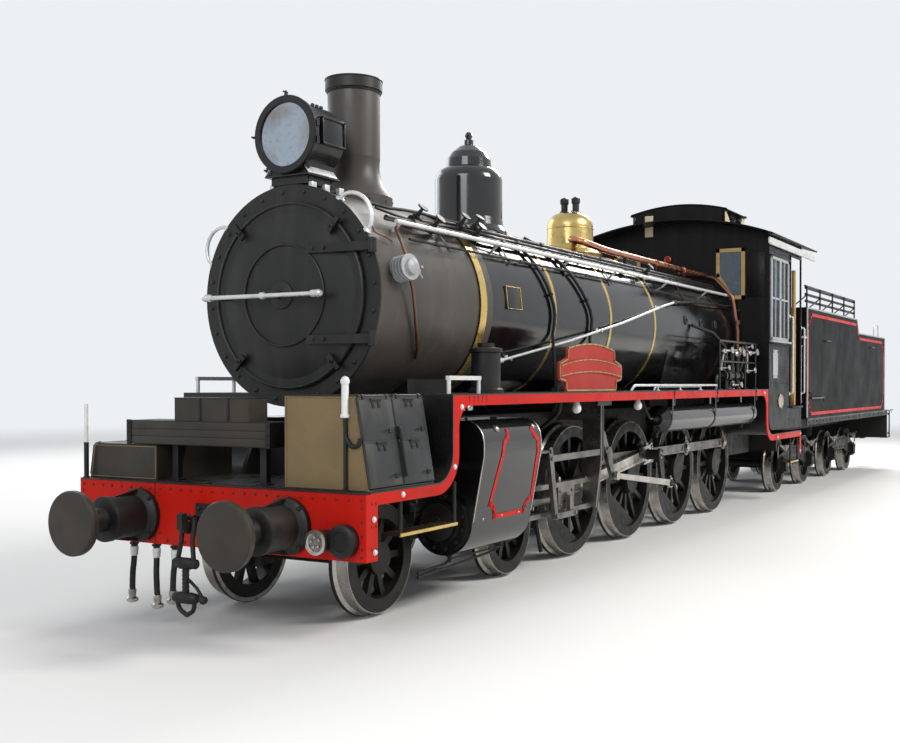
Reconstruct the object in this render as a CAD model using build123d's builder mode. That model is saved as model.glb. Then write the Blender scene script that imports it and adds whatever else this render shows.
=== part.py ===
from build123d import *
from math import acos, atan2, cos, degrees, radians, sin, sqrt
import os

# Steam locomotive with its tender, a 4-8-0 for 1067 mm gauge.
# Frame: +X forward, +Y to the left-hand side, +Z up. The origin is midway between the
# buffer faces, on the centre line, at the height of the flange tips. Lengths are in mm.

# Running clearances and gaps
RUN_FIT = 0.05
SEAT = 0.3
SIDE_PLAY = 8

# Wheels on the rail
FLANGE = 28
WHEEL_BACK = 495
TYRE_WIDTH = 130
DRIVER_TREAD_R = 571.5
SMALL_TREAD_R = 362
DRIVER_Z = DRIVER_TREAD_R + FLANGE
SMALL_Z = SMALL_TREAD_R + FLANGE
TYRE_FACE = WHEEL_BACK + TYRE_WIDTH
DRIVER_TIP = DRIVER_TREAD_R + FLANGE
SMALL_TIP = SMALL_TREAD_R + FLANGE

# Length and width
BUFFER_FACE_X = 8550
BEAM_X = 8000
HALF_WIDTH = 1175
PLATE = 12
BEAM_THICK = 40
BEAM_TOP = 916
BEAM_BOTTOM = 528

# Wheel spacing
MAIN_X = 2850
DRIVER_PITCH = 1295
BOGIE_X = 6215
BOGIE_BASE = 1752
TENDER_BOGIE_X = (-3350, -6400)
TENDER_BOGIE_BASE = 1500

# Frame plates
FRAME_OUT = 470
FRAME_THICK = 30
FRAME_TOP = 1300
FRAME_FOOT = 480
FRAME_ARCH = DRIVER_TIP + 230
FRAME_REAR_X = -1700

# Footplate
LOW_BOARD = 928
HIGH_BOARD = 1485
BOARD_THICK = 10
BAND_DEEP = 78
BAND_BEND = 182
BAND_CORNER = 145
FRONT_RISER_X = 7070
BACK_RISER_X = -180

# Boiler
BOILER_Z = 2143
BOILER_R = 745
SMOKEBOX_R = 735
SMOKEBOX_SHELL = 20
RING_R = 750
SMOKEBOX_FRONT = 7265
SMOKEBOX_REAR = 5940
BARREL_REAR = 2000
BACKHEAD_X = -420
DOOR_R = 635
DOOR_GAP = 3
DOOR_SKIN = 14
DOOR_DISH = 62
DISH_R = 560

# Cylinders and motion
CYL_Y = 820
CYL_R = 240
CYL_LENGTH = 850
STROKE_R = 279.4
CRANK_ANGLE = {1: 120, -1: 30}
RETURN_LEAD = 71
RETURN_R = 215
MAIN_ROD = 2080
ROD_IN = 664
ROD_THICK = 40
MAIN_ROD_IN = 720
MAIN_ROD_THICK = 46
RETURN_IN = 876
RETURN_THICK = 32
LINK_IN = 915
LINK_THICK = 35
ECC_ROD_IN = 960
ECC_ROD_THICK = 32
PIN_R = 50
MAIN_PIN_R = 60
ECC_PIN_R = 28
TRUNNION = (4105, 935)
LINK_FOOT = 247

# Cab
CAB_FRONT_X = -200
CAB_REAR_X = -1750
CAB_FLOOR = 1260
CAB_FOOT = 978
EAVE_Z = 3378
CROWN_Z = 3588
ROOF_HALF = 1230
ROOF_THICK = 15
ROOF_FRONT_X = 130
ROOF_REAR_X = -2350

# Tender
TANK_FRONT_X = -2060
TANK_REAR_X = -7690
TANK_STEP_X = -5300
TANK_FOOT = 1078
TANK_TOP = 2598
TANK_LOW_TOP = 2378
TENDER_BEAM_X = -8000
PIVOT_X = -1750
COUPLING_Z = 708

# Derived places
FRONT_BEND_X = FRONT_RISER_X + BAND_BEND
BACK_BEND_X = BACK_RISER_X - BAND_BEND
BEND_Z = LOW_BOARD + BAND_BEND
DRIVER_X = [MAIN_X + DRIVER_PITCH * step for step in (1, 0, -1, -2)]
BOGIE_AXLE_X = [BOGIE_X + BOGIE_BASE / 2, BOGIE_X - BOGIE_BASE / 2]
CYL_FRONT = BOGIE_X + CYL_LENGTH / 2
CYL_REAR = BOGIE_X - CYL_LENGTH / 2
BOILER_AXIS = Axis((0, 0, BOILER_Z), (1, 0, 0))


def side(y):
    """Upright plane along the engine at y, sketched in x and z, extruded towards -Y."""
    return Plane.XZ.offset(-y)


def across(x):
    """Upright plane across the engine at x, sketched in y and z, extruded towards +X."""
    return Plane.YZ.offset(x)


def level(z):
    """Level plane at height z, sketched in x and y, extruded upwards."""
    return Plane.XY.offset(z)


def layer(hand, inner, thick):
    """Start of an extrusion towards -Y that fills inner to inner + thick on one hand."""
    return inner + thick if hand > 0 else -inner


def keep(piece, name):
    """Label one finished piece and write it."""
    piece.part.label = name
    export_step(piece.part, f"parts/{name}.step")


def pin_place(hand, axle_x, radius, angle):
    """Place of a crank pin in x and z at an angle counted from +X towards +Z."""
    return (axle_x + radius * cos(radians(angle)), DRIVER_Z + radius * sin(radians(angle)))


os.makedirs("parts", exist_ok=True)


# Wheelsets

AXLE_R = 80
SMALL_AXLE_R = 65
TYRE_DEEP = 60
RIM_DEEP = 36
FLANGE_THICK = 24
SPOKES = 12
HUB_R = 150


def tyre_ring(centre_x, centre_z, tread_r, hand, depth):
    """Add one tyre and rim, with its flange inboard, as a revolved section."""
    tip = tread_r + FLANGE
    inner = tread_r - depth
    back = hand * WHEEL_BACK
    flange = hand * (WHEEL_BACK + FLANGE_THICK)
    root = hand * (WHEEL_BACK + FLANGE_THICK + 16)
    face = hand * TYRE_FACE
    with BuildSketch(Plane(origin=(centre_x, 0, centre_z), x_dir=(0, 0, 1), z_dir=(-1, 0, 0))) as section:
        with BuildLine():
            Polyline((inner, back), (tip, back), (tip, flange), (tread_r, root),
                     (tread_r, face), (inner, face), close=True)
        make_face()
    revolve(section.sketch, axis=Axis((centre_x, 0, centre_z), (0, 1, 0)))


def round_bar(centre_x, centre_z, radius, low_y, high_y):
    """Add a round bar along Y."""
    with BuildSketch(side(high_y)) as section:
        with Locations((centre_x, centre_z)):
            Circle(radius)
    extrude(section.sketch, amount=high_y - low_y)


def spoked_wheel(centre_x, centre_z, tread_r, hand, spokes, hub_r, hub_face):
    """Add a spoked wheel centre inside its tyre."""
    depth = TYRE_DEEP + RIM_DEEP
    tyre_ring(centre_x, centre_z, tread_r, hand, depth)
    inner = tread_r - depth
    hub_thick = hub_face - WHEEL_BACK
    with BuildSketch(side(layer(hand, WHEEL_BACK, hub_thick))) as section:
        with Locations((centre_x, centre_z)):
            Circle(hub_r)
    extrude(section.sketch, amount=hub_thick)
    spoke_in = WHEEL_BACK + 38
    spoke_thick = 50
    mid_r = (inner + 8 + hub_r - 12) / 2
    reach = inner + 8 - (hub_r - 12)
    with BuildSketch(side(layer(hand, spoke_in, spoke_thick))) as section:
        with Locations((centre_x, centre_z)):
            with PolarLocations(mid_r, spokes):
                Rectangle(reach, 46)
    extrude(section.sketch, amount=spoke_thick)


def driving_axle(number, centre_x):
    """One coupled axle with two spoked wheels, crank bosses, weights and crank pins.

    The axle, the wheels and the pins are solids of their own, a hair apart where they press
    together, so that each takes a close convex hull for collision."""
    main = centre_x == MAIN_X
    pin_r = MAIN_PIN_R if main else PIN_R
    boss_face = ROD_IN - SIDE_PLAY
    with BuildPart() as axle:
        round_bar(centre_x, DRIVER_Z, AXLE_R, RUN_FIT - WHEEL_BACK, WHEEL_BACK - RUN_FIT)
        for hand in (1, -1):
            spoked_wheel(centre_x, DRIVER_Z, DRIVER_TREAD_R, hand, SPOKES, HUB_R, TYRE_FACE + 12)
            angle = CRANK_ANGLE[hand]
            pin = pin_place(hand, centre_x, STROKE_R, angle)
            boss_in = WHEEL_BACK + 55
            boss_thick = boss_face - boss_in
            with BuildSketch(side(layer(hand, boss_in, boss_thick))):
                with Locations((centre_x, DRIVER_Z)):
                    Circle(HUB_R - 12)
                with Locations(pin):
                    Circle(pin_r + 42)
                make_hull()
            extrude(amount=boss_thick)
            weight_in = WHEEL_BACK + 38
            weight_thick = 66
            rim_r = DRIVER_TREAD_R - TYRE_DEEP - RIM_DEEP + 8
            reach = 300 if main else 330
            opposite = angle + 180
            with BuildSketch(side(layer(hand, weight_in, weight_thick))):
                with Locations((centre_x, DRIVER_Z)):
                    Circle(rim_r)
                cut = pin_place(hand, centre_x, reach - rim_r, opposite)
                with Locations(Location((cut[0], cut[1], 0), (0, 0, opposite))):
                    Rectangle(2 * rim_r, 2 * rim_r, mode=Mode.SUBTRACT)
            extrude(amount=weight_thick)
            cap_in = ROD_IN + ROD_THICK + 1
            tip = MAIN_ROD_IN + MAIN_ROD_THICK + 2 if main else cap_in + 4
            reach_y = tip - boss_face - RUN_FIT
            with BuildSketch(side(layer(hand, boss_face + RUN_FIT, reach_y))):
                with Locations(pin):
                    Circle(pin_r)
            extrude(amount=reach_y)
            collar = MAIN_ROD_IN - 2 - cap_in if main else 4
            with BuildSketch(side(layer(hand, cap_in, collar))):
                with Locations(pin):
                    Circle(pin_r + 12)
            extrude(amount=collar)
            if main:
                return_crank(hand, centre_x, pin, tip)
    keep(axle, f"driving_axle_{number}")


def return_crank(hand, centre_x, pin, tip):
    """Add the outer journal, return crank and its pin, seen outside the main rod."""
    ecc = pin_place(hand, centre_x, RETURN_R, CRANK_ANGLE[hand] + RETURN_LEAD)
    journal = RETURN_IN - RUN_FIT - tip
    with BuildSketch(side(layer(hand, tip, journal))) as section:
        with Locations(pin):
            Circle(PIN_R)
    extrude(section.sketch, amount=journal)
    with BuildSketch(side(layer(hand, RETURN_IN, RETURN_THICK))) as section:
        with Locations(pin):
            Circle(PIN_R + 12)
        with Locations(ecc):
            Circle(ECC_PIN_R + 14)
        make_hull()
    extrude(section.sketch, amount=RETURN_THICK)
    start = RETURN_IN + RETURN_THICK + RUN_FIT
    length = ECC_ROD_IN + ECC_ROD_THICK + 2 - start
    with BuildSketch(side(layer(hand, start, length))) as section:
        with Locations(ecc):
            Circle(ECC_PIN_R)
    extrude(section.sketch, amount=length)
    with BuildSketch(side(layer(hand, start + length, 8))) as section:
        with Locations(ecc):
            Circle(ECC_PIN_R + 8)
    extrude(section.sketch, amount=8)


for index, place_x in enumerate(DRIVER_X):
    driving_axle(index + 1, place_x)


def small_axle(name, centre_x, axle_r, stub_y, spokes):
    """One carrying axle with two small wheels, and journal stubs outside them to stub_y."""
    with BuildPart() as axle:
        round_bar(centre_x, SMALL_Z, axle_r, RUN_FIT - WHEEL_BACK, WHEEL_BACK - RUN_FIT)
        for hand in (1, -1):
            spoked_wheel(centre_x, SMALL_Z, SMALL_TREAD_R, hand, spokes, 110, TYRE_FACE)
            if stub_y:
                stub = stub_y - TYRE_FACE - RUN_FIT
                high = layer(hand, TYRE_FACE + RUN_FIT, stub)
                round_bar(centre_x, SMALL_Z, axle_r, high - stub, high)
    keep(axle, name)


for index, place_x in enumerate(BOGIE_AXLE_X):
    small_axle(f"bogie_axle_{index + 1}", place_x, SMALL_AXLE_R, 0, 10)

TENDER_JOURNAL_R = 55
TENDER_SIDE_IN = 655
TENDER_SIDE_THICK = 30
TENDER_JOURNAL_Y = TENDER_SIDE_IN + 70
tender_axle_x = []
for middle in TENDER_BOGIE_X:
    tender_axle_x += [middle + TENDER_BOGIE_BASE / 2, middle - TENDER_BOGIE_BASE / 2]
for index, place_x in enumerate(tender_axle_x):
    small_axle(f"tender_axle_{index + 1}", place_x, TENDER_JOURNAL_R, TENDER_JOURNAL_Y, 10)


# Rods

ROD_DEEP = 96
BOSS_R = 86
FLUTE = 8


def coupling_rod(hand, name):
    """Side rod through four crank pins, with fluted spans between round bosses."""
    pins = [pin_place(hand, x, STROKE_R, CRANK_ANGLE[hand]) for x in DRIVER_X]
    with BuildPart() as rod:
        with BuildSketch(side(layer(hand, ROD_IN, ROD_THICK))):
            for front, back in zip(pins, pins[1:]):
                with Locations(((front[0] + back[0]) / 2, front[1])):
                    Rectangle(DRIVER_PITCH, ROD_DEEP)
            with Locations(*pins):
                Circle(BOSS_R)
            for place, x in zip(pins, DRIVER_X):
                bore = MAIN_PIN_R if x == MAIN_X else PIN_R
                with Locations(place):
                    Circle(bore + RUN_FIT, mode=Mode.SUBTRACT)
        extrude(amount=ROD_THICK)
        flute_in = ROD_IN + ROD_THICK - FLUTE
        with BuildSketch(side(layer(hand, flute_in, FLUTE))):
            for front, back in zip(pins, pins[1:]):
                with Locations(((front[0] + back[0]) / 2, front[1])):
                    SlotOverall(DRIVER_PITCH - 2 * BOSS_R - 60, ROD_DEEP - 36)
        extrude(amount=FLUTE, mode=Mode.SUBTRACT)
        with BuildSketch(side(layer(hand, ROD_IN + 6, ROD_THICK - 12))):
            for place in pins:
                with Locations((place[0], place[1] + BOSS_R + 14)):
                    Rectangle(46, 44)
        extrude(amount=ROD_THICK - 12)
    keep(rod, name)


def main_rod(hand, name):
    """Connecting rod from the main crank pin to the gudgeon, tapered and fluted."""
    big = pin_place(hand, MAIN_X, STROKE_R, CRANK_ANGLE[hand])
    small = (crosshead_x(hand), DRIVER_Z)
    lean = degrees(atan2(small[1] - big[1], small[0] - big[0]))
    middle = ((big[0] + small[0]) / 2, (big[1] + small[1]) / 2)
    with BuildPart() as rod:
        with BuildSketch(side(layer(hand, MAIN_ROD_IN, MAIN_ROD_THICK))):
            with Locations(big):
                Circle(56)
            with Locations(small):
                Circle(44)
            make_hull()
            with Locations(Location((big[0], big[1], 0), (0, 0, lean))):
                Rectangle(230, 176)
            with Locations(small):
                Circle(58)
            with Locations(big):
                Circle(MAIN_PIN_R + RUN_FIT, mode=Mode.SUBTRACT)
        extrude(amount=MAIN_ROD_THICK)
        flute_in = MAIN_ROD_IN + MAIN_ROD_THICK - FLUTE
        with BuildSketch(side(layer(hand, flute_in, FLUTE))):
            with Locations(Location((middle[0], middle[1], 0), (0, 0, lean))):
                SlotOverall(MAIN_ROD - 460, 54)
        extrude(amount=FLUTE, mode=Mode.SUBTRACT)
    keep(rod, name)


def crosshead_x(hand):
    """Place of the gudgeon along the cylinder's centre line."""
    angle = radians(CRANK_ANGLE[hand])
    reach = sqrt(MAIN_ROD ** 2 - (STROKE_R * sin(angle)) ** 2)
    return MAIN_X + STROKE_R * cos(angle) + reach


def ecc_pin(hand):
    """Place of the return crank's pin."""
    return pin_place(hand, MAIN_X, RETURN_R, CRANK_ANGLE[hand] + RETURN_LEAD)


def ecc_rod_length():
    """Length that puts the left link's foot 130 mm behind its trunnion."""
    foot = (TRUNNION[0] - 130, TRUNNION[1] - sqrt(LINK_FOOT ** 2 - 130 ** 2))
    pin = ecc_pin(1)
    return sqrt((foot[0] - pin[0]) ** 2 + (foot[1] - pin[1]) ** 2)


def link_foot(hand):
    """Foot of the expansion link, where the eccentric rod's length reaches it."""
    pin = ecc_pin(hand)
    span_x = pin[0] - TRUNNION[0]
    span_z = pin[1] - TRUNNION[1]
    span = sqrt(span_x ** 2 + span_z ** 2)
    rod = ecc_rod_length()
    opening = acos((LINK_FOOT ** 2 + span ** 2 - rod ** 2) / (2 * LINK_FOOT * span))
    heading = atan2(span_z, span_x) + opening
    return (TRUNNION[0] + LINK_FOOT * cos(heading), TRUNNION[1] + LINK_FOOT * sin(heading))


def eccentric_rod(hand, name):
    """Rod from the return crank to the foot of the expansion link."""
    back = ecc_pin(hand)
    front = link_foot(hand)
    with BuildPart() as rod:
        with BuildSketch(side(layer(hand, ECC_ROD_IN, ECC_ROD_THICK))):
            with Locations(back):
                Circle(30)
            with Locations(front):
                Circle(24)
            make_hull()
            with Locations(back):
                Circle(48)
            with Locations(front):
                Circle(38)
            with Locations(back):
                Circle(ECC_PIN_R + RUN_FIT, mode=Mode.SUBTRACT)
        extrude(amount=ECC_ROD_THICK)
    keep(rod, name)


for hand, word in ((1, "left"), (-1, "right")):
    coupling_rod(hand, f"coupling_rod_{word}")
    main_rod(hand, f"main_rod_{word}")
    eccentric_rod(hand, f"eccentric_rod_{word}")


# Main frames: two plates with axlebox guides, cross stretchers and the rear drag box

BOX_HALF = 125
BOX_TOP = 760
GUIDE_FOOT = FRAME_FOOT - 40
BRAKE_IN = 546
BRAKE_OUT = 612
DECK_UNDER = LOW_BOARD - BOARD_THICK
with BuildPart() as main_frames:
    with BuildSketch(side(FRAME_OUT)):
        with BuildLine():
            Polyline((BEAM_X - BEAM_THICK, DECK_UNDER), (FRONT_BEND_X - 12, DECK_UNDER),
                     (FRONT_RISER_X - 20, FRAME_TOP), (CAB_FRONT_X + 100, FRAME_TOP),
                     (CAB_FRONT_X - 100, CAB_FLOOR - 20),
                     (FRAME_REAR_X, CAB_FLOOR - 20), (FRAME_REAR_X, 620), (-520, 620),
                     (-400, FRAME_FOOT), (4900, FRAME_FOOT), (4980, FRAME_ARCH),
                     (7560, FRAME_ARCH), (7640, 560), (BEAM_X - BEAM_THICK, 560), close=True)
        make_face()
    extrude(amount=FRAME_THICK)
    for axle_x in DRIVER_X:
        with BuildSketch(side(FRAME_OUT + 10)):
            with Locations((axle_x, (BOX_TOP + GUIDE_FOOT) / 2)):
                Rectangle(2 * BOX_HALF + 90, BOX_TOP - GUIDE_FOOT)
        extrude(amount=FRAME_THICK + 40)
        with BuildSketch(side(FRAME_OUT + 10)):
            with Locations((axle_x, DRIVER_Z)):
                Circle(AXLE_R + RUN_FIT)
        extrude(amount=FRAME_THICK + 40, mode=Mode.SUBTRACT)
    for axle_x in DRIVER_X:
        with BuildSketch(side(BRAKE_OUT)):
            with Locations((axle_x - DRIVER_TREAD_R - 33, DRIVER_Z)):
                Rectangle(54, 300)
            with Locations((axle_x, DRIVER_Z)):
                Circle(DRIVER_TREAD_R + 7, mode=Mode.SUBTRACT)
        extrude(amount=BRAKE_OUT - BRAKE_IN)
        with BuildSketch(side(BRAKE_OUT - 18)):
            with Locations((axle_x - DRIVER_TREAD_R - 48, DRIVER_Z + 95)):
                Rectangle(26, 400)
        extrude(amount=22)
        with BuildSketch(side(BRAKE_OUT - 10)):
            with Locations((axle_x - DRIVER_TREAD_R - 48, DRIVER_Z + 265)):
                Circle(24)
        extrude(amount=BRAKE_OUT - 10 - FRAME_OUT)
    mirror(about=Plane.XZ)
    inner = FRAME_OUT - FRAME_THICK
    # Columns: x, low z, high z of each cross stretcher
    stretchers = ((7900, 600, 900), (7000, 900, 1250), (4880, 560, 1250), (3500, 800, 1250),
                  (2200, 800, 1250), (-1640, 620, 1200))
    for place, low, high in stretchers:
        with BuildSketch(across(place)):
            with Locations((0, (low + high) / 2)):
                Rectangle(2 * inner, high - low)
        extrude(amount=24)
    with BuildSketch(level(COUPLING_Z + 45)):
        with Locations((PIVOT_X + 60, 0)):
            Rectangle(230, 300)
    extrude(amount=30)
    with BuildSketch(level(COUPLING_Z - 75)):
        with Locations((PIVOT_X + 60, 0)):
            Rectangle(230, 300)
    extrude(amount=30)
    with BuildSketch(level(COUPLING_Z - 60)):
        with Locations((PIVOT_X, 0)):
            Circle(35)
    extrude(amount=120)
keep(main_frames, "main_frames")


# Front beam, buffers and drawhook

BUFFER_Y = 610
BUFFER_HEAD_R = 195
with BuildPart() as front_beam:
    with BuildSketch(across(BEAM_X - BEAM_THICK)):
        with Locations((0, (BEAM_TOP + BEAM_BOTTOM) / 2)):
            Rectangle(2 * HALF_WIDTH, BEAM_TOP - BEAM_BOTTOM)
    extrude(amount=BEAM_THICK)
keep(front_beam, "front_beam")


def buffer(front, way):
    """Add a pair of buffers that stand out of a beam face along way."""
    # Columns: start and end of each step from the beam, radius
    steps = ((0, 28, 170), (28, 300, 132), (300, 505, 78), (505, 550, BUFFER_HEAD_R))
    for hand in (1, -1):
        for start, end, radius in steps:
            low = min(front + way * start, front + way * end)
            with BuildSketch(across(low)) as section:
                with Locations((hand * BUFFER_Y, COUPLING_Z)):
                    Circle(radius)
            extrude(section.sketch, amount=end - start)


def drawhook(front, way):
    """Add a drawhook with its plate, standing out of a beam face along way."""
    low = min(front, front + way * 20)
    with BuildSketch(across(low)) as section:
        with Locations((0, COUPLING_Z)):
            Rectangle(240, 200)
    extrude(section.sketch, amount=20)
    with BuildSketch(side(22)) as section:
        with BuildLine():
            near = front + way * 20
            far = front + way * 270
            Polyline((near, COUPLING_Z - 40), (near, COUPLING_Z + 40),
                     (front + way * 150, COUPLING_Z + 40), (front + way * 170, COUPLING_Z + 5),
                     (front + way * 215, COUPLING_Z + 5), (front + way * 235, COUPLING_Z + 70),
                     (far, COUPLING_Z + 60), (far, COUPLING_Z - 30),
                     (front + way * 220, COUPLING_Z - 60), close=True)
        make_face()
    extrude(section.sketch, amount=44)


with BuildPart() as buffing_gear:
    buffer(BEAM_X, 1)
    drawhook(BEAM_X, 1)
keep(buffing_gear, "buffing_gear")


# Running boards: plates that follow one stepped line, with a red edge band below

def step_line(depth, corner):
    """Draw the stepped line of the footplate edge, depth below its top face."""
    low = LOW_BOARD - depth
    top = HIGH_BOARD - depth
    front = FRONT_RISER_X - depth
    back = BACK_RISER_X + depth
    bend = BAND_BEND + depth
    Line((BEAM_X - BEAM_THICK, low), (FRONT_BEND_X, low))
    CenterArc((FRONT_BEND_X, BEND_Z), bend, 270, -90)
    Line((front, BEND_Z), (front, top - corner))
    if corner:
        CenterArc((front - corner, top - corner), corner, 0, 90)
    Line((front - corner, top), (back + corner, top))
    if corner:
        CenterArc((back + corner, top - corner), corner, 90, 90)
    Line((back, top - corner), (back, BEND_Z))
    CenterArc((BACK_BEND_X, BEND_Z), bend, 0, -90)
    Line((BACK_BEND_X, low), (CAB_REAR_X, low))


BOARD_IN = 480
BAND_THICK = 12
with BuildPart() as running_boards:
    with BuildSketch(side(HALF_WIDTH)):
        with BuildLine():
            step_line(0, 0)
            step_line(BOARD_THICK, 0)
            for end in (BEAM_X - BEAM_THICK, CAB_REAR_X):
                Line((end, LOW_BOARD), (end, DECK_UNDER))
        make_face()
    extrude(amount=HALF_WIDTH - BOARD_IN)
    mirror(about=Plane.XZ)
    with BuildSketch(level(DECK_UNDER)):
        with Locations(((BEAM_X - BEAM_THICK + FRONT_BEND_X) / 2, 0)):
            Rectangle(BEAM_X - BEAM_THICK - FRONT_BEND_X, 2 * BOARD_IN)
    extrude(amount=BOARD_THICK)
keep(running_boards, "running_boards")

with BuildPart() as valances:
    with BuildSketch(side(HALF_WIDTH)):
        with BuildLine():
            step_line(BOARD_THICK, 0)
            step_line(BAND_DEEP, BAND_CORNER)
            for end in (BEAM_X - BEAM_THICK, CAB_REAR_X):
                Line((end, DECK_UNDER), (end, LOW_BOARD - BAND_DEEP))
        make_face()
    extrude(amount=BAND_THICK)
    with BuildSketch(side(HALF_WIDTH)):
        with Locations((BEAM_X - BEAM_THICK - 36, (BEAM_TOP + BEAM_BOTTOM) / 2 - 30)):
            Rectangle(72, BEAM_TOP - BEAM_BOTTOM - 60)
        with Locations((CAB_REAR_X + 30, 735)):
            Rectangle(60, 230)
    extrude(amount=BAND_THICK)
    mirror(about=Plane.XZ)
keep(valances, "valances")


# Toolboxes on the front deck, each with two leaf doors on its leaning outer side

TOOLBOX_FRONT = 7940
TOOLBOX_REAR = FRONT_BEND_X + 3
TOOLBOX_IN = 530
TOOLBOX_OUT = 1148
TOOLBOX_SHEET = 10
DOOR_SHEET = 12
DOOR_PIN_R = 6
DOOR_PIN_OUT = 9
EYE_R = 11
EYE_THICK = 12
EYE_OFF = 120
# Columns: hand, height of the top, half width at the top
TOOLBOX_SIDES = ((1, 1478, 1050), (-1, 1150, 1110))
DOOR_MIDDLE = (TOOLBOX_FRONT + TOOLBOX_REAR) / 2
# Columns: word, front end and rear end of each leaf door
LEAVES = (("front", TOOLBOX_FRONT, DOOR_MIDDLE), ("rear", DOOR_MIDDLE, TOOLBOX_REAR))


def toolbox_lean(top, top_out):
    """Lean of a toolbox side from the upright, in radians."""
    return atan2(TOOLBOX_OUT - top_out, top - LOW_BOARD)


def door_pin(hand, top, top_out):
    """Place of a door's hinge pin in y and z, outside the top corner."""
    lean = toolbox_lean(top, top_out)
    return (hand * (top_out + DOOR_PIN_OUT * cos(lean)), top + DOOR_PIN_OUT * sin(lean))


with BuildPart() as toolboxes:
    for hand, top, top_out in TOOLBOX_SIDES:
        with BuildSketch(across(TOOLBOX_REAR)):
            with BuildLine():
                Polyline((hand * TOOLBOX_IN, LOW_BOARD), (hand * TOOLBOX_OUT, LOW_BOARD),
                         (hand * top_out, top), (hand * TOOLBOX_IN, top), close=True)
            make_face()
        extrude(amount=TOOLBOX_FRONT - TOOLBOX_REAR)
        with BuildSketch(across(TOOLBOX_REAR + TOOLBOX_SHEET)):
            with BuildLine():
                inner = hand * (TOOLBOX_IN + TOOLBOX_SHEET)
                low = LOW_BOARD + TOOLBOX_SHEET
                high = top - TOOLBOX_SHEET
                Polyline((inner, low), (hand * (TOOLBOX_OUT + 60), low),
                         (hand * (top_out + 60), high), (inner, high), close=True)
            make_face()
        extrude(amount=TOOLBOX_FRONT - TOOLBOX_REAR - 2 * TOOLBOX_SHEET, mode=Mode.SUBTRACT)
        for word, front, rear in LEAVES:
            for eye_x in ((front + rear) / 2 - EYE_OFF, (front + rear) / 2 + EYE_OFF):
                with BuildSketch(across(eye_x - EYE_THICK / 2)):
                    with Locations(door_pin(hand, top, top_out)):
                        Circle(EYE_R)
                    with Locations((hand * (top_out - 22), top - 5)):
                        Circle(4)
                    make_hull()
                    with Locations(door_pin(hand, top, top_out)):
                        Circle(DOOR_PIN_R + RUN_FIT, mode=Mode.SUBTRACT)
                extrude(amount=EYE_THICK)
keep(toolboxes, "toolboxes")


def toolbox_door(hand, top, top_out, front, rear, name):
    """One leaf door hinged along its top edge on the leaning side."""
    lean = toolbox_lean(top, top_out)
    height = (top - LOW_BOARD) / cos(lean)
    pin = door_pin(hand, top, top_out)
    middle = (front + rear) / 2
    face = Plane(origin=(0, hand * top_out, top), x_dir=(1, 0, 0),
                 z_dir=(0, hand * cos(lean), sin(lean)))
    with BuildPart() as door:
        with BuildSketch(face.offset(SEAT)):
            with Locations((middle, hand * (height / 2 - 3))):
                Rectangle(front - rear - 6, height - 26)
            for eye_x in (middle - EYE_OFF, middle + EYE_OFF):
                with Locations((eye_x, hand * 14)):
                    Rectangle(EYE_THICK + 4, 14, mode=Mode.SUBTRACT)
        extrude(amount=DOOR_SHEET)
        with BuildSketch(face.offset(3)):
            with Locations((middle, hand * 7)):
                Rectangle(front - rear - 40, 14)
            for eye_x in (middle - EYE_OFF, middle + EYE_OFF):
                with Locations((eye_x, hand * 7)):
                    Rectangle(EYE_THICK + 4, 14, mode=Mode.SUBTRACT)
        extrude(amount=DOOR_SHEET - 3)
        with BuildSketch(across(rear + 20)):
            with Locations(pin):
                Circle(DOOR_PIN_R)
        extrude(amount=front - rear - 40)
    keep(door, name)


for hand, top, top_out in TOOLBOX_SIDES:
    word = "left" if hand > 0 else "right"
    for leaf, front, rear in LEAVES:
        toolbox_door(hand, top, top_out, front, rear, f"toolbox_door_{word}_{leaf}")


# Blank board and its box over the front deck

SIGN_FRONT = 7941
SIGN_DEEP = 269
SIGN_LOW = 1160
SIGN_HIGH = 1314
with BuildPart() as front_board:
    with BuildSketch(across(SIGN_FRONT - SIGN_DEEP)):
        with Locations((-188, (SIGN_LOW + SIGN_HIGH) / 2)):
            Rectangle(1210, SIGN_HIGH - SIGN_LOW)
    extrude(amount=SIGN_DEEP)
    with BuildSketch(across(SIGN_FRONT - SIGN_DEEP - 1)):
        with Locations((-188, (SIGN_LOW + SIGN_HIGH) / 2)):
            Rectangle(1170, SIGN_HIGH - SIGN_LOW - 24)
    extrude(amount=SIGN_DEEP - 19, mode=Mode.SUBTRACT)
    with BuildSketch(across(SIGN_FRONT - 175)):
        with Locations((-67, (SIGN_HIGH + 1460) / 2)):
            Rectangle(620, 1460 - SIGN_HIGH)
    extrude(amount=170)
    for place in (-440, 300):
        with BuildSketch(level(LOW_BOARD)):
            with Locations((SIGN_FRONT - 90, place)):
                Rectangle(40, 50)
        extrude(amount=SIGN_LOW - LOW_BOARD)
keep(front_board, "front_board")


# Cylinders with their steam chests, and the saddle that carries the smokebox

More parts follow.
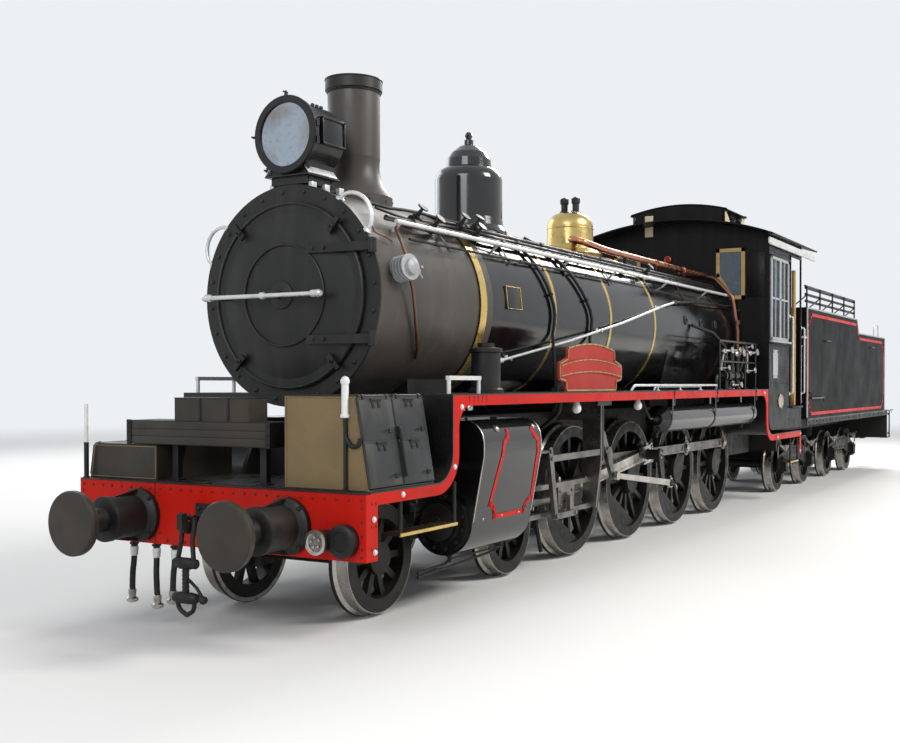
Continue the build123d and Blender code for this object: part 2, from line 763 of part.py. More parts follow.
CASING_TOP = 1298
with BuildPart() as cylinders:
    with BuildSketch(across(CYL_REAR)):
        with Locations((CYL_Y, DRIVER_Z)):
            Circle(CYL_R)
        with BuildLine():
            Polyline((CYL_Y, 600), (660, 720), (660, CASING_TOP), (1000, CASING_TOP))
            TangentArc((1000, CASING_TOP), (1150, 1148), tangent=(1, 0))
            Polyline((1150, 1148), (1150, 1060), (1062, 600), (CYL_Y, 600))
        make_face()
    extrude(amount=CYL_LENGTH)
    # Columns: distance past each end, radius
    for start, end, radius in ((0, 34, 215), (34, 58, 150)):
        for face, way in ((CYL_FRONT, 1), (CYL_REAR, -1)):
            with BuildSketch(across(min(face + way * start, face + way * end))):
                with Locations((CYL_Y, DRIVER_Z)):
                    Circle(radius)
            extrude(amount=end - start)
    with BuildSketch(across(CYL_REAR + 60)):
        with Locations(((660 + FRAME_OUT) / 2, 1040)):
            Rectangle(660 - FRAME_OUT, 420)
    extrude(amount=CYL_LENGTH - 120)
    mirror(about=Plane.XZ)
keep(cylinders, "cylinders")

BOGIE_PAD = 780
SADDLE_REAR = SMOKEBOX_REAR + 50
with BuildPart() as smokebox_saddle:
    with BuildSketch(across(SADDLE_REAR)):
        with BuildLine():
            inner = FRAME_OUT - FRAME_THICK
            outer = BOARD_IN - 4
            Polyline((-inner, 900), (inner, 900), (inner, FRAME_TOP), (outer, FRAME_TOP),
                     (outer, 1660), (-outer, 1660), (-outer, FRAME_TOP), (-inner, FRAME_TOP),
                     close=True)
        make_face()
        with Locations((0, BOILER_Z)):
            Circle(SMOKEBOX_R, mode=Mode.SUBTRACT)
    extrude(amount=CYL_FRONT - 80 - SADDLE_REAR)
    with BuildSketch(level(BOGIE_PAD)):
        with Locations((BOGIE_X, 0)):
            Circle(230)
    extrude(amount=130)
    with BuildSketch(level(BOGIE_PAD - 150)):
        with Locations((BOGIE_X, 0)):
            Circle(60)
    extrude(amount=160)
keep(smokebox_saddle, "smokebox_saddle")


# Leading bogie

BOGIE_PLATE_OUT = 425
BOGIE_PLATE = 28
with BuildPart() as bogie_frame:
    with BuildSketch(side(BOGIE_PLATE_OUT)):
        with BuildLine():
            Polyline((BOGIE_AXLE_X[0] + 180, 300), (BOGIE_AXLE_X[0] + 180, 500),
                     (BOGIE_X + 380, 620), (BOGIE_X - 380, 620), (BOGIE_AXLE_X[1] - 180, 500),
                     (BOGIE_AXLE_X[1] - 180, 300), (BOGIE_X - 420, 300), (BOGIE_X - 330, 420),
                     (BOGIE_X + 330, 420), (BOGIE_X + 420, 300), close=True)
        make_face()
    extrude(amount=BOGIE_PLATE)
    for axle_x in BOGIE_AXLE_X:
        with BuildSketch(side(BOGIE_PLATE_OUT + 30)):
            with Locations((axle_x, SMALL_Z)):
                Rectangle(230, 240)
        extrude(amount=BOGIE_PLATE + 60)
        with BuildSketch(side(BOGIE_PLATE_OUT + 30)):
            with Locations((axle_x, SMALL_Z)):
                Circle(SMALL_AXLE_R + RUN_FIT)
        extrude(amount=BOGIE_PLATE + 60, mode=Mode.SUBTRACT)
    mirror(about=Plane.XZ)
    with BuildSketch(level(560)):
        with Locations((BOGIE_X, 0)):
            Rectangle(520, 2 * (BOGIE_PLATE_OUT - 10))
    extrude(amount=60)
    with BuildSketch(level(620)):
        with Locations((BOGIE_X, 0)):
            Circle(220)
    extrude(amount=BOGIE_PAD - SEAT - 620)
    with BuildSketch(level(560)):
        with Locations((BOGIE_X, 0)):
            Circle(60 + RUN_FIT)
    extrude(amount=BOGIE_PAD - 560, mode=Mode.SUBTRACT)
keep(bogie_frame, "bogie_frame")


# Smokebox, door and chimney

CHIMNEY_X = 6546
CHIMNEY_BORE = 176
CHIMNEY_HOLE = 235
SKIRT_R = 280
HINGE_Y = 712
HINGE_X = 7300
HINGE_R = 16
LUG_THICK = 14
STRAP_Z = 300
STRAP_DEEP = 60
with BuildPart() as smokebox:
    with BuildSketch(Plane.XZ):
        with BuildLine():
            def at(x, r):
                return (x, BOILER_Z + r)
            skin = SMOKEBOX_R - SMOKEBOX_SHELL
            Polyline(at(SMOKEBOX_REAR, 0), at(SMOKEBOX_REAR, SMOKEBOX_R),
                     at(SMOKEBOX_FRONT - 32, SMOKEBOX_R), at(SMOKEBOX_FRONT - 32, RING_R),
                     at(SMOKEBOX_FRONT, RING_R), at(SMOKEBOX_FRONT, 560),
                     at(SMOKEBOX_FRONT - 32, 560), at(SMOKEBOX_FRONT - 32, skin),
                     at(SMOKEBOX_REAR + 25, skin), at(SMOKEBOX_REAR + 25, 0), close=True)
        make_face()
    revolve(axis=BOILER_AXIS)
    with BuildSketch(level(BOILER_Z + 500)):
        with Locations((CHIMNEY_X, 0)):
            Circle(CHIMNEY_HOLE)
    extrude(amount=400, mode=Mode.SUBTRACT)
    with BuildSketch(level(BOILER_Z - skin - 5)):
        with Locations((CHIMNEY_X, 0)):
            Circle(130)
    extrude(amount=480, taper=6)
    for z_side in (1, -1):
        for lug_z in (STRAP_DEEP / 2 + 1, -STRAP_DEEP / 2 - 1 - LUG_THICK):
            with BuildSketch(level(BOILER_Z + z_side * STRAP_Z + lug_z)):
                with Locations((HINGE_X, HINGE_Y)):
                    Circle(HINGE_R + 12)
                with Locations((SMOKEBOX_FRONT - 16, HINGE_Y - 60)):
                    Rectangle(20, 40)
                make_hull()
            extrude(amount=LUG_THICK)
        with BuildSketch(level(BOILER_Z + z_side * STRAP_Z - STRAP_DEEP / 2 - 20)):
            with Locations((HINGE_X, HINGE_Y)):
                Circle(HINGE_R)
        extrude(amount=STRAP_DEEP + 40)
keep(smokebox, "smokebox")

with BuildPart() as chimney:
    with BuildSketch(Plane.XZ):
        with BuildLine():
            x0 = CHIMNEY_X
            Polyline((x0 + CHIMNEY_BORE, 3763), (x0 + CHIMNEY_BORE, 2760), (x0 + SKIRT_R, 2760),
                     (x0 + SKIRT_R, 2905))
            ThreePointArc((x0 + SKIRT_R, 2905), (x0 + 215, 3000), (x0 + 190, 3190))
            Polyline((x0 + 190, 3190), (x0 + 190, 3668), (x0 + 207, 3680), (x0 + 207, 3763),
                     (x0 + CHIMNEY_BORE, 3763))
        make_face()
    revolve(axis=Axis((CHIMNEY_X, 0, 0), (0, 0, 1)))
    with BuildSketch(across(CHIMNEY_X - 400)):
        with Locations((0, BOILER_Z)):
            Circle(SMOKEBOX_R)
    extrude(amount=800, mode=Mode.SUBTRACT)
keep(chimney, "chimney")

DOOR_BACK = SMOKEBOX_FRONT + DOOR_GAP
with BuildPart() as smokebox_door:
    with BuildSketch(Plane.XZ):
        with BuildLine():
            rim_front = DOOR_BACK + DOOR_SKIN
            recess = DOOR_BACK + 20
            Polyline((recess, BOILER_Z), (recess, BOILER_Z + 520), (DOOR_BACK, BOILER_Z + 520),
                     (DOOR_BACK, BOILER_Z + DOOR_R), (rim_front, BOILER_Z + DOOR_R),
                     (rim_front, BOILER_Z + DISH_R))
            crown = (DISH_R ** 2 + DOOR_DISH ** 2) / (2 * DOOR_DISH)
            RadiusArc((rim_front, BOILER_Z + DISH_R), (rim_front + DOOR_DISH, BOILER_Z), crown)
            Line((rim_front + DOOR_DISH, BOILER_Z), (recess, BOILER_Z))
        make_face()
    revolve(axis=BOILER_AXIS)
    for z_side in (1, -1):
        strap_z = BOILER_Z + z_side * STRAP_Z
        with BuildSketch(level(strap_z - STRAP_DEEP / 2)):
            with BuildLine():
                Polyline((HINGE_X - 6, HINGE_Y), (HINGE_X - 6, 440), (DOOR_BACK + 44, 200),
                         (DOOR_BACK + 70, 200), (HINGE_X + 24, 450), (HINGE_X + 14, HINGE_Y),
                         close=True)
            make_face()
            with Locations((HINGE_X, HINGE_Y)):
                Circle(HINGE_R + 12)
            with Locations((HINGE_X, HINGE_Y)):
                Circle(HINGE_R + RUN_FIT, mode=Mode.SUBTRACT)
        extrude(amount=STRAP_DEEP)
    rail_x = DOOR_BACK + DOOR_DISH + 90
    for rail_y in (-570, -100, 330):
        foot = DOOR_BACK + (8 if abs(rail_y) > 500 else 40)
        with BuildSketch(across(foot)):
            with Locations((rail_y, BOILER_Z - 5)):
                Circle(12)
        extrude(amount=rail_x - foot)
    round_bar(rail_x, BOILER_Z - 5, 15, -600, 360)
keep(smokebox_door, "smokebox_door")


# Boiler: barrel and round-topped firebox casing in one cladding

FIREBOX_HALF = 600
with BuildPart() as boiler:
    with BuildSketch(across(BARREL_REAR)):
        with Locations((0, BOILER_Z)):
            Circle(BOILER_R)
    extrude(amount=SMOKEBOX_REAR - BARREL_REAR)
    with BuildSketch(across(BACKHEAD_X)):
        with Locations((0, BOILER_Z)):
            Circle(BOILER_R)
        with BuildLine():
            waist_y = BOILER_R * cos(radians(-12))
            waist_z = BOILER_Z - BOILER_R * sin(radians(12))
            Polyline((-waist_y, waist_z), (-FIREBOX_HALF, HIGH_BOARD + SEAT),
                     (FIREBOX_HALF, HIGH_BOARD + SEAT), (waist_y, waist_z), close=True)
        make_face()
    extrude(amount=BARREL_REAR - BACKHEAD_X)
keep(boiler, "boiler")

SAND_X = 4925
STEAM_X = 2930
DOME_BASE_R = 330
# Columns: middle along the engine, width
BANDS = ((SMOKEBOX_REAR, 90), (4750, 45), (3590, 45), (2470, 45))
BAND_SHEET = 4
with BuildPart() as boiler_bands:
    for middle, width in BANDS:
        with BuildSketch(across(middle - width / 2)):
            with Locations((0, BOILER_Z)):
                Circle(BOILER_R + BAND_SHEET)
                Circle(BOILER_R, mode=Mode.SUBTRACT)
        extrude(amount=width)
    for dome_x in (SAND_X, STEAM_X):
        with BuildSketch(level(BOILER_Z + 500)):
            with Locations((dome_x, 0)):
                Circle(DOME_BASE_R + SEAT)
        extrude(amount=400, mode=Mode.SUBTRACT)
keep(boiler_bands, "boiler_bands")

FIREBOX_IN = FRAME_OUT - FRAME_THICK - 10
with BuildPart() as firebox:
    with BuildSketch(across(CAB_FRONT_X)):
        with BuildLine():
            Polyline((-FIREBOX_IN, 760), (FIREBOX_IN, 760), (FIREBOX_IN, FRAME_TOP),
                     (BOARD_IN - 4, FRAME_TOP + 8), (BOARD_IN - 4, HIGH_BOARD),
                     (4 - BOARD_IN, HIGH_BOARD), (4 - BOARD_IN, FRAME_TOP + 8),
                     (-FIREBOX_IN, FRAME_TOP), close=True)
        make_face()
        with Locations((0, BOILER_Z)):
            Circle(BOILER_R + SEAT, mode=Mode.SUBTRACT)
    extrude(amount=BARREL_REAR - CAB_FRONT_X - 60)
keep(firebox, "firebox")


# Domes and safety valves


def turned(centre_x, foot, shoulder, crown, peak, top):
    """Add a turned fitting: straight steps up to the shoulder, an arc, then steps to the top.

    foot and top are lists of radius and height pairs; the arc runs from shoulder through
    crown to peak."""
    def there(pairs):
        return [(centre_x + radius, height) for radius, height in pairs]

    with BuildSketch(Plane.XZ) as section:
        with BuildLine():
            Polyline(*there([(0, 2700), *foot, shoulder]))
            ThreePointArc(*there([shoulder, crown, peak]))
            Polyline(*there([peak, *top, (0, 2700)]))
        make_face()
    revolve(section.sketch, axis=Axis((centre_x, 0, 0), (0, 0, 1)))


STEAM_TOP = 3280
DOME_SKIRT = [(DOME_BASE_R, 2700), (DOME_BASE_R, 2850)]
with BuildPart() as sand_dome:
    turned(SAND_X, DOME_SKIRT + [(300, 2895), (290, 2960)], (290, 3290), (262, 3358),
           (196, 3400), [(190, 3470), (150, 3530), (80, 3585), (40, 3600), (40, 3640),
                         (22, 3650), (34, 3680), (20, 3708), (0, 3708)])
    with BuildSketch(across(SAND_X - 400)):
        with Locations((0, BOILER_Z)):
            Circle(BOILER_R)
    extrude(amount=800, mode=Mode.SUBTRACT)
keep(sand_dome, "sand_dome")

with BuildPart() as steam_dome:
    turned(STEAM_X, DOME_SKIRT + [(270, 2905), (240, 2960)], (232, 3130), (194, 3237),
           (120, STEAM_TOP), [(0, STEAM_TOP)])
    with BuildSketch(across(STEAM_X - 400)):
        with Locations((0, BOILER_Z)):
            Circle(BOILER_R)
    extrude(amount=800, mode=Mode.SUBTRACT)
keep(steam_dome, "steam_dome")

VALVE_Y = 64
# Columns: radius and height above the dome of each step of a safety valve
VALVE_STEPS = ((50, 0), (50, 18), (34, 34), (34, 96), (44, 104), (44, 150), (12, 168), (0, 168))
with BuildPart() as safety_valves:
    for place_y in (VALVE_Y, -VALVE_Y):
        with BuildSketch(Plane.XZ.offset(-place_y)):
            with BuildLine():
                steps = [(STEAM_X + radius, STEAM_TOP + up) for radius, up in VALVE_STEPS]
                Polyline((STEAM_X, STEAM_TOP), *steps, close=True)
            make_face()
        revolve(axis=Axis((STEAM_X, place_y, 0), (0, 0, 1)))
keep(safety_valves, "safety_valves")


# Headlamp drum on its bracket, open at the front over a dished reflector

LAMP_Z = 3224
LAMP_R = 236
LAMP_RING_R = 257
LAMP_FRONT = 7316
LAMP_REAR = 6930
LAMP_AXIS = Axis((0, 0, LAMP_Z), (1, 0, 0))
GLASS_R = 224
LAMP_BOX_TOP = 2950
with BuildPart() as headlamp:
    with BuildSketch(Plane.XZ):
        with BuildLine():
            lip = LAMP_Z + GLASS_R - 10
            seat = LAMP_Z + GLASS_R + 2
            Polyline((LAMP_REAR, LAMP_Z), (LAMP_REAR, LAMP_Z + 150), (LAMP_REAR + 40, LAMP_Z + LAMP_R),
                     (LAMP_FRONT - 50, LAMP_Z + LAMP_R), (LAMP_FRONT - 50, LAMP_Z + LAMP_RING_R),
                     (LAMP_FRONT, LAMP_Z + LAMP_RING_R), (LAMP_FRONT, lip),
                     (LAMP_FRONT - 14, lip), (LAMP_FRONT - 14, seat), (LAMP_FRONT - 24, seat),
                     (LAMP_FRONT - 24, lip))
            ThreePointArc((LAMP_FRONT - 24, lip), (LAMP_FRONT - 130, LAMP_Z + 140),
                          (LAMP_FRONT - 220, LAMP_Z + 30))
            Polyline((LAMP_FRONT - 220, LAMP_Z + 30), (LAMP_FRONT - 220, LAMP_Z),
                     (LAMP_REAR, LAMP_Z))
        make_face()
    revolve(axis=LAMP_AXIS)
    for hand in (1, -1):
        with BuildSketch(side(layer(hand, 205, 45))):
            with Locations((LAMP_REAR + 175, LAMP_Z + 20)):
                Rectangle(250, 180)
        extrude(amount=45)
    with BuildSketch(level(LAMP_BOX_TOP - 56)):
        with Locations((LAMP_REAR + 190, 0)):
            Rectangle(300, 300)
    extrude(amount=LAMP_Z - LAMP_R + 120 - LAMP_BOX_TOP)
    with BuildSketch(across(LAMP_REAR)):
        with Locations((0, LAMP_Z)):
            Circle(GLASS_R - 60)
    extrude(amount=20)
    with BuildSketch(level(2740)):
        for leg_x in (LAMP_REAR + 80, LAMP_REAR + 265):
            with Locations((leg_x, 120), (leg_x, -120)):
                Rectangle(50, 30)
    extrude(amount=LAMP_BOX_TOP - 56 - 2740)
    with BuildSketch(across(LAMP_REAR - 100)):
        with Locations((0, BOILER_Z)):
            Circle(SMOKEBOX_R)
    extrude(amount=500, mode=Mode.SUBTRACT)
keep(headlamp, "headlamp")


# Fittings along the boiler: rails, pipes and the left-hand injector valve

RAIL_R = 16
RAIL_OUT = 828
RAIL_LEAN = radians(37)
RAIL_FRONT = 6960
HOOP_FRONT = 7000
HOOP_REAR = 6620
HOOP_Y = 1100
HOOP_R = 14
HOOP_HIGH = 104
with BuildPart() as boiler_fittings:
    for hand in (1, -1):
        with BuildSketch(across(CAB_FRONT_X)):
            with Locations((hand * RAIL_OUT * cos(RAIL_LEAN), BOILER_Z + RAIL_OUT * sin(RAIL_LEAN))):
                Circle(RAIL_R)
        extrude(amount=RAIL_FRONT - CAB_FRONT_X)
        for place in (6900, 5560, 4300, 3250, 1900, 600):
            spoke = Plane(origin=(place, 0, BOILER_Z), x_dir=(1, 0, 0),
                          z_dir=(0, hand * cos(RAIL_LEAN), sin(RAIL_LEAN)))
            with BuildSketch(spoke.offset(SMOKEBOX_R - 30)):
                Circle(11)
            extrude(amount=RAIL_OUT - SMOKEBOX_R + 30)
    with BuildSketch(across(CAB_FRONT_X - 60)):
        with Locations((0, BOILER_Z)):
            Circle(BOILER_R + 1)
    extrude(amount=SMOKEBOX_REAR + 60 - CAB_FRONT_X, mode=Mode.SUBTRACT)
    with BuildSketch(across(SMOKEBOX_REAR)):
        with Locations((0, BOILER_Z)):
            Circle(SMOKEBOX_R)
    extrude(amount=1400, mode=Mode.SUBTRACT)
    for hand in (1, -1):
        with BuildSketch(level(HIGH_BOARD)):
            with Locations((HOOP_FRONT, hand * HOOP_Y), (HOOP_REAR, hand * HOOP_Y)):
                Circle(HOOP_R)
        extrude(amount=HOOP_HIGH)
        with BuildSketch(across(HOOP_REAR - HOOP_R)):
            with Locations((hand * HOOP_Y, HIGH_BOARD + HOOP_HIGH)):
                Rectangle(2 * HOOP_R, 2 * HOOP_R)
        extrude(amount=HOOP_FRONT - HOOP_REAR + 2 * HOOP_R)
keep(boiler_fittings, "boiler_fittings")


# Air pump on the left footplate and the air reservoirs below the boards

PUMP_X = 6280
PUMP_Y = 960
with BuildPart() as air_pump:
    with BuildSketch(Plane.XZ.offset(-PUMP_Y)):
        with BuildLine():
            Polyline((PUMP_X, HIGH_BOARD), (PUMP_X + 125, HIGH_BOARD), (PUMP_X + 125, 1510),
                     (PUMP_X + 105, 1522), (PUMP_X + 105, 1770), (PUMP_X + 120, 1776),
                     (PUMP_X + 120, 1800), (PUMP_X + 60, 1812), (PUMP_X + 60, 1840),
                     (PUMP_X, 1840), close=True)
        make_face()
    revolve(axis=Axis((PUMP_X, PUMP_Y, 0), (0, 0, 1)))
keep(air_pump, "air_pump")

# Injectors beside the firebox, each with a barrel, upright valves and a delivery bend

INJECTOR_Y = 985
INJECTOR_Z = 1640
with BuildPart() as injectors:
    for hand in (1, -1):
        with BuildSketch(across(420)):
            with Locations((hand * INJECTOR_Y, INJECTOR_Z)):
                Circle(46)
        extrude(amount=620)
        # Columns: middle along the engine, width, radius of each collar on the barrel
        for place, width, radius in ((420, 34, 66), (640, 30, 60), (860, 60, 64), (1010, 34, 66)):
            with BuildSketch(across(place)):
                with Locations((hand * INJECTOR_Y, INJECTOR_Z)):
                    Circle(radius)
            extrude(amount=width)
        # Columns: place along the engine, low z, high z, radius of each upright valve
        for place, low, high, radius in ((480, HIGH_BOARD, 1900, 26), (700, INJECTOR_Z, 1960, 34),
                                         (900, HIGH_BOARD, INJECTOR_Z, 30),
                                         (980, INJECTOR_Z, 1880, 24)):
            with BuildSketch(level(low)):
                with Locations((place, hand * INJECTOR_Y)):
                    Circle(radius)
            extrude(amount=high - low)
            with BuildSketch(level(high - 40)):
                with Locations((place, hand * INJECTOR_Y)):
                    RegularPolygon(radius + 14, 6)
            extrude(amount=28)
keep(injectors, "injectors")

# Footsteps: hanging treads ahead of the cylinders and below the cab

STEP_IN = 1020
with BuildPart() as footsteps:
    # Columns: front rod, rear rod, top of the rods, height of the tread
    for front, rear, top, tread in ((7620, 7010, DECK_UNDER, 636), (-1300, -1660, DECK_UNDER, 520)):
        for hand in (1, -1):
            with BuildSketch(level(tread)):
                with Locations(((front + rear) / 2, hand * (STEP_IN + HALF_WIDTH - 14) / 2)):
                    Rectangle(front - rear + 40, HALF_WIDTH - 14 - STEP_IN)
            extrude(amount=14)
            with BuildSketch(level(tread)):
                with Locations((front, hand * 1146), (rear, hand * 1146)):
                    Circle(13)
            extrude(amount=top - tread)
keep(footsteps, "footsteps")

RESERVOIR_R = 130
RESERVOIR_Y = 1020
RESERVOIR_Z = 1208
with BuildPart() as air_reservoirs:
    for hand in (1, -1):
        with BuildSketch(Plane.XZ.offset(-hand * RESERVOIR_Y)):
            with BuildLine():
                Polyline((170, RESERVOIR_Z), (170, RESERVOIR_Z + 60), (230, RESERVOIR_Z + RESERVOIR_R),
                         (3070, RESERVOIR_Z + RESERVOIR_R), (3130, RESERVOIR_Z + 60),
                         (3130, RESERVOIR_Z), close=True)
            make_face()
        revolve(axis=Axis((0, hand * RESERVOIR_Y, RESERVOIR_Z), (1, 0, 0)))
        for place in (500, 1600, 2700):
            with BuildSketch(across(place)):
                with Locations((hand * RESERVOIR_Y, (RESERVOIR_Z + HIGH_BOARD - BOARD_THICK) / 2)):
                    Rectangle(60, HIGH_BOARD - BOARD_THICK - RESERVOIR_Z)
            extrude(amount=50)
keep(air_reservoirs, "air_reservoirs")


# Name plates on the left and right boards, bare, with an arched top

PLATE_IN = 1098
PLATE_X = 4807
with BuildPart() as nameplates:
    for hand in (1, -1):
        with BuildSketch(side(layer(hand, PLATE_IN, 14))):
            with BuildLine():
                Polyline((5271, 1757), (5417, 1715), (5417, 1580), (5303, 1560), (5303, HIGH_BOARD),
                         (4311, HIGH_BOARD), (4311, 1560), (4197, 1580), (4197, 1715), (4343, 1757),
                         (4343, 1828))
                ThreePointArc((4343, 1828), (PLATE_X, 1876), (5271, 1828))
                Line((5271, 1828), (5271, 1757))
            make_face()
        extrude(amount=14)
        with BuildSketch(side(layer(hand, PLATE_IN + 14, 8))):
            with BuildLine():
                Line((5397, 1700), (5397, 1596))
                ThreePointArc((5397, 1596), (PLATE_X, 1640), (4217, 1596))
                Line((4217, 1596), (4217, 1700))
                ThreePointArc((4217, 1700), (PLATE_X, 1758), (5397, 1700))
            make_face()
        extrude(amount=8)
keep(nameplates, "nameplates")


# Cab

# Columns: half width, height of each corner of a front window
FRONT_WINDOW = ((545, 3186), (836, 3186), (836, 2632), (712, 2632), (545, 2902))
SIDE_WINDOW = (-645, 2603)
SIDE_WINDOW_SIZE = (790, 1010)
ROOF_R = (ROOF_HALF ** 2 + (CROWN_Z - EAVE_Z) ** 2) / (2 * (CROWN_Z - EAVE_Z))
ROOF_CENTRE = CROWN_Z - ROOF_R
DOORWAY = (-1180, -1690)
with BuildPart() as cab_front:
    with BuildSketch(across(CAB_FRONT_X - PLATE)):
        with Locations((0, (HIGH_BOARD + CROWN_Z) / 2)):
            Rectangle(2 * (HALF_WIDTH - PLATE), CROWN_Z - HIGH_BOARD)
        with Locations((0, ROOF_CENTRE)):
            Circle(ROOF_R - ROOF_THICK, mode=Mode.INTERSECT)
        with Locations((0, BOILER_Z)):
            Circle(BOILER_R, mode=Mode.SUBTRACT)
        with Locations((0, (HIGH_BOARD + BOILER_Z) / 2)):
            Rectangle(2 * BOILER_R, BOILER_Z - HIGH_BOARD, mode=Mode.SUBTRACT)
    extrude(amount=PLATE)
    with BuildSketch(across(CAB_FRONT_X - PLATE)):
        for hand in (1, -1):
            with BuildLine():
                Polyline(*[(hand * half, height) for half, height in FRONT_WINDOW], close=True)
            make_face()
    extrude(amount=PLATE, mode=Mode.SUBTRACT)
keep(cab_front, "cab_front")

with BuildPart() as cab_sides:
    with BuildSketch(side(HALF_WIDTH)):
        with Locations(((CAB_FRONT_X + CAB_REAR_X) / 2, (CAB_FOOT + EAVE_Z) / 2)):
            Rectangle(CAB_FRONT_X - CAB_REAR_X, EAVE_Z - CAB_FOOT)
        fillet(vertices().sort_by(Axis.Y)[:2].sort_by(Axis.X)[-1], BAND_BEND - 22)
        with Locations(SIDE_WINDOW):
            Rectangle(*SIDE_WINDOW_SIZE, mode=Mode.SUBTRACT)
        with Locations(((DOORWAY[0] + DOORWAY[1]) / 2, (CAB_FLOOR + 3200) / 2)):
            Rectangle(DOORWAY[0] - DOORWAY[1], 3200 - CAB_FLOOR, mode=Mode.SUBTRACT)
    extrude(amount=PLATE)
    mirror(about=Plane.XZ)
keep(cab_sides, "cab_sides")

with BuildPart() as cab_roof:
    with BuildSketch(across(ROOF_REAR_X)):
        with Locations((0, ROOF_CENTRE)):
            Circle(ROOF_R)
            Circle(ROOF_R - ROOF_THICK, mode=Mode.SUBTRACT)
        with Locations((0, EAVE_Z + 300)):
            Rectangle(2 * ROOF_HALF, 600, mode=Mode.INTERSECT)
    extrude(amount=ROOF_FRONT_X - ROOF_REAR_X)
    with BuildSketch(across(-1000)):
        with BuildLine():
            Polyline((-640, 3700), (-640, 3720))
            ThreePointArc((-640, 3720), (0, 3810), (640, 3720))
            Polyline((640, 3720), (640, 3700), (580, 3700), (580, 3500), (-580, 3500),
                     (-580, 3700), (-640, 3700))
        make_face()
        with Locations((0, ROOF_CENTRE)):
            Circle(ROOF_R - 4, mode=Mode.SUBTRACT)
    extrude(amount=800)
keep(cab_roof, "cab_roof")

with BuildPart() as cab_floor:
    with BuildSketch(level(CAB_FLOOR - 20)):
        with Locations(((BACKHEAD_X - 60 + CAB_REAR_X) / 2, 0)):
            Rectangle(BACKHEAD_X - 60 - CAB_REAR_X, 2 * (HALF_WIDTH - PLATE))
    extrude(amount=20)
    with BuildSketch(level(CAB_FLOOR)):
        with Locations(((FRAME_REAR_X - 1960) / 2, 0)):
            Rectangle(FRAME_REAR_X + 1960, 900)
    extrude(amount=8)
    for hand in (1, -1):
        with BuildSketch(level(CAB_FLOOR)):
            with Locations((-900, hand * 950)):
                Rectangle(380, 300)
        extrude(amount=500)
keep(cab_floor, "cab_floor")

with BuildPart() as backhead:
    with BuildSketch(across(BACKHEAD_X - 40)):
        with Locations((0, BOILER_Z)):
            Circle(BOILER_R - 40)
        with Locations((0, (CAB_FLOOR + BOILER_Z) / 2)):
            Rectangle(1100, BOILER_Z - CAB_FLOOR)
    extrude(amount=40)
    with BuildSketch(across(BACKHEAD_X - 70)):
        with Locations((0, 1650)):
            RectangleRounded(420, 300, 60)
    extrude(amount=30)
keep(backhead, "backhead")

GLASS = 5
with BuildPart() as glass:
    with BuildSketch(across(LAMP_FRONT - 24)):
        with Locations((0, LAMP_Z)):
            Circle(GLASS_R)
    extrude(amount=6)
    with BuildSketch(across(CAB_FRONT_X - PLATE + 3)):
        for hand in (1, -1):
            with BuildLine():
                Polyline(*[(hand * half, height) for half, height in FRONT_WINDOW], close=True)
            make_face()
    extrude(amount=GLASS)
    for hand in (1, -1):
        with BuildSketch(side(layer(hand, HALF_WIDTH - PLATE + 3, GLASS))):
            with Locations(SIDE_WINDOW):
                Rectangle(*SIDE_WINDOW_SIZE)
        extrude(amount=GLASS)
keep(glass, "glass")


# Crossheads, piston rods and slide bars

MOTION_X = 4240
BAR_IN = 785
BAR_OUT = 855
BAR_DEEP = 40
BAR_GAP = 93
BAR_FRONT = CYL_REAR - 58
with BuildPart() as crossheads:
    for hand in (1, -1):
        head_x = crosshead_x(hand)
        thick = BAR_OUT - BAR_IN
        with BuildSketch(side(layer(hand, BAR_IN, thick))):
            for lift in (1, -1):
                with Locations(((MOTION_X + 30 + BAR_FRONT) / 2, DRIVER_Z + lift * (BAR_GAP + BAR_DEEP / 2))):
                    Rectangle(BAR_FRONT - MOTION_X - 30, BAR_DEEP)
        extrude(amount=thick)
        with BuildSketch(side(layer(hand, BAR_IN - 7, thick + 14))):
            with Locations((head_x, DRIVER_Z)):
                Rectangle(300, 2 * BAR_GAP)
        extrude(amount=thick + 14)
        with BuildSketch(across(head_x)):
            with Locations((hand * CYL_Y, DRIVER_Z)):
                Circle(32)
        extrude(amount=BAR_FRONT - head_x)
        with BuildSketch(side(layer(hand, BAR_OUT + 7, 18))):
            with Locations((head_x, DRIVER_Z)):
                Circle(42)
        extrude(amount=18)
keep(crossheads, "crossheads")


# Valve gear: motion brackets, expansion links, radius rods and combination levers

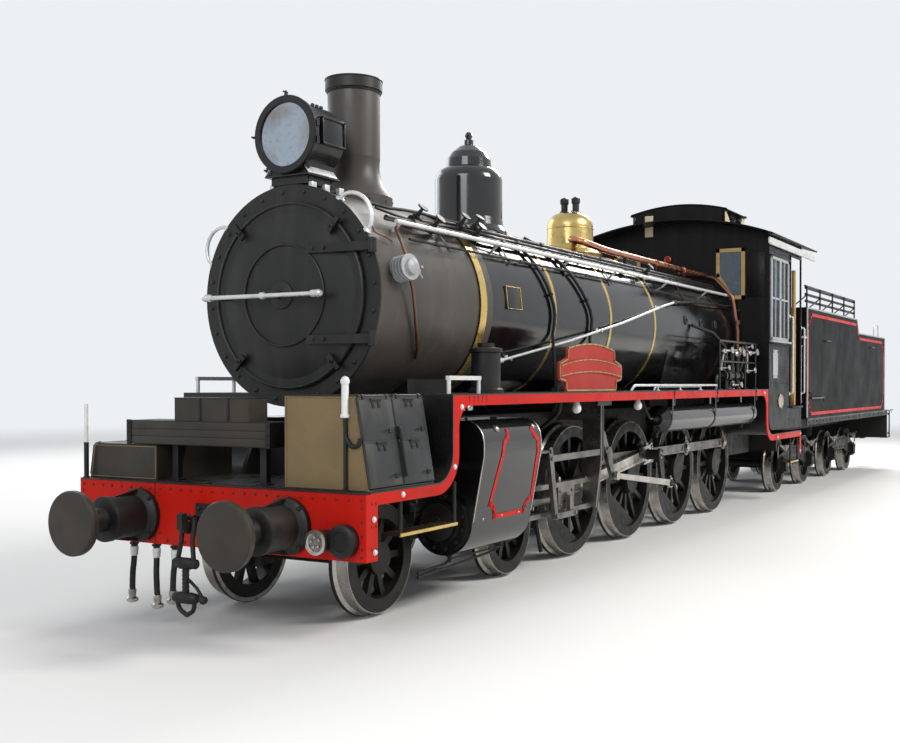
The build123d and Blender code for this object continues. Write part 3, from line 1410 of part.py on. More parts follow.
with BuildPart() as valve_gear:
    for hand in (1, -1):
        with BuildSketch(across(MOTION_X)):
            with BuildLine():
                Polyline((hand * FRAME_OUT, 1230), (hand * FRAME_OUT, FRAME_TOP),
                         (hand * 560, HIGH_BOARD - BOARD_THICK), (hand * 950, HIGH_BOARD - BOARD_THICK),
                         (hand * 950, 880), (hand * 900, 466), (hand * 774, 466),
                         (hand * 774, 1230), close=True)
            make_face()
        extrude(amount=30)
        foot = link_foot(hand)
        lean = atan2(TRUNNION[1] - foot[1], TRUNNION[0] - foot[0])
        top = (TRUNNION[0] + 190 * cos(lean), TRUNNION[1] + 190 * sin(lean))
        with BuildSketch(side(layer(hand, LINK_IN, LINK_THICK))):
            with Locations(foot):
                Circle(36)
            with Locations(top):
                Circle(40)
            make_hull()
        extrude(amount=LINK_THICK)
        with BuildSketch(side(layer(hand, LINK_IN - 20, 20))):
            with Locations(((TRUNNION[0] + MOTION_X) / 2 - 20, TRUNNION[1])):
                Rectangle(MOTION_X - TRUNNION[0] + 60, 90)
        extrude(amount=20)
        spindle = (5230, 1010)
        lever_foot = (crosshead_x(hand) + 350, 478)
        with BuildSketch(side(layer(hand, LINK_IN, LINK_THICK))):
            with Locations(spindle):
                Circle(34)
            with Locations(lever_foot):
                Circle(26)
            make_hull()
        extrude(amount=LINK_THICK)
        with BuildSketch(side(layer(hand, LINK_IN + 5, LINK_THICK - 10))):
            with Locations((spindle[0] - 20, spindle[1] - 60)):
                Circle(26)
            with Locations((TRUNNION[0] + 60, TRUNNION[1] + 20)):
                Circle(26)
            make_hull()
        extrude(amount=LINK_THICK - 10)
        with BuildSketch(side(layer(hand, LINK_IN, LINK_THICK))):
            with Locations(lever_foot):
                Circle(24)
            with Locations((crosshead_x(hand), 478)):
                Circle(24)
            make_hull()
        extrude(amount=LINK_THICK)
        with BuildSketch(side(layer(hand, BAR_OUT + 25, LINK_IN - BAR_OUT - 25))):
            with Locations((crosshead_x(hand), 540)):
                Rectangle(70, 160)
        extrude(amount=LINK_IN - BAR_OUT - 25)
        with BuildSketch(across(spindle[0])):
            with Locations((hand * (LINK_IN + LINK_THICK / 2), spindle[1])):
                Circle(16)
        extrude(amount=CYL_REAR - spindle[0])
keep(valve_gear, "valve_gear")


# Tender frame, tank, rails and filler lid

TENDER_SOLE = 830
FRAME_Y = 380
with BuildPart() as tender_frame:
    with BuildSketch(side(FRAME_Y + 40)):
        with Locations(((TANK_FRONT_X + TENDER_BEAM_X) / 2, (TENDER_SOLE + TANK_FOOT - 18) / 2)):
            Rectangle(TANK_FRONT_X - TENDER_BEAM_X - 80, TANK_FOOT - 18 - TENDER_SOLE)
    extrude(amount=40)
    with BuildSketch(side(HALF_WIDTH)):
        with Locations(((TANK_FRONT_X + TENDER_BEAM_X) / 2, (CAB_FOOT + TANK_FOOT) / 2)):
            Rectangle(TANK_FRONT_X - TENDER_BEAM_X, TANK_FOOT - CAB_FOOT)
    extrude(amount=PLATE)
    mirror(about=Plane.XZ)
    with BuildSketch(level(TANK_FOOT - 18)):
        with Locations(((TANK_FRONT_X + TENDER_BEAM_X) / 2, 0)):
            Rectangle(TANK_FRONT_X - TENDER_BEAM_X, 2 * HALF_WIDTH - 2)
    extrude(amount=18)
    with BuildSketch(across(TENDER_BEAM_X)):
        with Locations((0, (BEAM_BOTTOM + 32 + TANK_FOOT) / 2)):
            Rectangle(2 * HALF_WIDTH, TANK_FOOT - BEAM_BOTTOM - 32)
    extrude(amount=BEAM_THICK)
    with BuildSketch(across(TANK_FRONT_X - 40)):
        with Locations((0, (620 + TANK_FOOT) / 2)):
            Rectangle(1500, TANK_FOOT - 620)
    extrude(amount=40)
    for middle in TENDER_BOGIE_X:
        with BuildSketch(level(TENDER_SOLE)):
            with Locations((middle, 0)):
                Rectangle(360, 2 * FRAME_Y + 60)
        extrude(amount=TANK_FOOT - 18 - TENDER_SOLE)
        with BuildSketch(level(TENDER_SOLE - 110)):
            with Locations((middle, 0)):
                Circle(50)
        extrude(amount=120)
    with BuildSketch(level(COUPLING_Z - 30)):
        with BuildLine():
            Polyline((TANK_FRONT_X - 10, -90), (PIVOT_X, -90))
            ThreePointArc((PIVOT_X, -90), (PIVOT_X + 90, 0), (PIVOT_X, 90))
            Polyline((PIVOT_X, 90), (TANK_FRONT_X - 10, 90), (TANK_FRONT_X - 10, -90))
        make_face()
        with Locations((PIVOT_X, 0)):
            Circle(35 + RUN_FIT, mode=Mode.SUBTRACT)
    extrude(amount=60)
    buffer(TENDER_BEAM_X, -1)
    drawhook(TENDER_BEAM_X, -1)
keep(tender_frame, "tender_frame")

LID_X = -6900
LID_Z = TANK_LOW_TOP + 110 + SEAT
LID_R = 240
LID_EYE = 40
LID_PIN_X = LID_X - LID_R - 14
COAL_HALF = 850
COAL_FRONT = -2200
COAL_REAR = -5100
with BuildPart() as tender_tank:
    with BuildSketch(side(HALF_WIDTH)):
        with BuildLine():
            Polyline((TANK_FRONT_X, TANK_FOOT), (TANK_FRONT_X, TANK_TOP), (TANK_STEP_X, TANK_TOP),
                     (TANK_STEP_X - 120, TANK_LOW_TOP), (TANK_REAR_X, TANK_LOW_TOP),
                     (TANK_REAR_X, TANK_FOOT), close=True)
        make_face()
    extrude(amount=2 * HALF_WIDTH)
    with BuildSketch(side(COAL_HALF)):
        with BuildLine():
            Polyline((COAL_FRONT, 1300), (COAL_FRONT, TANK_TOP + 100), (COAL_REAR, TANK_TOP + 100),
                     (COAL_REAR, 2250), (-3300, 1300), close=True)
        make_face()
    extrude(amount=2 * COAL_HALF, mode=Mode.SUBTRACT)
    with BuildSketch(across(COAL_FRONT - 5)):
        with Locations((0, 1600)):
            Rectangle(700, 600)
    extrude(amount=TANK_FRONT_X - COAL_FRONT + 10, mode=Mode.SUBTRACT)
    with BuildSketch(level(TANK_LOW_TOP)):
        with Locations((LID_X, 0)):
            Circle(230)
            Circle(200, mode=Mode.SUBTRACT)
    extrude(amount=110)
    for eye_y in (-LID_EYE, LID_EYE):
        with BuildSketch(side(eye_y + EYE_THICK / 2)):
            with Locations((LID_PIN_X, LID_Z + 8)):
                Circle(16)
            with Locations((LID_X - 216, LID_Z - 60)):
                Circle(8)
            make_hull()
            with Locations((LID_PIN_X, LID_Z + 8)):
                Circle(8 + RUN_FIT, mode=Mode.SUBTRACT)
        extrude(amount=EYE_THICK)
keep(tender_tank, "tender_tank")

with BuildPart() as filler_lid:
    with BuildSketch(level(LID_Z)):
        with Locations((LID_X, 0)):
            Circle(LID_R)
        with Locations((LID_X - LID_R, 0)):
            Rectangle(36, 44)
            for eye_y in (-LID_EYE, LID_EYE):
                with Locations((0, eye_y)):
                    Rectangle(70, EYE_THICK + 8, mode=Mode.SUBTRACT)
    extrude(amount=16)
    round_bar(LID_PIN_X, LID_Z + 8, 8, -LID_EYE - 16, LID_EYE + 16)
keep(filler_lid, "filler_lid")

with BuildPart() as tender_rails:
    for hand in (1, -1):
        for height in (90, 180, 270):
            with BuildSketch(side(layer(hand, 1130, 12))):
                with Locations(((TANK_FRONT_X + TANK_STEP_X) / 2, TANK_TOP + height)):
                    Rectangle(TANK_FRONT_X - TANK_STEP_X - 60, 34)
            extrude(amount=12)
        for place in (-2140, -2900, -3680, -4460, -5220):
            with BuildSketch(side(layer(hand, 1142, 14))):
                with Locations((place, TANK_TOP + 145)):
                    Rectangle(44, 290)
            extrude(amount=14)
keep(tender_rails, "tender_rails")


# Tender bogies: outside side frames with axleboxes, and a bolster on a centre pad

for index, middle in enumerate(TENDER_BOGIE_X):
    half = TENDER_BOGIE_BASE / 2
    with BuildPart() as tender_bogie:
        with BuildSketch(side(TENDER_SIDE_IN + TENDER_SIDE_THICK)):
            with BuildLine():
                Polyline((middle + half + 160, 330), (middle + half + 160, 520),
                         (middle + 320, 640), (middle - 320, 640), (middle - half - 160, 520),
                         (middle - half - 160, 330), (middle - half + 180, 330),
                         (middle - 260, 420), (middle + 260, 420), (middle + half - 180, 330),
                         close=True)
            make_face()
        extrude(amount=TENDER_SIDE_THICK)
        for axle_x in (middle + half, middle - half):
            with BuildSketch(side(TENDER_JOURNAL_Y + 12)):
                with Locations((axle_x, SMALL_Z)):
                    Rectangle(190, 230)
            extrude(amount=TENDER_JOURNAL_Y + 12 - TENDER_SIDE_IN)
            with BuildSketch(side(TENDER_JOURNAL_Y)):
                with Locations((axle_x, SMALL_Z)):
                    Circle(TENDER_JOURNAL_R + RUN_FIT)
            extrude(amount=TENDER_JOURNAL_Y - TENDER_SIDE_IN + 5, mode=Mode.SUBTRACT)
        mirror(about=Plane.XZ)
        with BuildSketch(level(440)):
            with Locations((middle, 0)):
                Rectangle(300, 2 * (TENDER_SIDE_IN + 10))
        extrude(amount=190)
        with BuildSketch(level(630)):
            with Locations((middle, 0)):
                Circle(180)
        extrude(amount=TENDER_SOLE - SEAT - 630)
        with BuildSketch(level(TENDER_SOLE - 120)):
            with Locations((middle, 0)):
                Circle(50 + RUN_FIT)
        extrude(amount=120, mode=Mode.SUBTRACT)
    keep(tender_bogie, f"tender_bogie_{index + 1}")
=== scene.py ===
# %% [markdown]
# # Dressing a steam locomotive
# The CAD model gives this engine its plates, wheels and rods. This lesson gives it paint,
# brass, rivets, pipes and lining. Every cell makes a few pieces or finishes, in metres, in
# the same frame as the CAD: +X forward, +Y to the left-hand side, +Z up.

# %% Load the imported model
import math
import bmesh
import bpy
from mathutils import Matrix, Vector


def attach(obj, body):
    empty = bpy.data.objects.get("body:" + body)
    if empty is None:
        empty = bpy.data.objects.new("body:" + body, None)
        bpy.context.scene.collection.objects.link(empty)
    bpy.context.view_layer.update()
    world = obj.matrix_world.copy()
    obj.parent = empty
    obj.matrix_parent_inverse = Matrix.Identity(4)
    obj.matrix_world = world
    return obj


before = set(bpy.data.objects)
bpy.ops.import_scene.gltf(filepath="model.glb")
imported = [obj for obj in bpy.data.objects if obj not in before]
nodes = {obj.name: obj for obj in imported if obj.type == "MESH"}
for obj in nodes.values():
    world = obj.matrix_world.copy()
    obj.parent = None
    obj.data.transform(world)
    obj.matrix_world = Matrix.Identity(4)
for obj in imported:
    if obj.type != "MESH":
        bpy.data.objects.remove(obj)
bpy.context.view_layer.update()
scene = bpy.context.scene

# %% [markdown]
# ## The camera
# A photographer stood on a platform ahead of the engine and to its left, with the lens at
# about the height of the footplate. Placing the camera there first means that every later
# piece can be judged in the same view. The lens shift keeps the uprights upright, which is
# how a level camera with a cropped picture behaves.

# %% Place the camera
CAMERA_PLACE = (13.11, 4.941, 1.551)
CAMERA_YAW, CAMERA_PITCH = 28.343, -0.817


def cosd(angle):
    """Cosine of an angle in degrees."""
    return math.cos(math.radians(angle))


def sind(angle):
    """Sine of an angle in degrees."""
    return math.sin(math.radians(angle))


def aimed(ahead):
    """Rotation of a camera or lamp that looks along a direction."""
    return ahead.to_track_quat("-Z", "Y").to_euler()


def stand(name, data, place, turn):
    """Put a camera or a lamp in the scene."""
    made = bpy.data.objects.new(name, data)
    made.location, made.rotation_euler = place, turn
    scene.collection.objects.link(made)
    return made


camera_data = bpy.data.cameras.new("camera")
camera_data.lens = 44.30
camera_data.sensor_width = 36
camera_data.shift_x, camera_data.shift_y = -0.0806, 0.0311
camera_data.clip_end = 200
look = Vector((-cosd(CAMERA_PITCH) * cosd(CAMERA_YAW), -cosd(CAMERA_PITCH) * sind(CAMERA_YAW),
    sind(CAMERA_PITCH)))
camera = stand("camera", camera_data, CAMERA_PLACE, aimed(look))
scene.camera = camera
print("camera at", [round(c, 2) for c in camera.location])

# %% [markdown]
# ## Floor and light
# A studio floor and a pale backdrop keep the eye on the engine. The world is white to the
# camera and to reflections, and gives only a soft grey light to the object. One broad lamp
# high on the left-hand side gives shape, and two weaker ones fill the front and far sides.
# A lamp high behind the tender makes the long bright lines along the round boiler. The far
# floor fades into the backdrop, so that no horizon cuts through the picture.

# %% Short ways to write shader nodes
def fill(net, target, inputs):
    """Fill a node's inputs, named or numbered, with values or with links to sockets."""
    for key, given in inputs.items():
        if isinstance(given, bpy.types.NodeSocket):
            net.links.new(given, target.inputs[key])
        else:
            target.inputs[key].default_value = given


def node(net, kind, inputs, **fields):
    """Add a shader node, set its fields, then fill its inputs."""
    made = net.nodes.new("ShaderNode" + kind)
    for field, given in fields.items():
        setattr(made, field, given)
    fill(net, made, inputs)
    return made


def calculate(net, operation, first, second):
    """The output of a Math node fed with two values or sockets."""
    return node(net, "Math", {0: first, 1: second}, operation=operation).outputs[0]


def new_material(name):
    """An empty material, its node tree and its Principled BSDF node."""
    made = bpy.data.materials.new(name)
    made.use_nodes = True
    return made, made.node_tree, made.node_tree.nodes["Principled BSDF"]


def show_mix(net, amount, first, second):
    """Send a mix of two shaders to the material's output."""
    mix = node(net, "MixShader", {"Fac": amount, 1: first, 2: second})
    output = next(other for other in net.nodes if other.bl_idname == "ShaderNodeOutputMaterial")
    fill(net, output, {"Surface": mix.outputs[0]})


# %% Lay the floor and set the world
FLOOR_COLOUR = (0.80, 0.80, 0.79, 1)
BACKDROP_COLOUR = (0.84, 0.87, 0.90, 1)
FLOOR_HALF = 60
FADE_START, FADE_END = 11, 34
floor_mesh = bpy.data.meshes.new("studio_floor")
floor_mesh.from_pydata([(x * FLOOR_HALF, y * FLOOR_HALF, 0) for x, y in ((-1, -1), (1, -1),
    (1, 1), (-1, 1))], [], [(0, 1, 2, 3)])
floor = bpy.data.objects.new("studio_floor", floor_mesh)
scene.collection.objects.link(floor)

floor_paint, tree, shader = new_material("floor_paint")
fill(tree, shader, {"Base Color": FLOOR_COLOUR, "Roughness": 0.9, "Specular IOR Level": 0.2})
place = node(tree, "TexCoord", {}).outputs["Object"]
distance = node(tree, "VectorMath", {0: place}, operation="LENGTH").outputs["Value"]
fade = node(tree, "MapRange", {"Value": distance, "From Min": FADE_START, "From Max": FADE_END},
    interpolation_type="SMOOTHSTEP").outputs["Result"]
ray = node(tree, "LightPath", {}).outputs
shown = calculate(tree, "MAXIMUM", ray["Is Camera Ray"], ray["Is Glossy Ray"])
far_floor = node(tree, "Emission", {"Color": BACKDROP_COLOUR, "Strength": 1.0}).outputs[0]
show_mix(tree, calculate(tree, "MULTIPLY", fade, shown), shader.outputs[0], far_floor)
floor_mesh.materials.append(floor_paint)

world = bpy.data.worlds.new("studio")
scene.world = world
world.use_nodes = True
sky = world.node_tree
sky.nodes.clear()
ray = node(sky, "LightPath", {}).outputs
either = calculate(sky, "MAXIMUM", ray["Is Camera Ray"], ray["Is Glossy Ray"])
seen = calculate(sky, "MAXIMUM", either, ray["Is Transmission Ray"])
soft_light = node(sky, "Background", {"Color": (0.93, 0.96, 1.0, 1), "Strength": 0.40})
backdrop = node(sky, "Background", {"Color": BACKDROP_COLOUR, "Strength": 1.0})
choose = node(sky, "MixShader", {"Fac": seen, 1: soft_light.outputs[0], 2: backdrop.outputs[0]})
node(sky, "OutputWorld", {"Surface": choose.outputs[0]})

# %% Four broad lamps
LAMPS = (("key_lamp", (1, 17, 14), (2.5, 0, 1.5), (7, 7), 3600, (1.0, 0.97, 0.92)),
    ("front_lamp", (20, 3, 9), (4, 0, 1.5), (8, 8), 1000, (0.95, 0.97, 1.0)),
    ("far_lamp", (0, -16, 9), (0, 0, 1.5), (12, 8), 700, (0.92, 0.96, 1.0)),
    ("rear_lamp", (-14, -2.5, 13.5), (4, 0.4, 2), (9, 6), 3000, (1.0, 0.98, 0.95)))
for name, place, aim, size, power, tint in LAMPS:
    light = bpy.data.lights.new(name, "AREA")
    light.shape = "RECTANGLE"
    light.size, light.size_y = size
    light.energy, light.color = power, tint
    stand(name, light, place, aimed(Vector(aim) - Vector(place)))
scene.view_settings.view_transform = "Standard"
print("stage set with", len(bpy.data.lights), "lamps")

# %% [markdown]
# ## A painted plate
# Engine paint is never one flat colour. Soot and dust settle on level tops, rain draws
# streaks down the sides, oil makes some patches shinier, and the plate under the paint has
# small waves. One function builds that from noise, so each finish below only states its
# colour, its gloss and how dirty it is. The coordinates are the object's own, in metres, so
# a grain of dust has the same size on every piece.

# %% A finish made of paint, dirt, dust and waves
COAT_ROUGH, BUMP_HEIGHT, LEAST_ROUGH = 0.08, 0.004, 0.04
STREAK_STRETCH = (3.2, 3.2, 0.22)


def noise(net, place, scale, detail):
    """A noise texture's value at a place."""
    return node(net, "TexNoise", {"Vector": place, "Scale": scale,
        "Detail": detail}).outputs["Fac"]


def spread(net, value, low, high, out_low, out_high):
    """A value stretched from one range to another."""
    return node(net, "MapRange", {"Value": value, "From Min": low, "From Max": high,
        "To Min": out_low, "To Max": out_high}).outputs["Result"]


def finish(name, colour, dirt, dirty=0.35, rough=0.35, metal=0.0, dust=0.25,
        dust_colour=(0.20, 0.18, 0.15), patch=2.2, wave=0.25, grain=90.0, streak=0.0, coat=0.0,
        rough_spread=0.18, shine=0.5):
    """Procedural finish: base colour, noise dirt, dust on upward faces, streaks and bump."""
    made, net, surface = new_material(name)
    place = node(net, "TexCoord", {}).outputs["Object"]

    def grit(scale, detail, *reach, at=place):
        return spread(net, noise(net, at, scale, detail), *reach)

    def blend(amount, first, second):
        first, second = ((*c, 1) if isinstance(c, tuple) else c for c in (first, second))
        return node(net, "Mix", {"Factor": amount, "A": first, "B": second},
            data_type="RGBA").outputs["Result"]

    base = blend(grit(patch, 6, 0.42, 0.78, 0.0, dirty), colour, dirt)
    base = blend(grit(grain * 0.35, 3, 0.55, 0.8, 0.0, dirty * 0.5), base, dirt)
    if streak:
        tall = node(net, "Mapping", {"Vector": place, "Scale": STREAK_STRETCH}).outputs["Vector"]
        base = blend(grit(3.0, 5, 0.5, 0.72, 0.0, streak, at=tall), base, dust_colour)
    if dust:
        normal = node(net, "NewGeometry", {}).outputs["Normal"]
        up = node(net, "SeparateXYZ", {"Vector": normal}).outputs["Z"]
        fall = calculate(net, "MULTIPLY", spread(net, up, 0.35, 1.0, 0.0, dust),
            grit(5.0, 6, 0.3, 0.7, 0.25, 1.0))
        base = blend(fall, base, dust_colour)
    heights = calculate(net, "ADD", grit(1.6, 2, 0.0, 1.0, 0.0, 0.8), grit(grain, 3, 0.0, 1.0,
        0.0, 0.12))
    bump = node(net, "Bump", {"Strength": wave, "Distance": BUMP_HEIGHT, "Height": heights})
    fill(net, surface, {"Metallic": metal, "Specular IOR Level": shine, "Coat Weight": coat,
        "Coat Roughness": COAT_ROUGH, "Base Color": base, "Normal": bump.outputs["Normal"],
        "Roughness": grit(patch * 2.3, 5, 0.3, 0.7, max(LEAST_ROUGH, rough - rough_spread / 2),
        rough + rough_spread)})
    return made


# %% [markdown]
# ## The palette
# The photograph shows a well-kept engine: gloss black cladding on the boiler, a duller heat
# paint on the smokebox in two copies, a lighter warm grey as painted sunlight on the barrel
# and chimney and a near black as painted shade on the ring and door, signal red edges, brass
# that has been polished and then smoked on, aluminium paint on the handrails and oiled steel
# on the motion, darkened further as painted shade.

# %% Mix the finishes
PALETTE = {
    "black_satin": dict(colour=(0.006, 0.006, 0.0065), dirt=(0.018, 0.017, 0.015), dirty=0.45,
        rough=0.28, shine=0.4, dust=0.08),
    "polished_black": dict(colour=(0.005, 0.005, 0.006), dirt=(0.016, 0.015, 0.014), dirty=0.3,
        rough=0.13, rough_spread=0.1, coat=0.3, dust=0.03, wave=0.2),
    "tank_black": dict(colour=(0.006, 0.0062, 0.006), dirt=(0.012, 0.012, 0.011), dirty=0.3,
        rough=0.46, rough_spread=0.1, shine=0.06, dust=0.06, dust_colour=(0.032, 0.031, 0.029),
        streak=0.14, patch=1.2),
    "black_gloss": dict(colour=(0.004, 0.004, 0.005), dirt=(0.014, 0.013, 0.011), dirty=0.3,
        rough=0.12, rough_spread=0.1, dust=0.03, streak=0.03, wave=0.25),
    "cab_black": dict(colour=(0.005, 0.005, 0.0055), dirt=(0.012, 0.011, 0.01), dirty=0.3,
        rough=0.32, rough_spread=0.12, shine=0.12, dust=0.07, streak=0.03),
    # Near black copy of the smokebox paint: on the smokebox ring and door it is painted shade.
    "smokebox_dark": dict(colour=(0.007, 0.0068, 0.0065), dirt=(0.016, 0.014, 0.012), dirty=0.5,
        rough=0.4, shine=0.35, dust=0.1, streak=0.06, patch=1.7, wave=0.35),
    "iron_black": dict(colour=(0.0075, 0.007, 0.0068), dirt=(0.02, 0.017, 0.014), dirty=0.6,
        rough=0.46, shine=0.3, dust=0.13, dust_colour=(0.1, 0.09, 0.075), patch=5.0, grain=140.0),
    "signal_red": dict(colour=(0.5, 0.012, 0.006), dirt=(0.14, 0.012, 0.008), dirty=0.35,
        rough=0.32, shine=0.1, dust=0.05, dust_colour=(0.26, 0.08, 0.06), streak=0.05),
    "rivet_red": dict(colour=(0.17, 0.01, 0.006), dirt=(0.06, 0.008, 0.006), dirty=0.4,
        rough=0.35, shine=0.25, dust=0.03),
    "lining_red": dict(colour=(0.52, 0.018, 0.013), dirt=(0.3, 0.03, 0.02), dirty=0.3,
        rough=0.34, shine=0.1, dust=0.03),
    "plate_red": dict(colour=(0.36, 0.03, 0.022), dirt=(0.2, 0.024, 0.018), dirty=0.4,
        rough=0.34, shine=0.12, dust=0.06, grain=160.0),
    "brass": dict(colour=(0.56, 0.41, 0.16), dirt=(0.21, 0.155, 0.07), dirty=0.65, rough=0.25,
        metal=1.0, dust=0.1, patch=4.0, grain=120.0),
    "band_brass": dict(colour=(0.66, 0.47, 0.15), dirt=(0.32, 0.23, 0.09), dirty=0.5, rough=0.22,
        metal=0.9, dust=0.05, patch=6.0),
    "copper": dict(colour=(0.5, 0.2, 0.11), dirt=(0.2, 0.09, 0.055), dirty=0.6, rough=0.27,
        metal=1.0, dust=0.08, patch=5.0),
    "old_copper": dict(colour=(0.19, 0.08, 0.05), dirt=(0.05, 0.03, 0.022), dirty=0.7,
        rough=0.34, metal=0.7, dust=0.08, patch=5.0),
    "pale_grey": dict(colour=(0.34, 0.35, 0.36), dirt=(0.15, 0.145, 0.14), dirty=0.45,
        rough=0.32, dust=0.08, streak=0.1, patch=6.0),
    "silver_paint": dict(colour=(0.66, 0.66, 0.66), dirt=(0.26, 0.25, 0.24), dirty=0.35,
        rough=0.3, metal=0.35, dust=0.08, patch=9.0),
    "white_paint": dict(colour=(0.74, 0.74, 0.72), dirt=(0.35, 0.33, 0.3), dirty=0.35,
        rough=0.35, dust=0.06, patch=12.0),
    "bright_steel": dict(colour=(0.5, 0.48, 0.45), dirt=(0.12, 0.09, 0.06), dirty=0.6,
        rough=0.28, metal=1.0, dust=0.12, patch=7.0, grain=150.0),
    # Darker than clean steel: partly oil and grime, partly painted shade for the shadowed motion,
    # rods and springs.
    "oily_steel_and_painted_shade": dict(colour=(0.21, 0.2, 0.185), dirt=(0.03, 0.025, 0.018), dirty=0.8,
        rough=0.32, metal=0.9, dust=0.2, patch=6.0, grain=150.0),
    "khaki_paint": dict(colour=(0.185, 0.128, 0.058), dirt=(0.09, 0.068, 0.04), dirty=0.5,
        rough=0.4, shine=0.35, dust=0.1, patch=3.5),
    "olive_dark": dict(colour=(0.024, 0.02, 0.014), dirt=(0.048, 0.039, 0.027), dirty=0.5,
        rough=0.44, shine=0.35, dust=0.12, dust_colour=(0.12, 0.105, 0.08), patch=3.0),
    # Lighter warm grey copy of the smokebox paint: painted sunlight on the smokebox barrel, the
    # chimney and the boiler's front end.
    "smokebox_grey_painted_sunlit": dict(colour=(0.052, 0.046, 0.038), dirt=(0.018, 0.016, 0.014), dirty=0.7,
        rough=0.4, shine=0.4, dust=0.1, streak=0.1, patch=1.3, wave=0.35),
    "door_grey": dict(colour=(0.014, 0.016, 0.017), dirt=(0.038, 0.036, 0.033), dirty=0.55,
        rough=0.34, shine=0.4, dust=0.1, streak=0.12, patch=4.0),
    "rubber": dict(colour=(0.012, 0.0115, 0.011), dirt=(0.045, 0.041, 0.036), dirty=0.5,
        rough=0.6, shine=0.3, dust=0.15, patch=10.0, grain=200.0),
    "wood_varnish": dict(colour=(0.46, 0.29, 0.085), dirt=(0.2, 0.11, 0.03), dirty=0.6,
        rough=0.3, coat=0.4, dust=0.05, patch=3.0),
    "reflector": dict(colour=(0.36, 0.42, 0.48), dirt=(0.2, 0.13, 0.08), dirty=1.0, rough=0.1,
        rough_spread=0.06, metal=1.0, dust=0.0, patch=3.2, wave=0.8),
    "cream_paint": dict(colour=(0.6, 0.53, 0.36), dirt=(0.28, 0.22, 0.12), dirty=0.5, rough=0.4,
        dust=0.05, patch=4.0),
}
paints = {name: finish(name, **traits) for name, traits in PALETTE.items()}
print("finishes:", len(bpy.data.materials))

# %% [markdown]
# ## Paint that stops at an edge
# Several CAD pieces carry two paints: a wheel has a black centre and a bare steel tread, a
# buffer has a greasy face. Painters mask such an edge with tape. The material version of
# the tape is a mask made from the object's own coordinates: a box, or a ring round an axle.
# Inside the mask the colour, roughness and metal of a second paint take over.

# %% Masking tape made of coordinates
def mask_value(net, zone):
    """A socket that is 1 inside a box zone (low, high) or a ring zone (x, z, r0, r1)."""
    place = node(net, "TexCoord", {}).outputs["Object"]

    def vector(operation, first, second=(0, 0, 0)):
        return node(net, "VectorMath", {0: first, 1: second}, operation=operation).outputs

    if len(zone) == 2:
        low, high = Vector(zone[0]), Vector(zone[1])
        from_middle = vector("SUBTRACT", place, (low + high) / 2)[0]
        scaled = vector("DIVIDE", from_middle, (high - low) / 2)[0]
        parts = node(net, "SeparateXYZ", {0: vector("ABSOLUTE", scaled)[0]}).outputs
        widest = calculate(net, "MAXIMUM", parts["X"], parts["Y"])
        return calculate(net, "LESS_THAN", calculate(net, "MAXIMUM", widest, parts["Z"]), 1.0)
    x, z, r0, r1 = zone
    flat = vector("MULTIPLY", vector("SUBTRACT", place, (x, 0, z))[0], (1, 0, 1))[0]
    radius = vector("LENGTH", flat)["Value"]
    return calculate(net, "MULTIPLY", calculate(net, "GREATER_THAN", radius, r0),
        calculate(net, "LESS_THAN", radius, r1))


def two_tone(name, first, second, *zones):
    """A copy of the first finish that becomes the second finish inside the zones."""
    made = paints[first].copy()
    made.name = name
    net, other = made.node_tree, paints[second].node_tree
    surface = net.nodes["Principled BSDF"]
    twin = {}
    for source in other.nodes:
        if source.bl_idname == "ShaderNodeOutputMaterial":
            continue
        twin[source.name] = copy = net.nodes.new(source.bl_idname)
        for field in ("operation", "data_type"):
            if hasattr(source, field):
                setattr(copy, field, getattr(source, field))
        for socket, given in zip(copy.inputs, source.inputs):
            if hasattr(given, "default_value") and not given.is_linked:
                socket.default_value = given.default_value
    for link in other.links:
        if link.to_node.name in twin:
            start = list(link.from_node.outputs).index(link.from_socket)
            end = list(link.to_node.inputs).index(link.to_socket)
            net.links.new(twin[link.from_node.name].outputs[start],
                twin[link.to_node.name].inputs[end])
    mask = mask_value(net, zones[0])
    for zone in zones[1:]:
        mask = calculate(net, "MAXIMUM", mask, mask_value(net, zone))
    show_mix(net, mask, surface.outputs[0], twin["Principled BSDF"].outputs[0])
    paints[name] = made


# %% [markdown]
# ## Painting the CAD pieces
# The CAD pieces keep their shape and get a finish each. A table is the clearest way to say
# which: one row for one finish, with the pieces that wear it.

# %% Give every CAD piece its finish
def wear(node_name, paint):
    """Put one finish on every material slot of a CAD piece."""
    worn = nodes[node_name]
    if not worn.material_slots:
        worn.data.materials.append(paints[paint])
    for slot in worn.material_slots:
        slot.material = paints[paint]


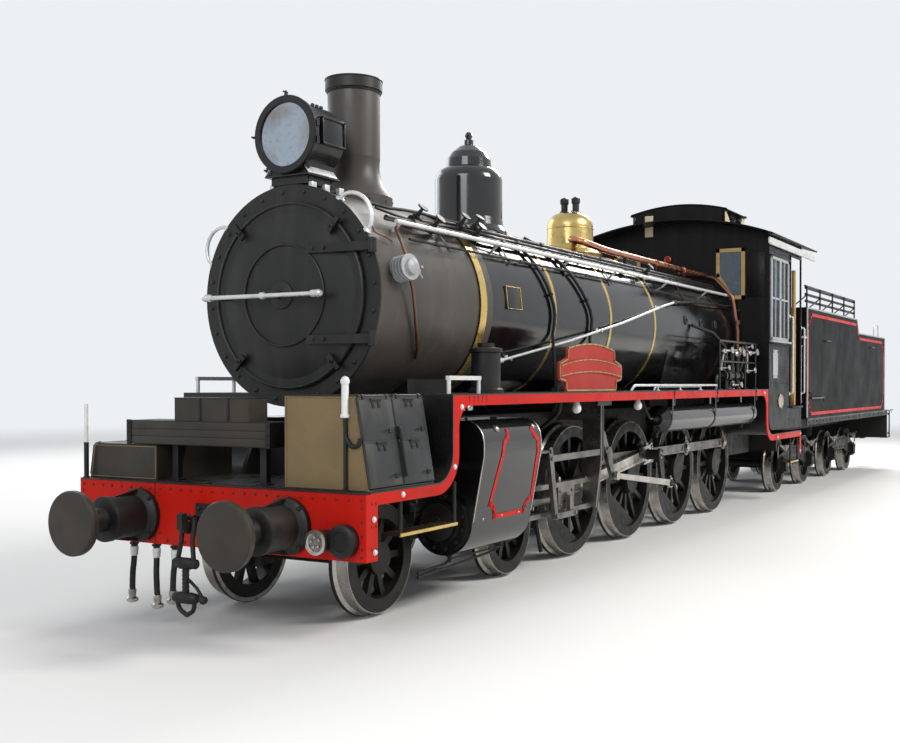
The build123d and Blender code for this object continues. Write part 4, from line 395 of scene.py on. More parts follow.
TWO_TONES = (
    ("buffer_paint", "iron_black", "olive_dark", ((8.50, -1, 0.4), (8.60, 1, 1.2))),
    ("toolbox_paint", "olive_dark", "khaki_paint", ((7.930, 0.2, 0.93), (7.96, 1.3, 1.8))),
    ("front_board_paint", "iron_black", "olive_dark", ((7.60, -1.0, 1.315), (8.0, 1.0, 1.6))),
    # Smokebox: the barrel gets the lighter copy as painted sunlight, the front ring keeps the near
    # black copy as painted shade.
    ("smokebox_paint", "smokebox_dark", "smokebox_grey_painted_sunlit", ((5.8, -1, 1.2), (7.250, 1, 3.0))),
    # Chimney: the lighter smokebox copy as painted sunlight, with a near black top lip.
    ("chimney_paint", "smokebox_grey_painted_sunlit", "smokebox_dark", ((6.2, -0.4, 3.675), (6.9, 0.4, 3.8))),
    # Boiler: its front end next to the smokebox gets the lighter smokebox copy as painted
    # sunlight.
    ("boiler_paint", "black_gloss", "smokebox_grey_painted_sunlit", ((5.80, -1, 1.2), (6.0, 1, 3.0))),
    ("firebox_paint", "iron_black", "black_gloss", ((-3, -1, 1.45), (3, 1, 3.0))))
for tones in TWO_TONES:
    two_tone(*tones)
WORN = {
    "iron_black": "main_frames bogie_frame tender_bogie_1 tender_bogie_2 smokebox_saddle air_pump "
        "footsteps tender_frame cab_floor backhead tender_rails safety_valves",
    "black_satin": "running_boards injectors headlamp",
    "polished_black": "cylinders air_reservoirs sand_dome",
    "tank_black": "tender_tank",
    "smokebox_paint": "smokebox",
    "chimney_paint": "chimney",
    "signal_red": "front_beam valances",
    "plate_red": "nameplates",
    "brass": "steam_dome",
    "band_brass": "boiler_bands",
    "silver_paint": "boiler_fittings",
    "door_grey": "toolbox_door_left_front toolbox_door_left_rear toolbox_door_right_front "
        "toolbox_door_right_rear",
    "oily_steel_and_painted_shade": "crossheads valve_gear coupling_rod_left coupling_rod_right",
    "bright_steel": "main_rod_left main_rod_right eccentric_rod_left eccentric_rod_right",
    "buffer_paint": "buffing_gear",
    "toolbox_paint": "toolboxes",
    "front_board_paint": "front_board",
    "boiler_paint": "boiler",
    "firebox_paint": "firebox",
    "cab_black": "cab_front cab_sides cab_roof filler_lid",
}
for paint, names in WORN.items():
    for node_name in names.split():
        wear(node_name, paint)

AXLE_Z = 0.5995
TREAD_IN, TREAD_OUT = 0.004, 0.024
DRIVER_PLACES = (4.145, 2.850, 1.555, 0.260)
WHEELSETS = (("driving", AXLE_Z, 0.5715, DRIVER_PLACES),
    ("bogie", 0.390, 0.362, (7.091, 5.339)),
    ("tender", 0.390, 0.362, (-2.600, -4.100, -5.650, -7.150)))
for kind, z, r, places in WHEELSETS:
    for number, x in enumerate(places, 1):
        node_name = f"{kind}_axle_{number}"
        two_tone(f"{node_name}_paint", "iron_black", "bright_steel", (x, z, r - TREAD_IN,
            r + TREAD_OUT))
        wear(node_name, f"{node_name}_paint")
print("painted", sum(len(names.split()) for names in WORN.values()), "CAD pieces and the axles")

# %% [markdown]
# ## Glass
# Cab glass is dark because the cab is dark. A thin dark glass with a little roughness reads
# that way from outside and doesn't need the light to find its way in and out again.

# %% Glass for the lamp and the windows
pane, net, surface = new_material("pane")
fill(net, surface, {"Base Color": (0.10, 0.12, 0.13, 1), "Roughness": 0.04})
clear = node(net, "BsdfTransparent", {"Color": (0.34, 0.40, 0.47, 1)})
smear = noise(net, node(net, "TexCoord", {}).outputs["Object"], 7.0, 6.0)
show_mix(net, spread(net, smear, 0.35, 0.75, 0.38, 0.63), clear.outputs[0], surface.outputs[0])
paints["pane"] = pane
wear("glass", "pane")
bare = [name for name in nodes if not nodes[name].material_slots
    or nodes[name].material_slots[0].material is None]
print("pieces with no finish:", bare)

# %% [markdown]
# ## Shop tools
# Nearly everything on an engine is a turned part, a bent pipe, a plate or a bolt. A few
# small helpers add those shapes to one mesh, so that a whole set of bolts or pipes becomes
# one piece. Building the mesh by hand keeps the faces few and the edges where we want them.

# %% Blocks and plates
FORE, AFT, UP, DOWN = (1, 0, 0), (-1, 0, 0), (0, 0, 1), (0, 0, -1)


def block(bm, low, high, edge=0.0):
    """Add a block between two opposite corners, its edges rounded by edge."""
    low, high = (Vector([pick(pair) for pair in zip(low, high)]) for pick in (min, max))
    place = Matrix.LocRotScale((low + high) / 2, None, high - low)
    made = bmesh.ops.create_cube(bm, size=1.0, matrix=place)["verts"]
    if edge:
        edges = list(dict.fromkeys(e for v in made for e in v.link_edges))
        bmesh.ops.bevel(bm, geom=edges, offset=edge, segments=2, affect="EDGES", profile=0.5)


def slab(bm, outline, lift, edge=0.0):
    """Add a plate: a flat outline of 3-D points, thickened by the vector lift."""
    lift = Vector(lift)
    near = [bm.verts.new(point) for point in outline]
    far = [bm.verts.new(Vector(point) + lift) for point in outline]
    faces = [bm.faces.new(near[::-1]), bm.faces.new(far)]
    count = len(outline)
    for i in range(count):
        j = (i + 1) % count
        faces.append(bm.faces.new((near[i], near[j], far[j], far[i])))
    bmesh.ops.recalc_face_normals(bm, faces=faces)
    if edge:
        rim = list(faces[1].edges)
        bmesh.ops.bevel(bm, geom=rim, offset=edge, segments=2, affect="EDGES", profile=0.5)


# %% Pipes and rods
NEARLY_UPRIGHT = 0.9
LEAST_BEND = 0.02
MOST_OF_LEG = 0.48
ARC_STEPS = 6


def across_pair(direction):
    """Two unit vectors at right angles to a direction."""
    helper = Vector(UP if abs(direction.z) < NEARLY_UPRIGHT else FORE)
    first = direction.cross(helper).normalized()
    return first, direction.cross(first).normalized()


def ring_of(bm, centre, radius, first, second, sides):
    """New corners on a circle round a centre, spanned by two directions."""
    turns = [2 * math.pi * k / sides for k in range(sides)]
    return [bm.verts.new(centre + radius * (math.cos(turn) * first + math.sin(turn) * second))
        for turn in turns]


def bent_path(points, bend):
    """Points of a pipe's centre line, with each corner turned into an arc of radius bend."""
    points = [Vector(point) for point in points]
    path = [points[0]]
    for before, corner, after in zip(points, points[1:], points[2:]):
        arrive, leave = (corner - before).normalized(), (after - corner).normalized()
        half = arrive.angle(leave) / 2
        if bend <= 0 or half < LEAST_BEND:
            path.append(corner)
            continue
        reach = min(bend * math.tan(half), (corner - before).length * MOST_OF_LEG,
            (after - corner).length * MOST_OF_LEG)
        for step in range(ARC_STEPS + 1):
            share = step / ARC_STEPS
            start, end = corner - arrive * reach, corner + leave * reach
            path.append(start.lerp(corner, share).lerp(corner.lerp(end, share), share))
    path.append(points[-1])
    return path


def pipe(bm, points, radius, bend=0.0, sides=10):
    """Add a rigid pipe or rod along a line of points."""
    path = bent_path(points, bend)
    first, second = across_pair((path[1] - path[0]).normalized())
    rings = []
    for i, centre in enumerate(path):
        ahead = (path[min(i + 1, len(path) - 1)] - path[max(i - 1, 0)]).normalized()
        first = (first - ahead * first.dot(ahead)).normalized()
        second = ahead.cross(first)
        rings.append(ring_of(bm, centre, radius, first, second, sides))
    for low, high in zip(rings, rings[1:]):
        for k in range(sides):
            j = (k + 1) % sides
            bm.faces.new((low[k], low[j], high[j], high[k]))
    bm.faces.new(rings[0][::-1])
    bm.faces.new(rings[-1])


# %% Turned parts
ON_AXIS = 1e-6


def both_ends(*half):
    """A profile that is the same at both ends, from its half: the end first, the middle last."""
    return [(radius, -along) for radius, along in half] + list(half[::-1])


def turned(bm, profile, base, axis, sides=24):
    """Add a turned part: (radius, distance) pairs spun about an axis from base."""
    base, axis = Vector(base), Vector(axis).normalized()
    first, second = across_pair(axis)
    rings = []
    for radius, along in profile:
        centre = base + axis * along
        if radius < ON_AXIS:
            rings.append([bm.verts.new(centre)])
        else:
            rings.append(ring_of(bm, centre, radius, first, second, sides))
    made = []
    for low, high in zip(rings, rings[1:]):
        for k in range(sides):
            j = (k + 1) % sides
            loop = [low[k % len(low)], low[j % len(low)], high[j % len(high)], high[k % len(high)]]
            loop = list(dict.fromkeys(loop))
            if len(loop) > 2:
                made.append(bm.faces.new(loop))
    for ring in (rings[0], rings[-1]):
        if len(ring) > 2 and profile[0] != profile[-1]:
            made.append(bm.faces.new(ring))
    bmesh.ops.recalc_face_normals(bm, faces=made)


def ribbon(bm, points, normal, width, thick, closed=False):
    """Add a flat strip of a width along a line of points, raised by thick along normal."""
    points, normal = [Vector(point) for point in points], Vector(normal).normalized()
    if closed:
        points = points + points[:1]
    for start, end in zip(points, points[1:]):
        along = (end - start).normalized()
        edge = normal.cross(along).normalized() * (width / 2)
        start, end = start - along * (width / 2), end + along * (width / 2)
        slab(bm, [start - edge, end - edge, end + edge, start + edge], normal * thick)


# %% Circles, bolts and rivets
def circle(centre, radius, angles, axis="x"):
    """Points at angles, in degrees, on a circle about an axis through a centre."""
    x, y, z = centre
    points = []
    for angle in angles:
        across, up = radius * cosd(angle), radius * sind(angle)
        points.append({"x": (x, y + across, z + up), "y": (x + across, y, z + up),
            "z": (x + across, y + up, z)}[axis])
    return points


def sides_of(points):
    """The sides of a closed outline, as pairs of points."""
    return zip(points, points[1:] + points[:1])


def studs(bm, places, axis, size, sides=6, lift=0.6, washer=True):
    """Add hexagon heads, or round rivet heads with sides=8, at each place along an axis."""
    for place in places:
        if sides == 6:
            if washer:
                turned(bm, [(size * 1.25, 0), (size * 1.25, size * 0.12), (size, size * 0.16)],
                    place, axis, 10)
            turned(bm, [(size, 0), (size, size * lift), (size * 0.72, size * (lift + 0.18)),
                (0, size * (lift + 0.18))], place, axis, 6)
        else:
            turned(bm, [(size, 0), (size * 0.86, size * 0.35), (size * 0.5, size * 0.6),
                (0, size * 0.7)], place, axis, sides)


def row(start, end, spacing):
    """Points from start to end, evenly spaced as close to spacing as will fit."""
    start, end = Vector(start), Vector(end)
    count = max(1, round((end - start).length / spacing))
    return [start.lerp(end, i / count) for i in range(count + 1)]


# %% Turn a mesh into a piece that rides on a body
SHARP_ANGLE = 40
made_pieces = []


def piece(name, bm, paint, body="engine"):
    """Finish a mesh as a named piece with a paint, riding on a CAD body."""
    mesh = bpy.data.meshes.new(name)
    bm.to_mesh(mesh)
    bm.free()
    mesh.materials.append(paints[paint])
    mesh.shade_smooth()
    mesh.set_sharp_from_angle(angle=math.radians(SHARP_ANGLE))
    made = bpy.data.objects.new(name, mesh)
    scene.collection.objects.link(made)
    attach(made, body)
    made_pieces.append(made)
    return made


def new(count=1):
    """An empty mesh to build on, or several."""
    return bmesh.new() if count == 1 else [bmesh.new() for _ in range(count)]


print("tools ready")

# %% [markdown]
# ## The buffer beam
# A beam is a heavy plate riveted to angle iron, so it shows rows of round heads along the
# top edge and the ends, and a joint where two plates meet. Round heads catch the light as
# small dots, which is what tells the eye how big the beam is.

# %% Rivets, joint and end bolts of the beam
BEAM_FACE = 8.0
SIDE_Y = 1.175
rivets = new()
studs(rivets, row((BEAM_FACE, -1.14, 0.884), (BEAM_FACE, 1.14, 0.884), 0.088), FORE, 0.011, 8)
studs(rivets, row((BEAM_FACE, -1.14, 0.555), (BEAM_FACE, 1.14, 0.555), 0.15), FORE, 0.011, 8)
for y in (-1.148, -0.525, -0.447, 1.148):
    studs(rivets, row((BEAM_FACE, y, 0.6), (BEAM_FACE, y, 0.84), 0.08), FORE, 0.01, 8)
for hand in (1, -1):
    for x in (7.945, 7.905):
        studs(rivets, row((x, hand * SIDE_Y, 0.6), (x, hand * SIDE_Y, 0.86), 0.13), (0, hand, 0),
            0.009, 8)
piece("beam_rivets", rivets, "rivet_red")

joint = new()
block(joint, (BEAM_FACE, -0.489, 0.534), (8.0025, -0.483, 0.914))
block(joint, (7.962, -1.172, 0.9165), (8.006, 1.172, 0.925), 0.003)
piece("beam_joint_and_top_angle", joint, "iron_black")

band_bolts = new()
for hand in (1, -1):
    places = [(x, hand * SIDE_Y, z) for x, z in ((7.925, 0.77), (7.916, 0.58), (7.632, 0.889),
        (7.046, 1.016), (-1.7, 0.885), (-1.7, 0.66), (-0.6, 0.885), (0.0, 1.44), (6.96, 1.4))]
    studs(band_bolts, places, (0, hand, 0), 0.015)
piece("band_bolts", band_bolts, "silver_paint")

drips = new()
for k in range(5):
    x = 6.86 - 0.055 * k
    slab(drips, [(x - 0.008, 1.1755, 1.472), (x + 0.008, 1.1755, 1.472), (x, 1.1755, 1.425)],
        (0, 0.0012, 0))
piece("oil_runs_on_the_band", drips, "iron_black")

# %% [markdown]
# ## Buffers and drawgear
# A buffer head is slightly crowned and greasy, its housing is held by four bolts, and a
# collar closes the housing where the plunger enters. The screw coupling hangs from the
# hook: two shackles joined by a threaded screw with a weighted handle.

# %% Buffer crowns, collars and bolts
BUFFER_Y, BUFFER_Z = 0.61, 0.708
HOUSING = 0.55
BOLT_CIRCLE = 0.152


def buffer_dressing(name, face_x, way, body):
    """Crowned head, collar, ribs and bolts for a pair of buffers facing along way."""
    head, iron = new(2)
    for y in (BUFFER_Y, -BUFFER_Y):
        turned(head, [(0.1955, -0.04), (0.1985, -0.034), (0.1985, -0.006), (0.19, 0.004),
            (0.12, 0.012), (0.0, 0.016)], (face_x, y, BUFFER_Z), (way, 0, 0), 48)
        beam = face_x - way * HOUSING
        turned(iron, [(0.134, 0.262), (0.142, 0.266), (0.142, 0.302), (0.13, 0.31),
            (0.082, 0.314)], (beam, y, BUFFER_Z), (way, 0, 0), 40)
        turned(iron, [(0.171, 0.002), (0.171, 0.034), (0.15, 0.044), (0.1325, 0.07)],
            (beam, y, BUFFER_Z), (way, 0, 0), 40)
        studs(iron, circle((beam + way * 0.036, y, BUFFER_Z), BOLT_CIRCLE, (45, 135, 225, 315)),
            (way, 0, 0), 0.016)
        for angle in (90, 270):
            rib = Vector((0, cosd(angle), sind(angle)))
            foot = Vector((beam, y, BUFFER_Z)) + rib * 0.131
            slab(iron, [foot + Vector((way * 0.03, -0.008, 0)), foot + rib * 0.036
                + Vector((way * 0.03, -0.008, 0)), foot + Vector((way * 0.24, -0.008, 0))],
                (0, 0.016, 0))
    piece(f"{name}_heads", head, "olive_dark", body)
    piece(f"{name}_collars", iron, "iron_black", body)


buffer_dressing("front_buffer", 8.55, 1, "engine")
buffer_dressing("rear_buffer", -8.55, -1, "tender")


# %% The screw coupling and the hook plate
def coupling(name, hook_x, way, body):
    """A screw coupling that hangs from a drawhook."""
    iron = new()
    x = hook_x + way * 0.19
    plate = hook_x + way * 0.02
    studs(iron, [(plate, y, z) for y in (-0.09, 0.09) for z in (0.64, 0.776)], (way, 0, 0), 0.015)
    for y in (-0.045, 0.045):
        pipe(iron, [(x, y, 0.745), (x + way * 0.02, y, 0.6), (x + way * 0.03, y * 1.5, 0.47)],
            0.015, 0.05, 12)
    pipe(iron, [(x, -0.045, 0.745), (x, 0.045, 0.745)], 0.017, 0, 12)
    low = x + way * 0.03
    turned(iron, both_ends((0.02, 0.095), (0.03, 0.085), (0.03, 0.05), (0.036, 0.04)),
        (low, 0, 0.47), (0, 1, 0), 16)
    thread = [(0.019 if k % 2 else 0.023, 0.012 * k) for k in range(17)]
    turned(iron, [(0.0, 0.0)] + thread + [(0.0, 0.2)], (low, 0, 0.255), UP, 14)
    turned(iron, both_ends((0.02, 0.095), (0.03, 0.085), (0.036, 0.04)), (low, 0, 0.262),
        (0, 1, 0), 16)
    for y in (-0.07, 0.07):
        pipe(iron, [(low, y, 0.262), (low - way * 0.005, y * 0.9, 0.19), (low - way * 0.01, 0,
            0.155)], 0.014, 0.06, 12)
    pipe(iron, [(low, 0.03, 0.37), (low + way * 0.01, 0.1, 0.33), (low + way * 0.01, 0.15, 0.27)],
        0.01, 0.03)
    turned(iron, [(0.0, -0.026), (0.02, -0.018), (0.028, 0.0), (0.02, 0.018), (0.0, 0.026)],
        (low + way * 0.01, 0.152, 0.262), UP, 16)
    piece(name, iron, "iron_black", body)


coupling("front_screw_coupling", BEAM_FACE, 1, "engine")
coupling("rear_screw_coupling", -BEAM_FACE, -1, "tender")

# %% [markdown]
# ## Brake hoses
# Three black rubber hoses hang under the beam, each clamped to an iron pipe by a bright
# collar and ending in a metal coupling head. They are the only soft things at this end, so
# each is a smooth curve of its own, held at the pipe and hanging free.

# %% Hoses under the front beam
HOSE_R = 0.019
HOSE_TOP = 0.504


def hose(name, points, body):
    """One hanging hose with its pipe, its collar and the coupling head on its end."""
    x, y, z = points[0]
    iron = new()
    pipe(iron, [(x, y, z + 0.024), (x, y, z - 0.002)], 0.021, 0, 14)
    studs(iron, [(x, y, z + 0.02)], DOWN, 0.03, 6, 0.4, False)
    bright = new()
    turned(bright, [(0.02, -0.004), (0.0255, -0.008), (0.0255, -0.034), (0.0235, -0.038),
        (0.0235, -0.06), (0.0215, -0.066), (0.02, -0.068)], (x, y, z), UP, 20)
    curve = bpy.data.curves.new(name, "CURVE")
    curve.dimensions = "3D"
    curve.bevel_depth = HOSE_R
    curve.bevel_resolution = 4
    curve.use_fill_caps = True
    line = curve.splines.new("NURBS")
    line.points.add(len(points) - 1)
    for point, place in zip(line.points, points):
        point.co = (*place, 1)
    line.order_u = 3
    line.use_endpoint_u = True
    line.resolution_u = 12
    curve.materials.append(paints["rubber"])
    tube = bpy.data.objects.new(name, curve)
    scene.collection.objects.link(tube)
    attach(tube, body)
    end = Vector(points[-1])
    along = (end - Vector(points[-2])).normalized()
    head = new()
    turned(head, [(0.02, -0.03), (0.025, -0.028), (0.025, 0.0), (0.022, 0.006), (0.022, 0.022),
        (0.036, 0.03), (0.036, 0.05), (0.026, 0.056), (0.0, 0.056)], end, along, 20)
    block(head, end + Vector((-0.012, -0.045, -0.045)), end + Vector((0.012, 0.045, -0.032)),
        0.003)
    piece(f"{name}_pipe", iron, "iron_black", body)
    piece(f"{name}_collar", bright, "silver_paint", body)
    fitting = piece(f"{name}_head", head, "bright_steel", body)


for k, (y, foot, low) in enumerate(((-0.69, -0.704, 0.19), (-0.49, -0.478, 0.17),
        (-0.33, -0.343, 0.21))):
    hose(f"front_hose_{k + 1}", [(7.984, y, HOSE_TOP), (7.984, y, 0.42), (7.996, (y + foot) / 2,
        0.32), (7.99, foot, low)], "engine")

# %% [markdown]
# ## A jumper socket on the beam
# At the left end of the beam sits a round socket with a bright cover ring and a darker
# drum beside it, both bolted through the plate.

# %% Socket, ring and drum
socket = new()
turned(socket, [(0.098, 0.0), (0.098, 0.05), (0.088, 0.058), (0.06, 0.06), (0.055, 0.05),
    (0.0, 0.05)], (BEAM_FACE, 1.03, 0.646), FORE, 32)
turned(socket, [(0.066, 0.0), (0.066, 0.085), (0.06, 0.092)], (BEAM_FACE, 0.888, 0.64), FORE, 32)
piece("beam_socket", socket, "iron_black")
ring = new()
turned(ring, [(0.072, 0.086), (0.074, 0.09), (0.074, 0.104), (0.058, 0.108), (0.052, 0.1),
    (0.0, 0.096)], (BEAM_FACE, 0.888, 0.64), FORE, 32)
studs(ring, [(8.104, 0.888 + 0.03 * math.cos(a), 0.64 + 0.03 * math.sin(a)) for a in (0.5, 1.75,
    3.0, 4.27, 5.5)], FORE, 0.008)
piece("beam_socket_ring", ring, "bright_steel")

# %% [markdown]
# ## Toolboxes on the front deck
# Each box has leaf doors on its leaning outer side. A door is a steel sheet with a seam
# half way down, two T-hinges above each half, and a turn-catch. Those parts move with the
# door, so they ride on the door's own body.

# %% Hinges, seams and catches on each door
TOOLBOXES = ((1, 1.478, 1.05, "left"), (-1, 1.15, 1.11, "right"))
LEAVES = (("front", 7.94, 7.5975), ("rear", 7.5975, 7.255))
for hand, top, top_out, side_word in TOOLBOXES:
    lean = math.atan2(1.148 - top_out, top - 0.928)
    height = (top - 0.928) / math.cos(lean)

    def on_door(x, down, out):
        """A point on the leaning side: along x, down from its top edge, out from its face."""
        return Vector((x, hand * (top_out + down * math.sin(lean) + out * math.cos(lean)),
            top - down * math.cos(lean) + out * math.sin(lean)))

    def door_plate(bm, x0, x1, down0, down1, out0, out1, edge=0.0):
        """A flat plate on the door between two outs."""
        lift = on_door(0, 0, out1) - on_door(0, 0, out0)
        slab(bm, [on_door(x0, down0, out0), on_door(x1, down0, out0), on_door(x1, down1, out0),
            on_door(x0, down1, out0)], lift, edge)

    for leaf, front, rear in LEAVES:
        middle = (front + rear) / 2
        halves = ((0.022, height - 0.02),)
        if hand > 0:
            halves = ((0.022, height * 0.48), (height * 0.5, height - 0.02))
        fittings, trim = new(2)
        for upper, lower in halves:
            door_plate(trim, rear + 0.01, front - 0.01, upper + 0.004, lower - 0.004, 0.0122,
                0.0155, 0.0015)
            door_plate(fittings, middle - 0.052, middle + 0.052, upper, upper + 0.016, 0.0155,
                0.021, 0.001)
            for off in (-0.03, 0.03):
                door_plate(fittings, middle + off - 0.011, middle + off + 0.011, upper + 0.016,
                    upper + 0.052, 0.0155, 0.02, 0.001)
                studs(fittings, [on_door(middle + off, upper + 0.04, 0.02)], on_door(0, 0, 1)
                    - on_door(0, 0, 0), 0.005, 8)
            pipe(fittings, [on_door(middle - 0.05, upper + 0.002, 0.021), on_door(middle + 0.05,
                upper + 0.002, 0.021)], 0.0055, 0, 8)
            catch = lower - 0.055 if hand > 0 else (upper + lower) / 2
            pipe(fittings, [on_door(rear + 0.055, catch, 0.015), on_door(rear + 0.055, catch,
                0.034), on_door(rear + 0.105, catch + 0.012, 0.036)], 0.006, 0.01, 8)
            turned(fittings, [(0.017, 0.0), (0.017, 0.004), (0.01, 0.007), (0.0, 0.007)],
                on_door(rear + 0.055, catch, 0.0155), on_door(0, 0, 1) - on_door(0, 0, 0), 14)
        if leaf == "rear" and hand > 0:
            pipe(fittings, [on_door(front - 0.022, 0.2, 0.016), on_door(front - 0.022, 0.2, 0.03),
                on_door(front - 0.022, height - 0.06, 0.03)], 0.01, 0.015)
            turned(fittings, [(0.01, 0), (0.017, 0.002), (0.017, 0.03), (0.01, 0.032)],
                on_door(front - 0.022, 0.24, 0.03), on_door(0, 1, 0) - on_door(0, 0, 0), 12)
        body = f"toolbox_door_{side_word}_{leaf}"
        piece(f"{body}_panels", trim, "door_grey", body)
        piece(f"{body}_hinges_and_catches", fittings, "iron_black", body)

    shell = new()
    inner = 0.53
    block(shell, (7.258, hand * inner, top), (7.944, hand * (top_out - 0.034), top + 0.006), 0.002)
    piece(f"toolbox_{side_word}_lid", shell, "iron_black")
    face = new()
    x = 7.94
    outline = [(x, hand * (inner + 0.012), 0.936), (x, hand * (inner + 0.012), top - 0.008),
        (x, hand * (top_out - 0.01), top - 0.008), (x, hand * 1.134, 0.936)]
    corners = [Vector(c) for c in outline]
    for a, b in sides_of(corners):
        pipe(face, [a + Vector((0.001, 0, 0)), b + Vector((0.001, 0, 0))], 0.0042, 0, 8)
        studs(face, row(a.lerp(b, 0.08) + Vector((0.004, 0, 0)), a.lerp(b, 0.92)
            + Vector((0.004, 0, 0)), 0.12), FORE, 0.0045, 8)
    piece(f"toolbox_{side_word}_front_edges", face, "khaki_paint")

# %% [markdown]
# ## The board over the deck
# A dark timber board stands on two legs, bare of any lettering, with iron end plates, a
# line of planking and a smaller box above it that carries two thin straps.

# %% Planks, end plates and straps
board = new()
for z0, z1 in ((1.1645, 1.212), (1.215, 1.259), (1.262, 1.3095)):
    block(board, (7.9412, -0.755, z0), (7.9452, 0.379, z1), 0.0012)
piece("board_planks", board, "olive_dark")
ends = new()
for y0, y1 in ((-0.797, -0.757), (0.381, 0.421)):
    block(ends, (7.9405, y0, 1.156), (7.95, y1, 1.318), 0.003)
    studs(ends, [(7.95, (y0 + y1) / 2, z) for z in (1.18, 1.237, 1.294)], FORE, 0.007)
for y in (-0.159, 0.076):
    block(ends, (7.9365, y - 0.01, 1.318), (7.941, y + 0.01, 1.4605), 0.001)
    studs(ends, [(7.941, y, z) for z in (1.33, 1.42)], FORE, 0.005, 8)
block(ends, (7.766, -0.38, 1.458), (7.941, 0.246, 1.463), 0.002)
for y in (-0.44, 0.3):
    block(ends, (7.82, y - 0.045, 0.9285), (7.885, y + 0.045, 0.936), 0.002)
    studs(ends, [(7.852, y + off, 0.936) for off in (-0.034, 0.034)], UP, 0.008)
piece("board_end_plates_and_straps", ends, "iron_black")

# %% [markdown]
# ## Lamp posts on the deck
# Two upright tubes stand at the beam's ends. The near one is painted white with a ball on
# top, and carries a hook of bent rod; the far one is white above and black below.

# %% Posts and hook
white_posts = new()
pipe(white_posts, [(7.95, 0.989, 1.36), (7.95, 0.989, 1.562)], 0.021, 0, 16)
turned(white_posts, [(0.0, 0.03), (0.016, 0.024), (0.027, 0.006), (0.027, -0.008),
    (0.02, -0.022)], (7.95, 0.989, 1.566), UP, 20)
turned(white_posts, [(0.021, 0.0), (0.028, 0.004), (0.028, 0.02), (0.021, 0.026)],
    (7.95, 0.989, 1.352), UP, 18)
pipe(white_posts, [(7.976, -1.145, 1.15), (7.976, -1.145, 1.415)], 0.013, 0, 14)
piece("deck_post_tops", white_posts, "white_paint")
dark_posts = new()
pipe(dark_posts, [(7.95, 0.989, 1.362), (7.95, 0.993, 1.24), (7.952, 1.035, 1.185),
    (7.95, 1.085, 1.19), (7.948, 1.095, 1.235)], 0.013, 0.03, 12)
pipe(dark_posts, [(7.952, 0.992, 1.3), (7.952, 0.992, 0.918)], 0.012, 0, 12)
pipe(dark_posts, [(7.976, -1.145, 1.16), (7.976, -1.145, 0.918)], 0.016, 0, 14)
for x, y, base in ((7.95, 0.992, 0.034), (7.976, -1.145, 0.022)):
    turned(dark_posts, [(base, 0), (base, 0.012), (0.6 * base, 0.02)], (x, y, 0.918), UP, 18)
piece("deck_posts", dark_posts, "iron_black")
print("front end:", len(made_pieces), "pieces")

# %% [markdown]
# ## Smokebox front
# The smokebox ring is held by studs, and the round door is clamped by four dogs that turn
# over its rim. A white-painted rail crosses the door. The door's rail belongs to the CAD
# door, so it is painted through a mask, and gets turned knobs on its ends.

# %% Studs, dogs, beads and knobs
BOILER_Z = 2.143
BOILER_AXIS = Vector((0, 0, BOILER_Z))


def around(radius, angle, x):
    """A point round the boiler's axis; the angle is counted from the left-hand side up."""
    return Vector((x, radius * cosd(angle), BOILER_Z + radius * sind(angle)))


def radial(angle):
    """The direction away from the boiler's axis at an angle."""
    return around(1, angle, 0) - BOILER_AXIS


# The door keeps the near black smokebox copy as painted shade; its rail is silver.
two_tone("smokebox_door_paint", "smokebox_dark", "silver_paint", ((7.402, -0.63, 2.09),
    (7.45, 0.39, 2.19)))
wear("smokebox_door", "smokebox_door_paint")
ring_studs = new()
studs(ring_studs, [around(0.702, a, 7.265) for a in range(5, 365, 15)], FORE, 0.014)
piece("smokebox_ring_studs", ring_studs, "smokebox_dark")
door = new()
for radius, x, thick in ((0.622, 7.284, 0.011), (0.34, 7.326, 0.008), (0.085, 7.344, 0.01)):
    loop = [around(radius, a, x) for a in range(0, 361, 6)]
    pipe(door, loop, thick, 0, 8)
turned(door, [(0.085, 0.0), (0.085, 0.012), (0.05, 0.024), (0.028, 0.028), (0.028, 0.06),
    (0.0, 0.064)], (7.342, 0, BOILER_Z), FORE, 28)
for angle in (48, 132, 228, 312):
    out = radial(angle)
    turn = Vector((0, -out.z, out.y))
    inner, outer = around(0.545, angle, 7.3), around(0.668, angle, 7.3)
    slab(door, [inner - turn * 0.022, outer - turn * 0.016, outer + turn * 0.016, inner + turn
        * 0.022], (0.022, 0, 0), 0.003)
    studs(door, [around(0.592, angle, 7.322)], FORE, 0.018)
    pipe(door, [around(0.592, angle, 7.3), around(0.592, angle, 7.352)], 0.008, 0, 8)
for z_side in (1, -1):
    studs(door, [(7.335, y, BOILER_Z + z_side * 0.3) for y in (0.25, 0.34)], FORE, 0.012)
piece("smokebox_door_dogs_and_beads", door, "smokebox_dark", "smokebox_door")
RAIL_X, RAIL_Z = 7.42, 2.138
knobs = new()
for y in (-0.608, 0.368):
    turned(knobs, both_ends((0.0, 0.03), (0.018, 0.024), (0.026, 0.006)), (RAIL_X, y, RAIL_Z),
        (0, 1, 0), 18)
for y in (-0.57, -0.1, 0.33):
    turned(knobs, both_ends((0.017, 0.022), (0.024, 0.014)), (RAIL_X, y, RAIL_Z), (0, 1, 0), 18)
piece("smokebox_door_rail_knobs", knobs, "silver_paint", "smokebox_door")

# %% Looped handrails on the smokebox shoulders
loops = new()
for first, last in ((57, 33), (139, 161)):
    hoop = [around(0.742 + 0.122 * math.sin(math.pi * k / 24) ** 0.5, first + (last - first) * k
        / 24, 7.24) for k in range(25)]
    pipe(loops, hoop, 0.014, 0, 14)
    for foot, angle in ((hoop[0], first), (hoop[-1], last)):
        turned(loops, [(0.03, 0.0), (0.03, 0.012), (0.018, 0.02)], foot, radial(angle), 16)
piece("smokebox_hand_loops", loops, "silver_paint")
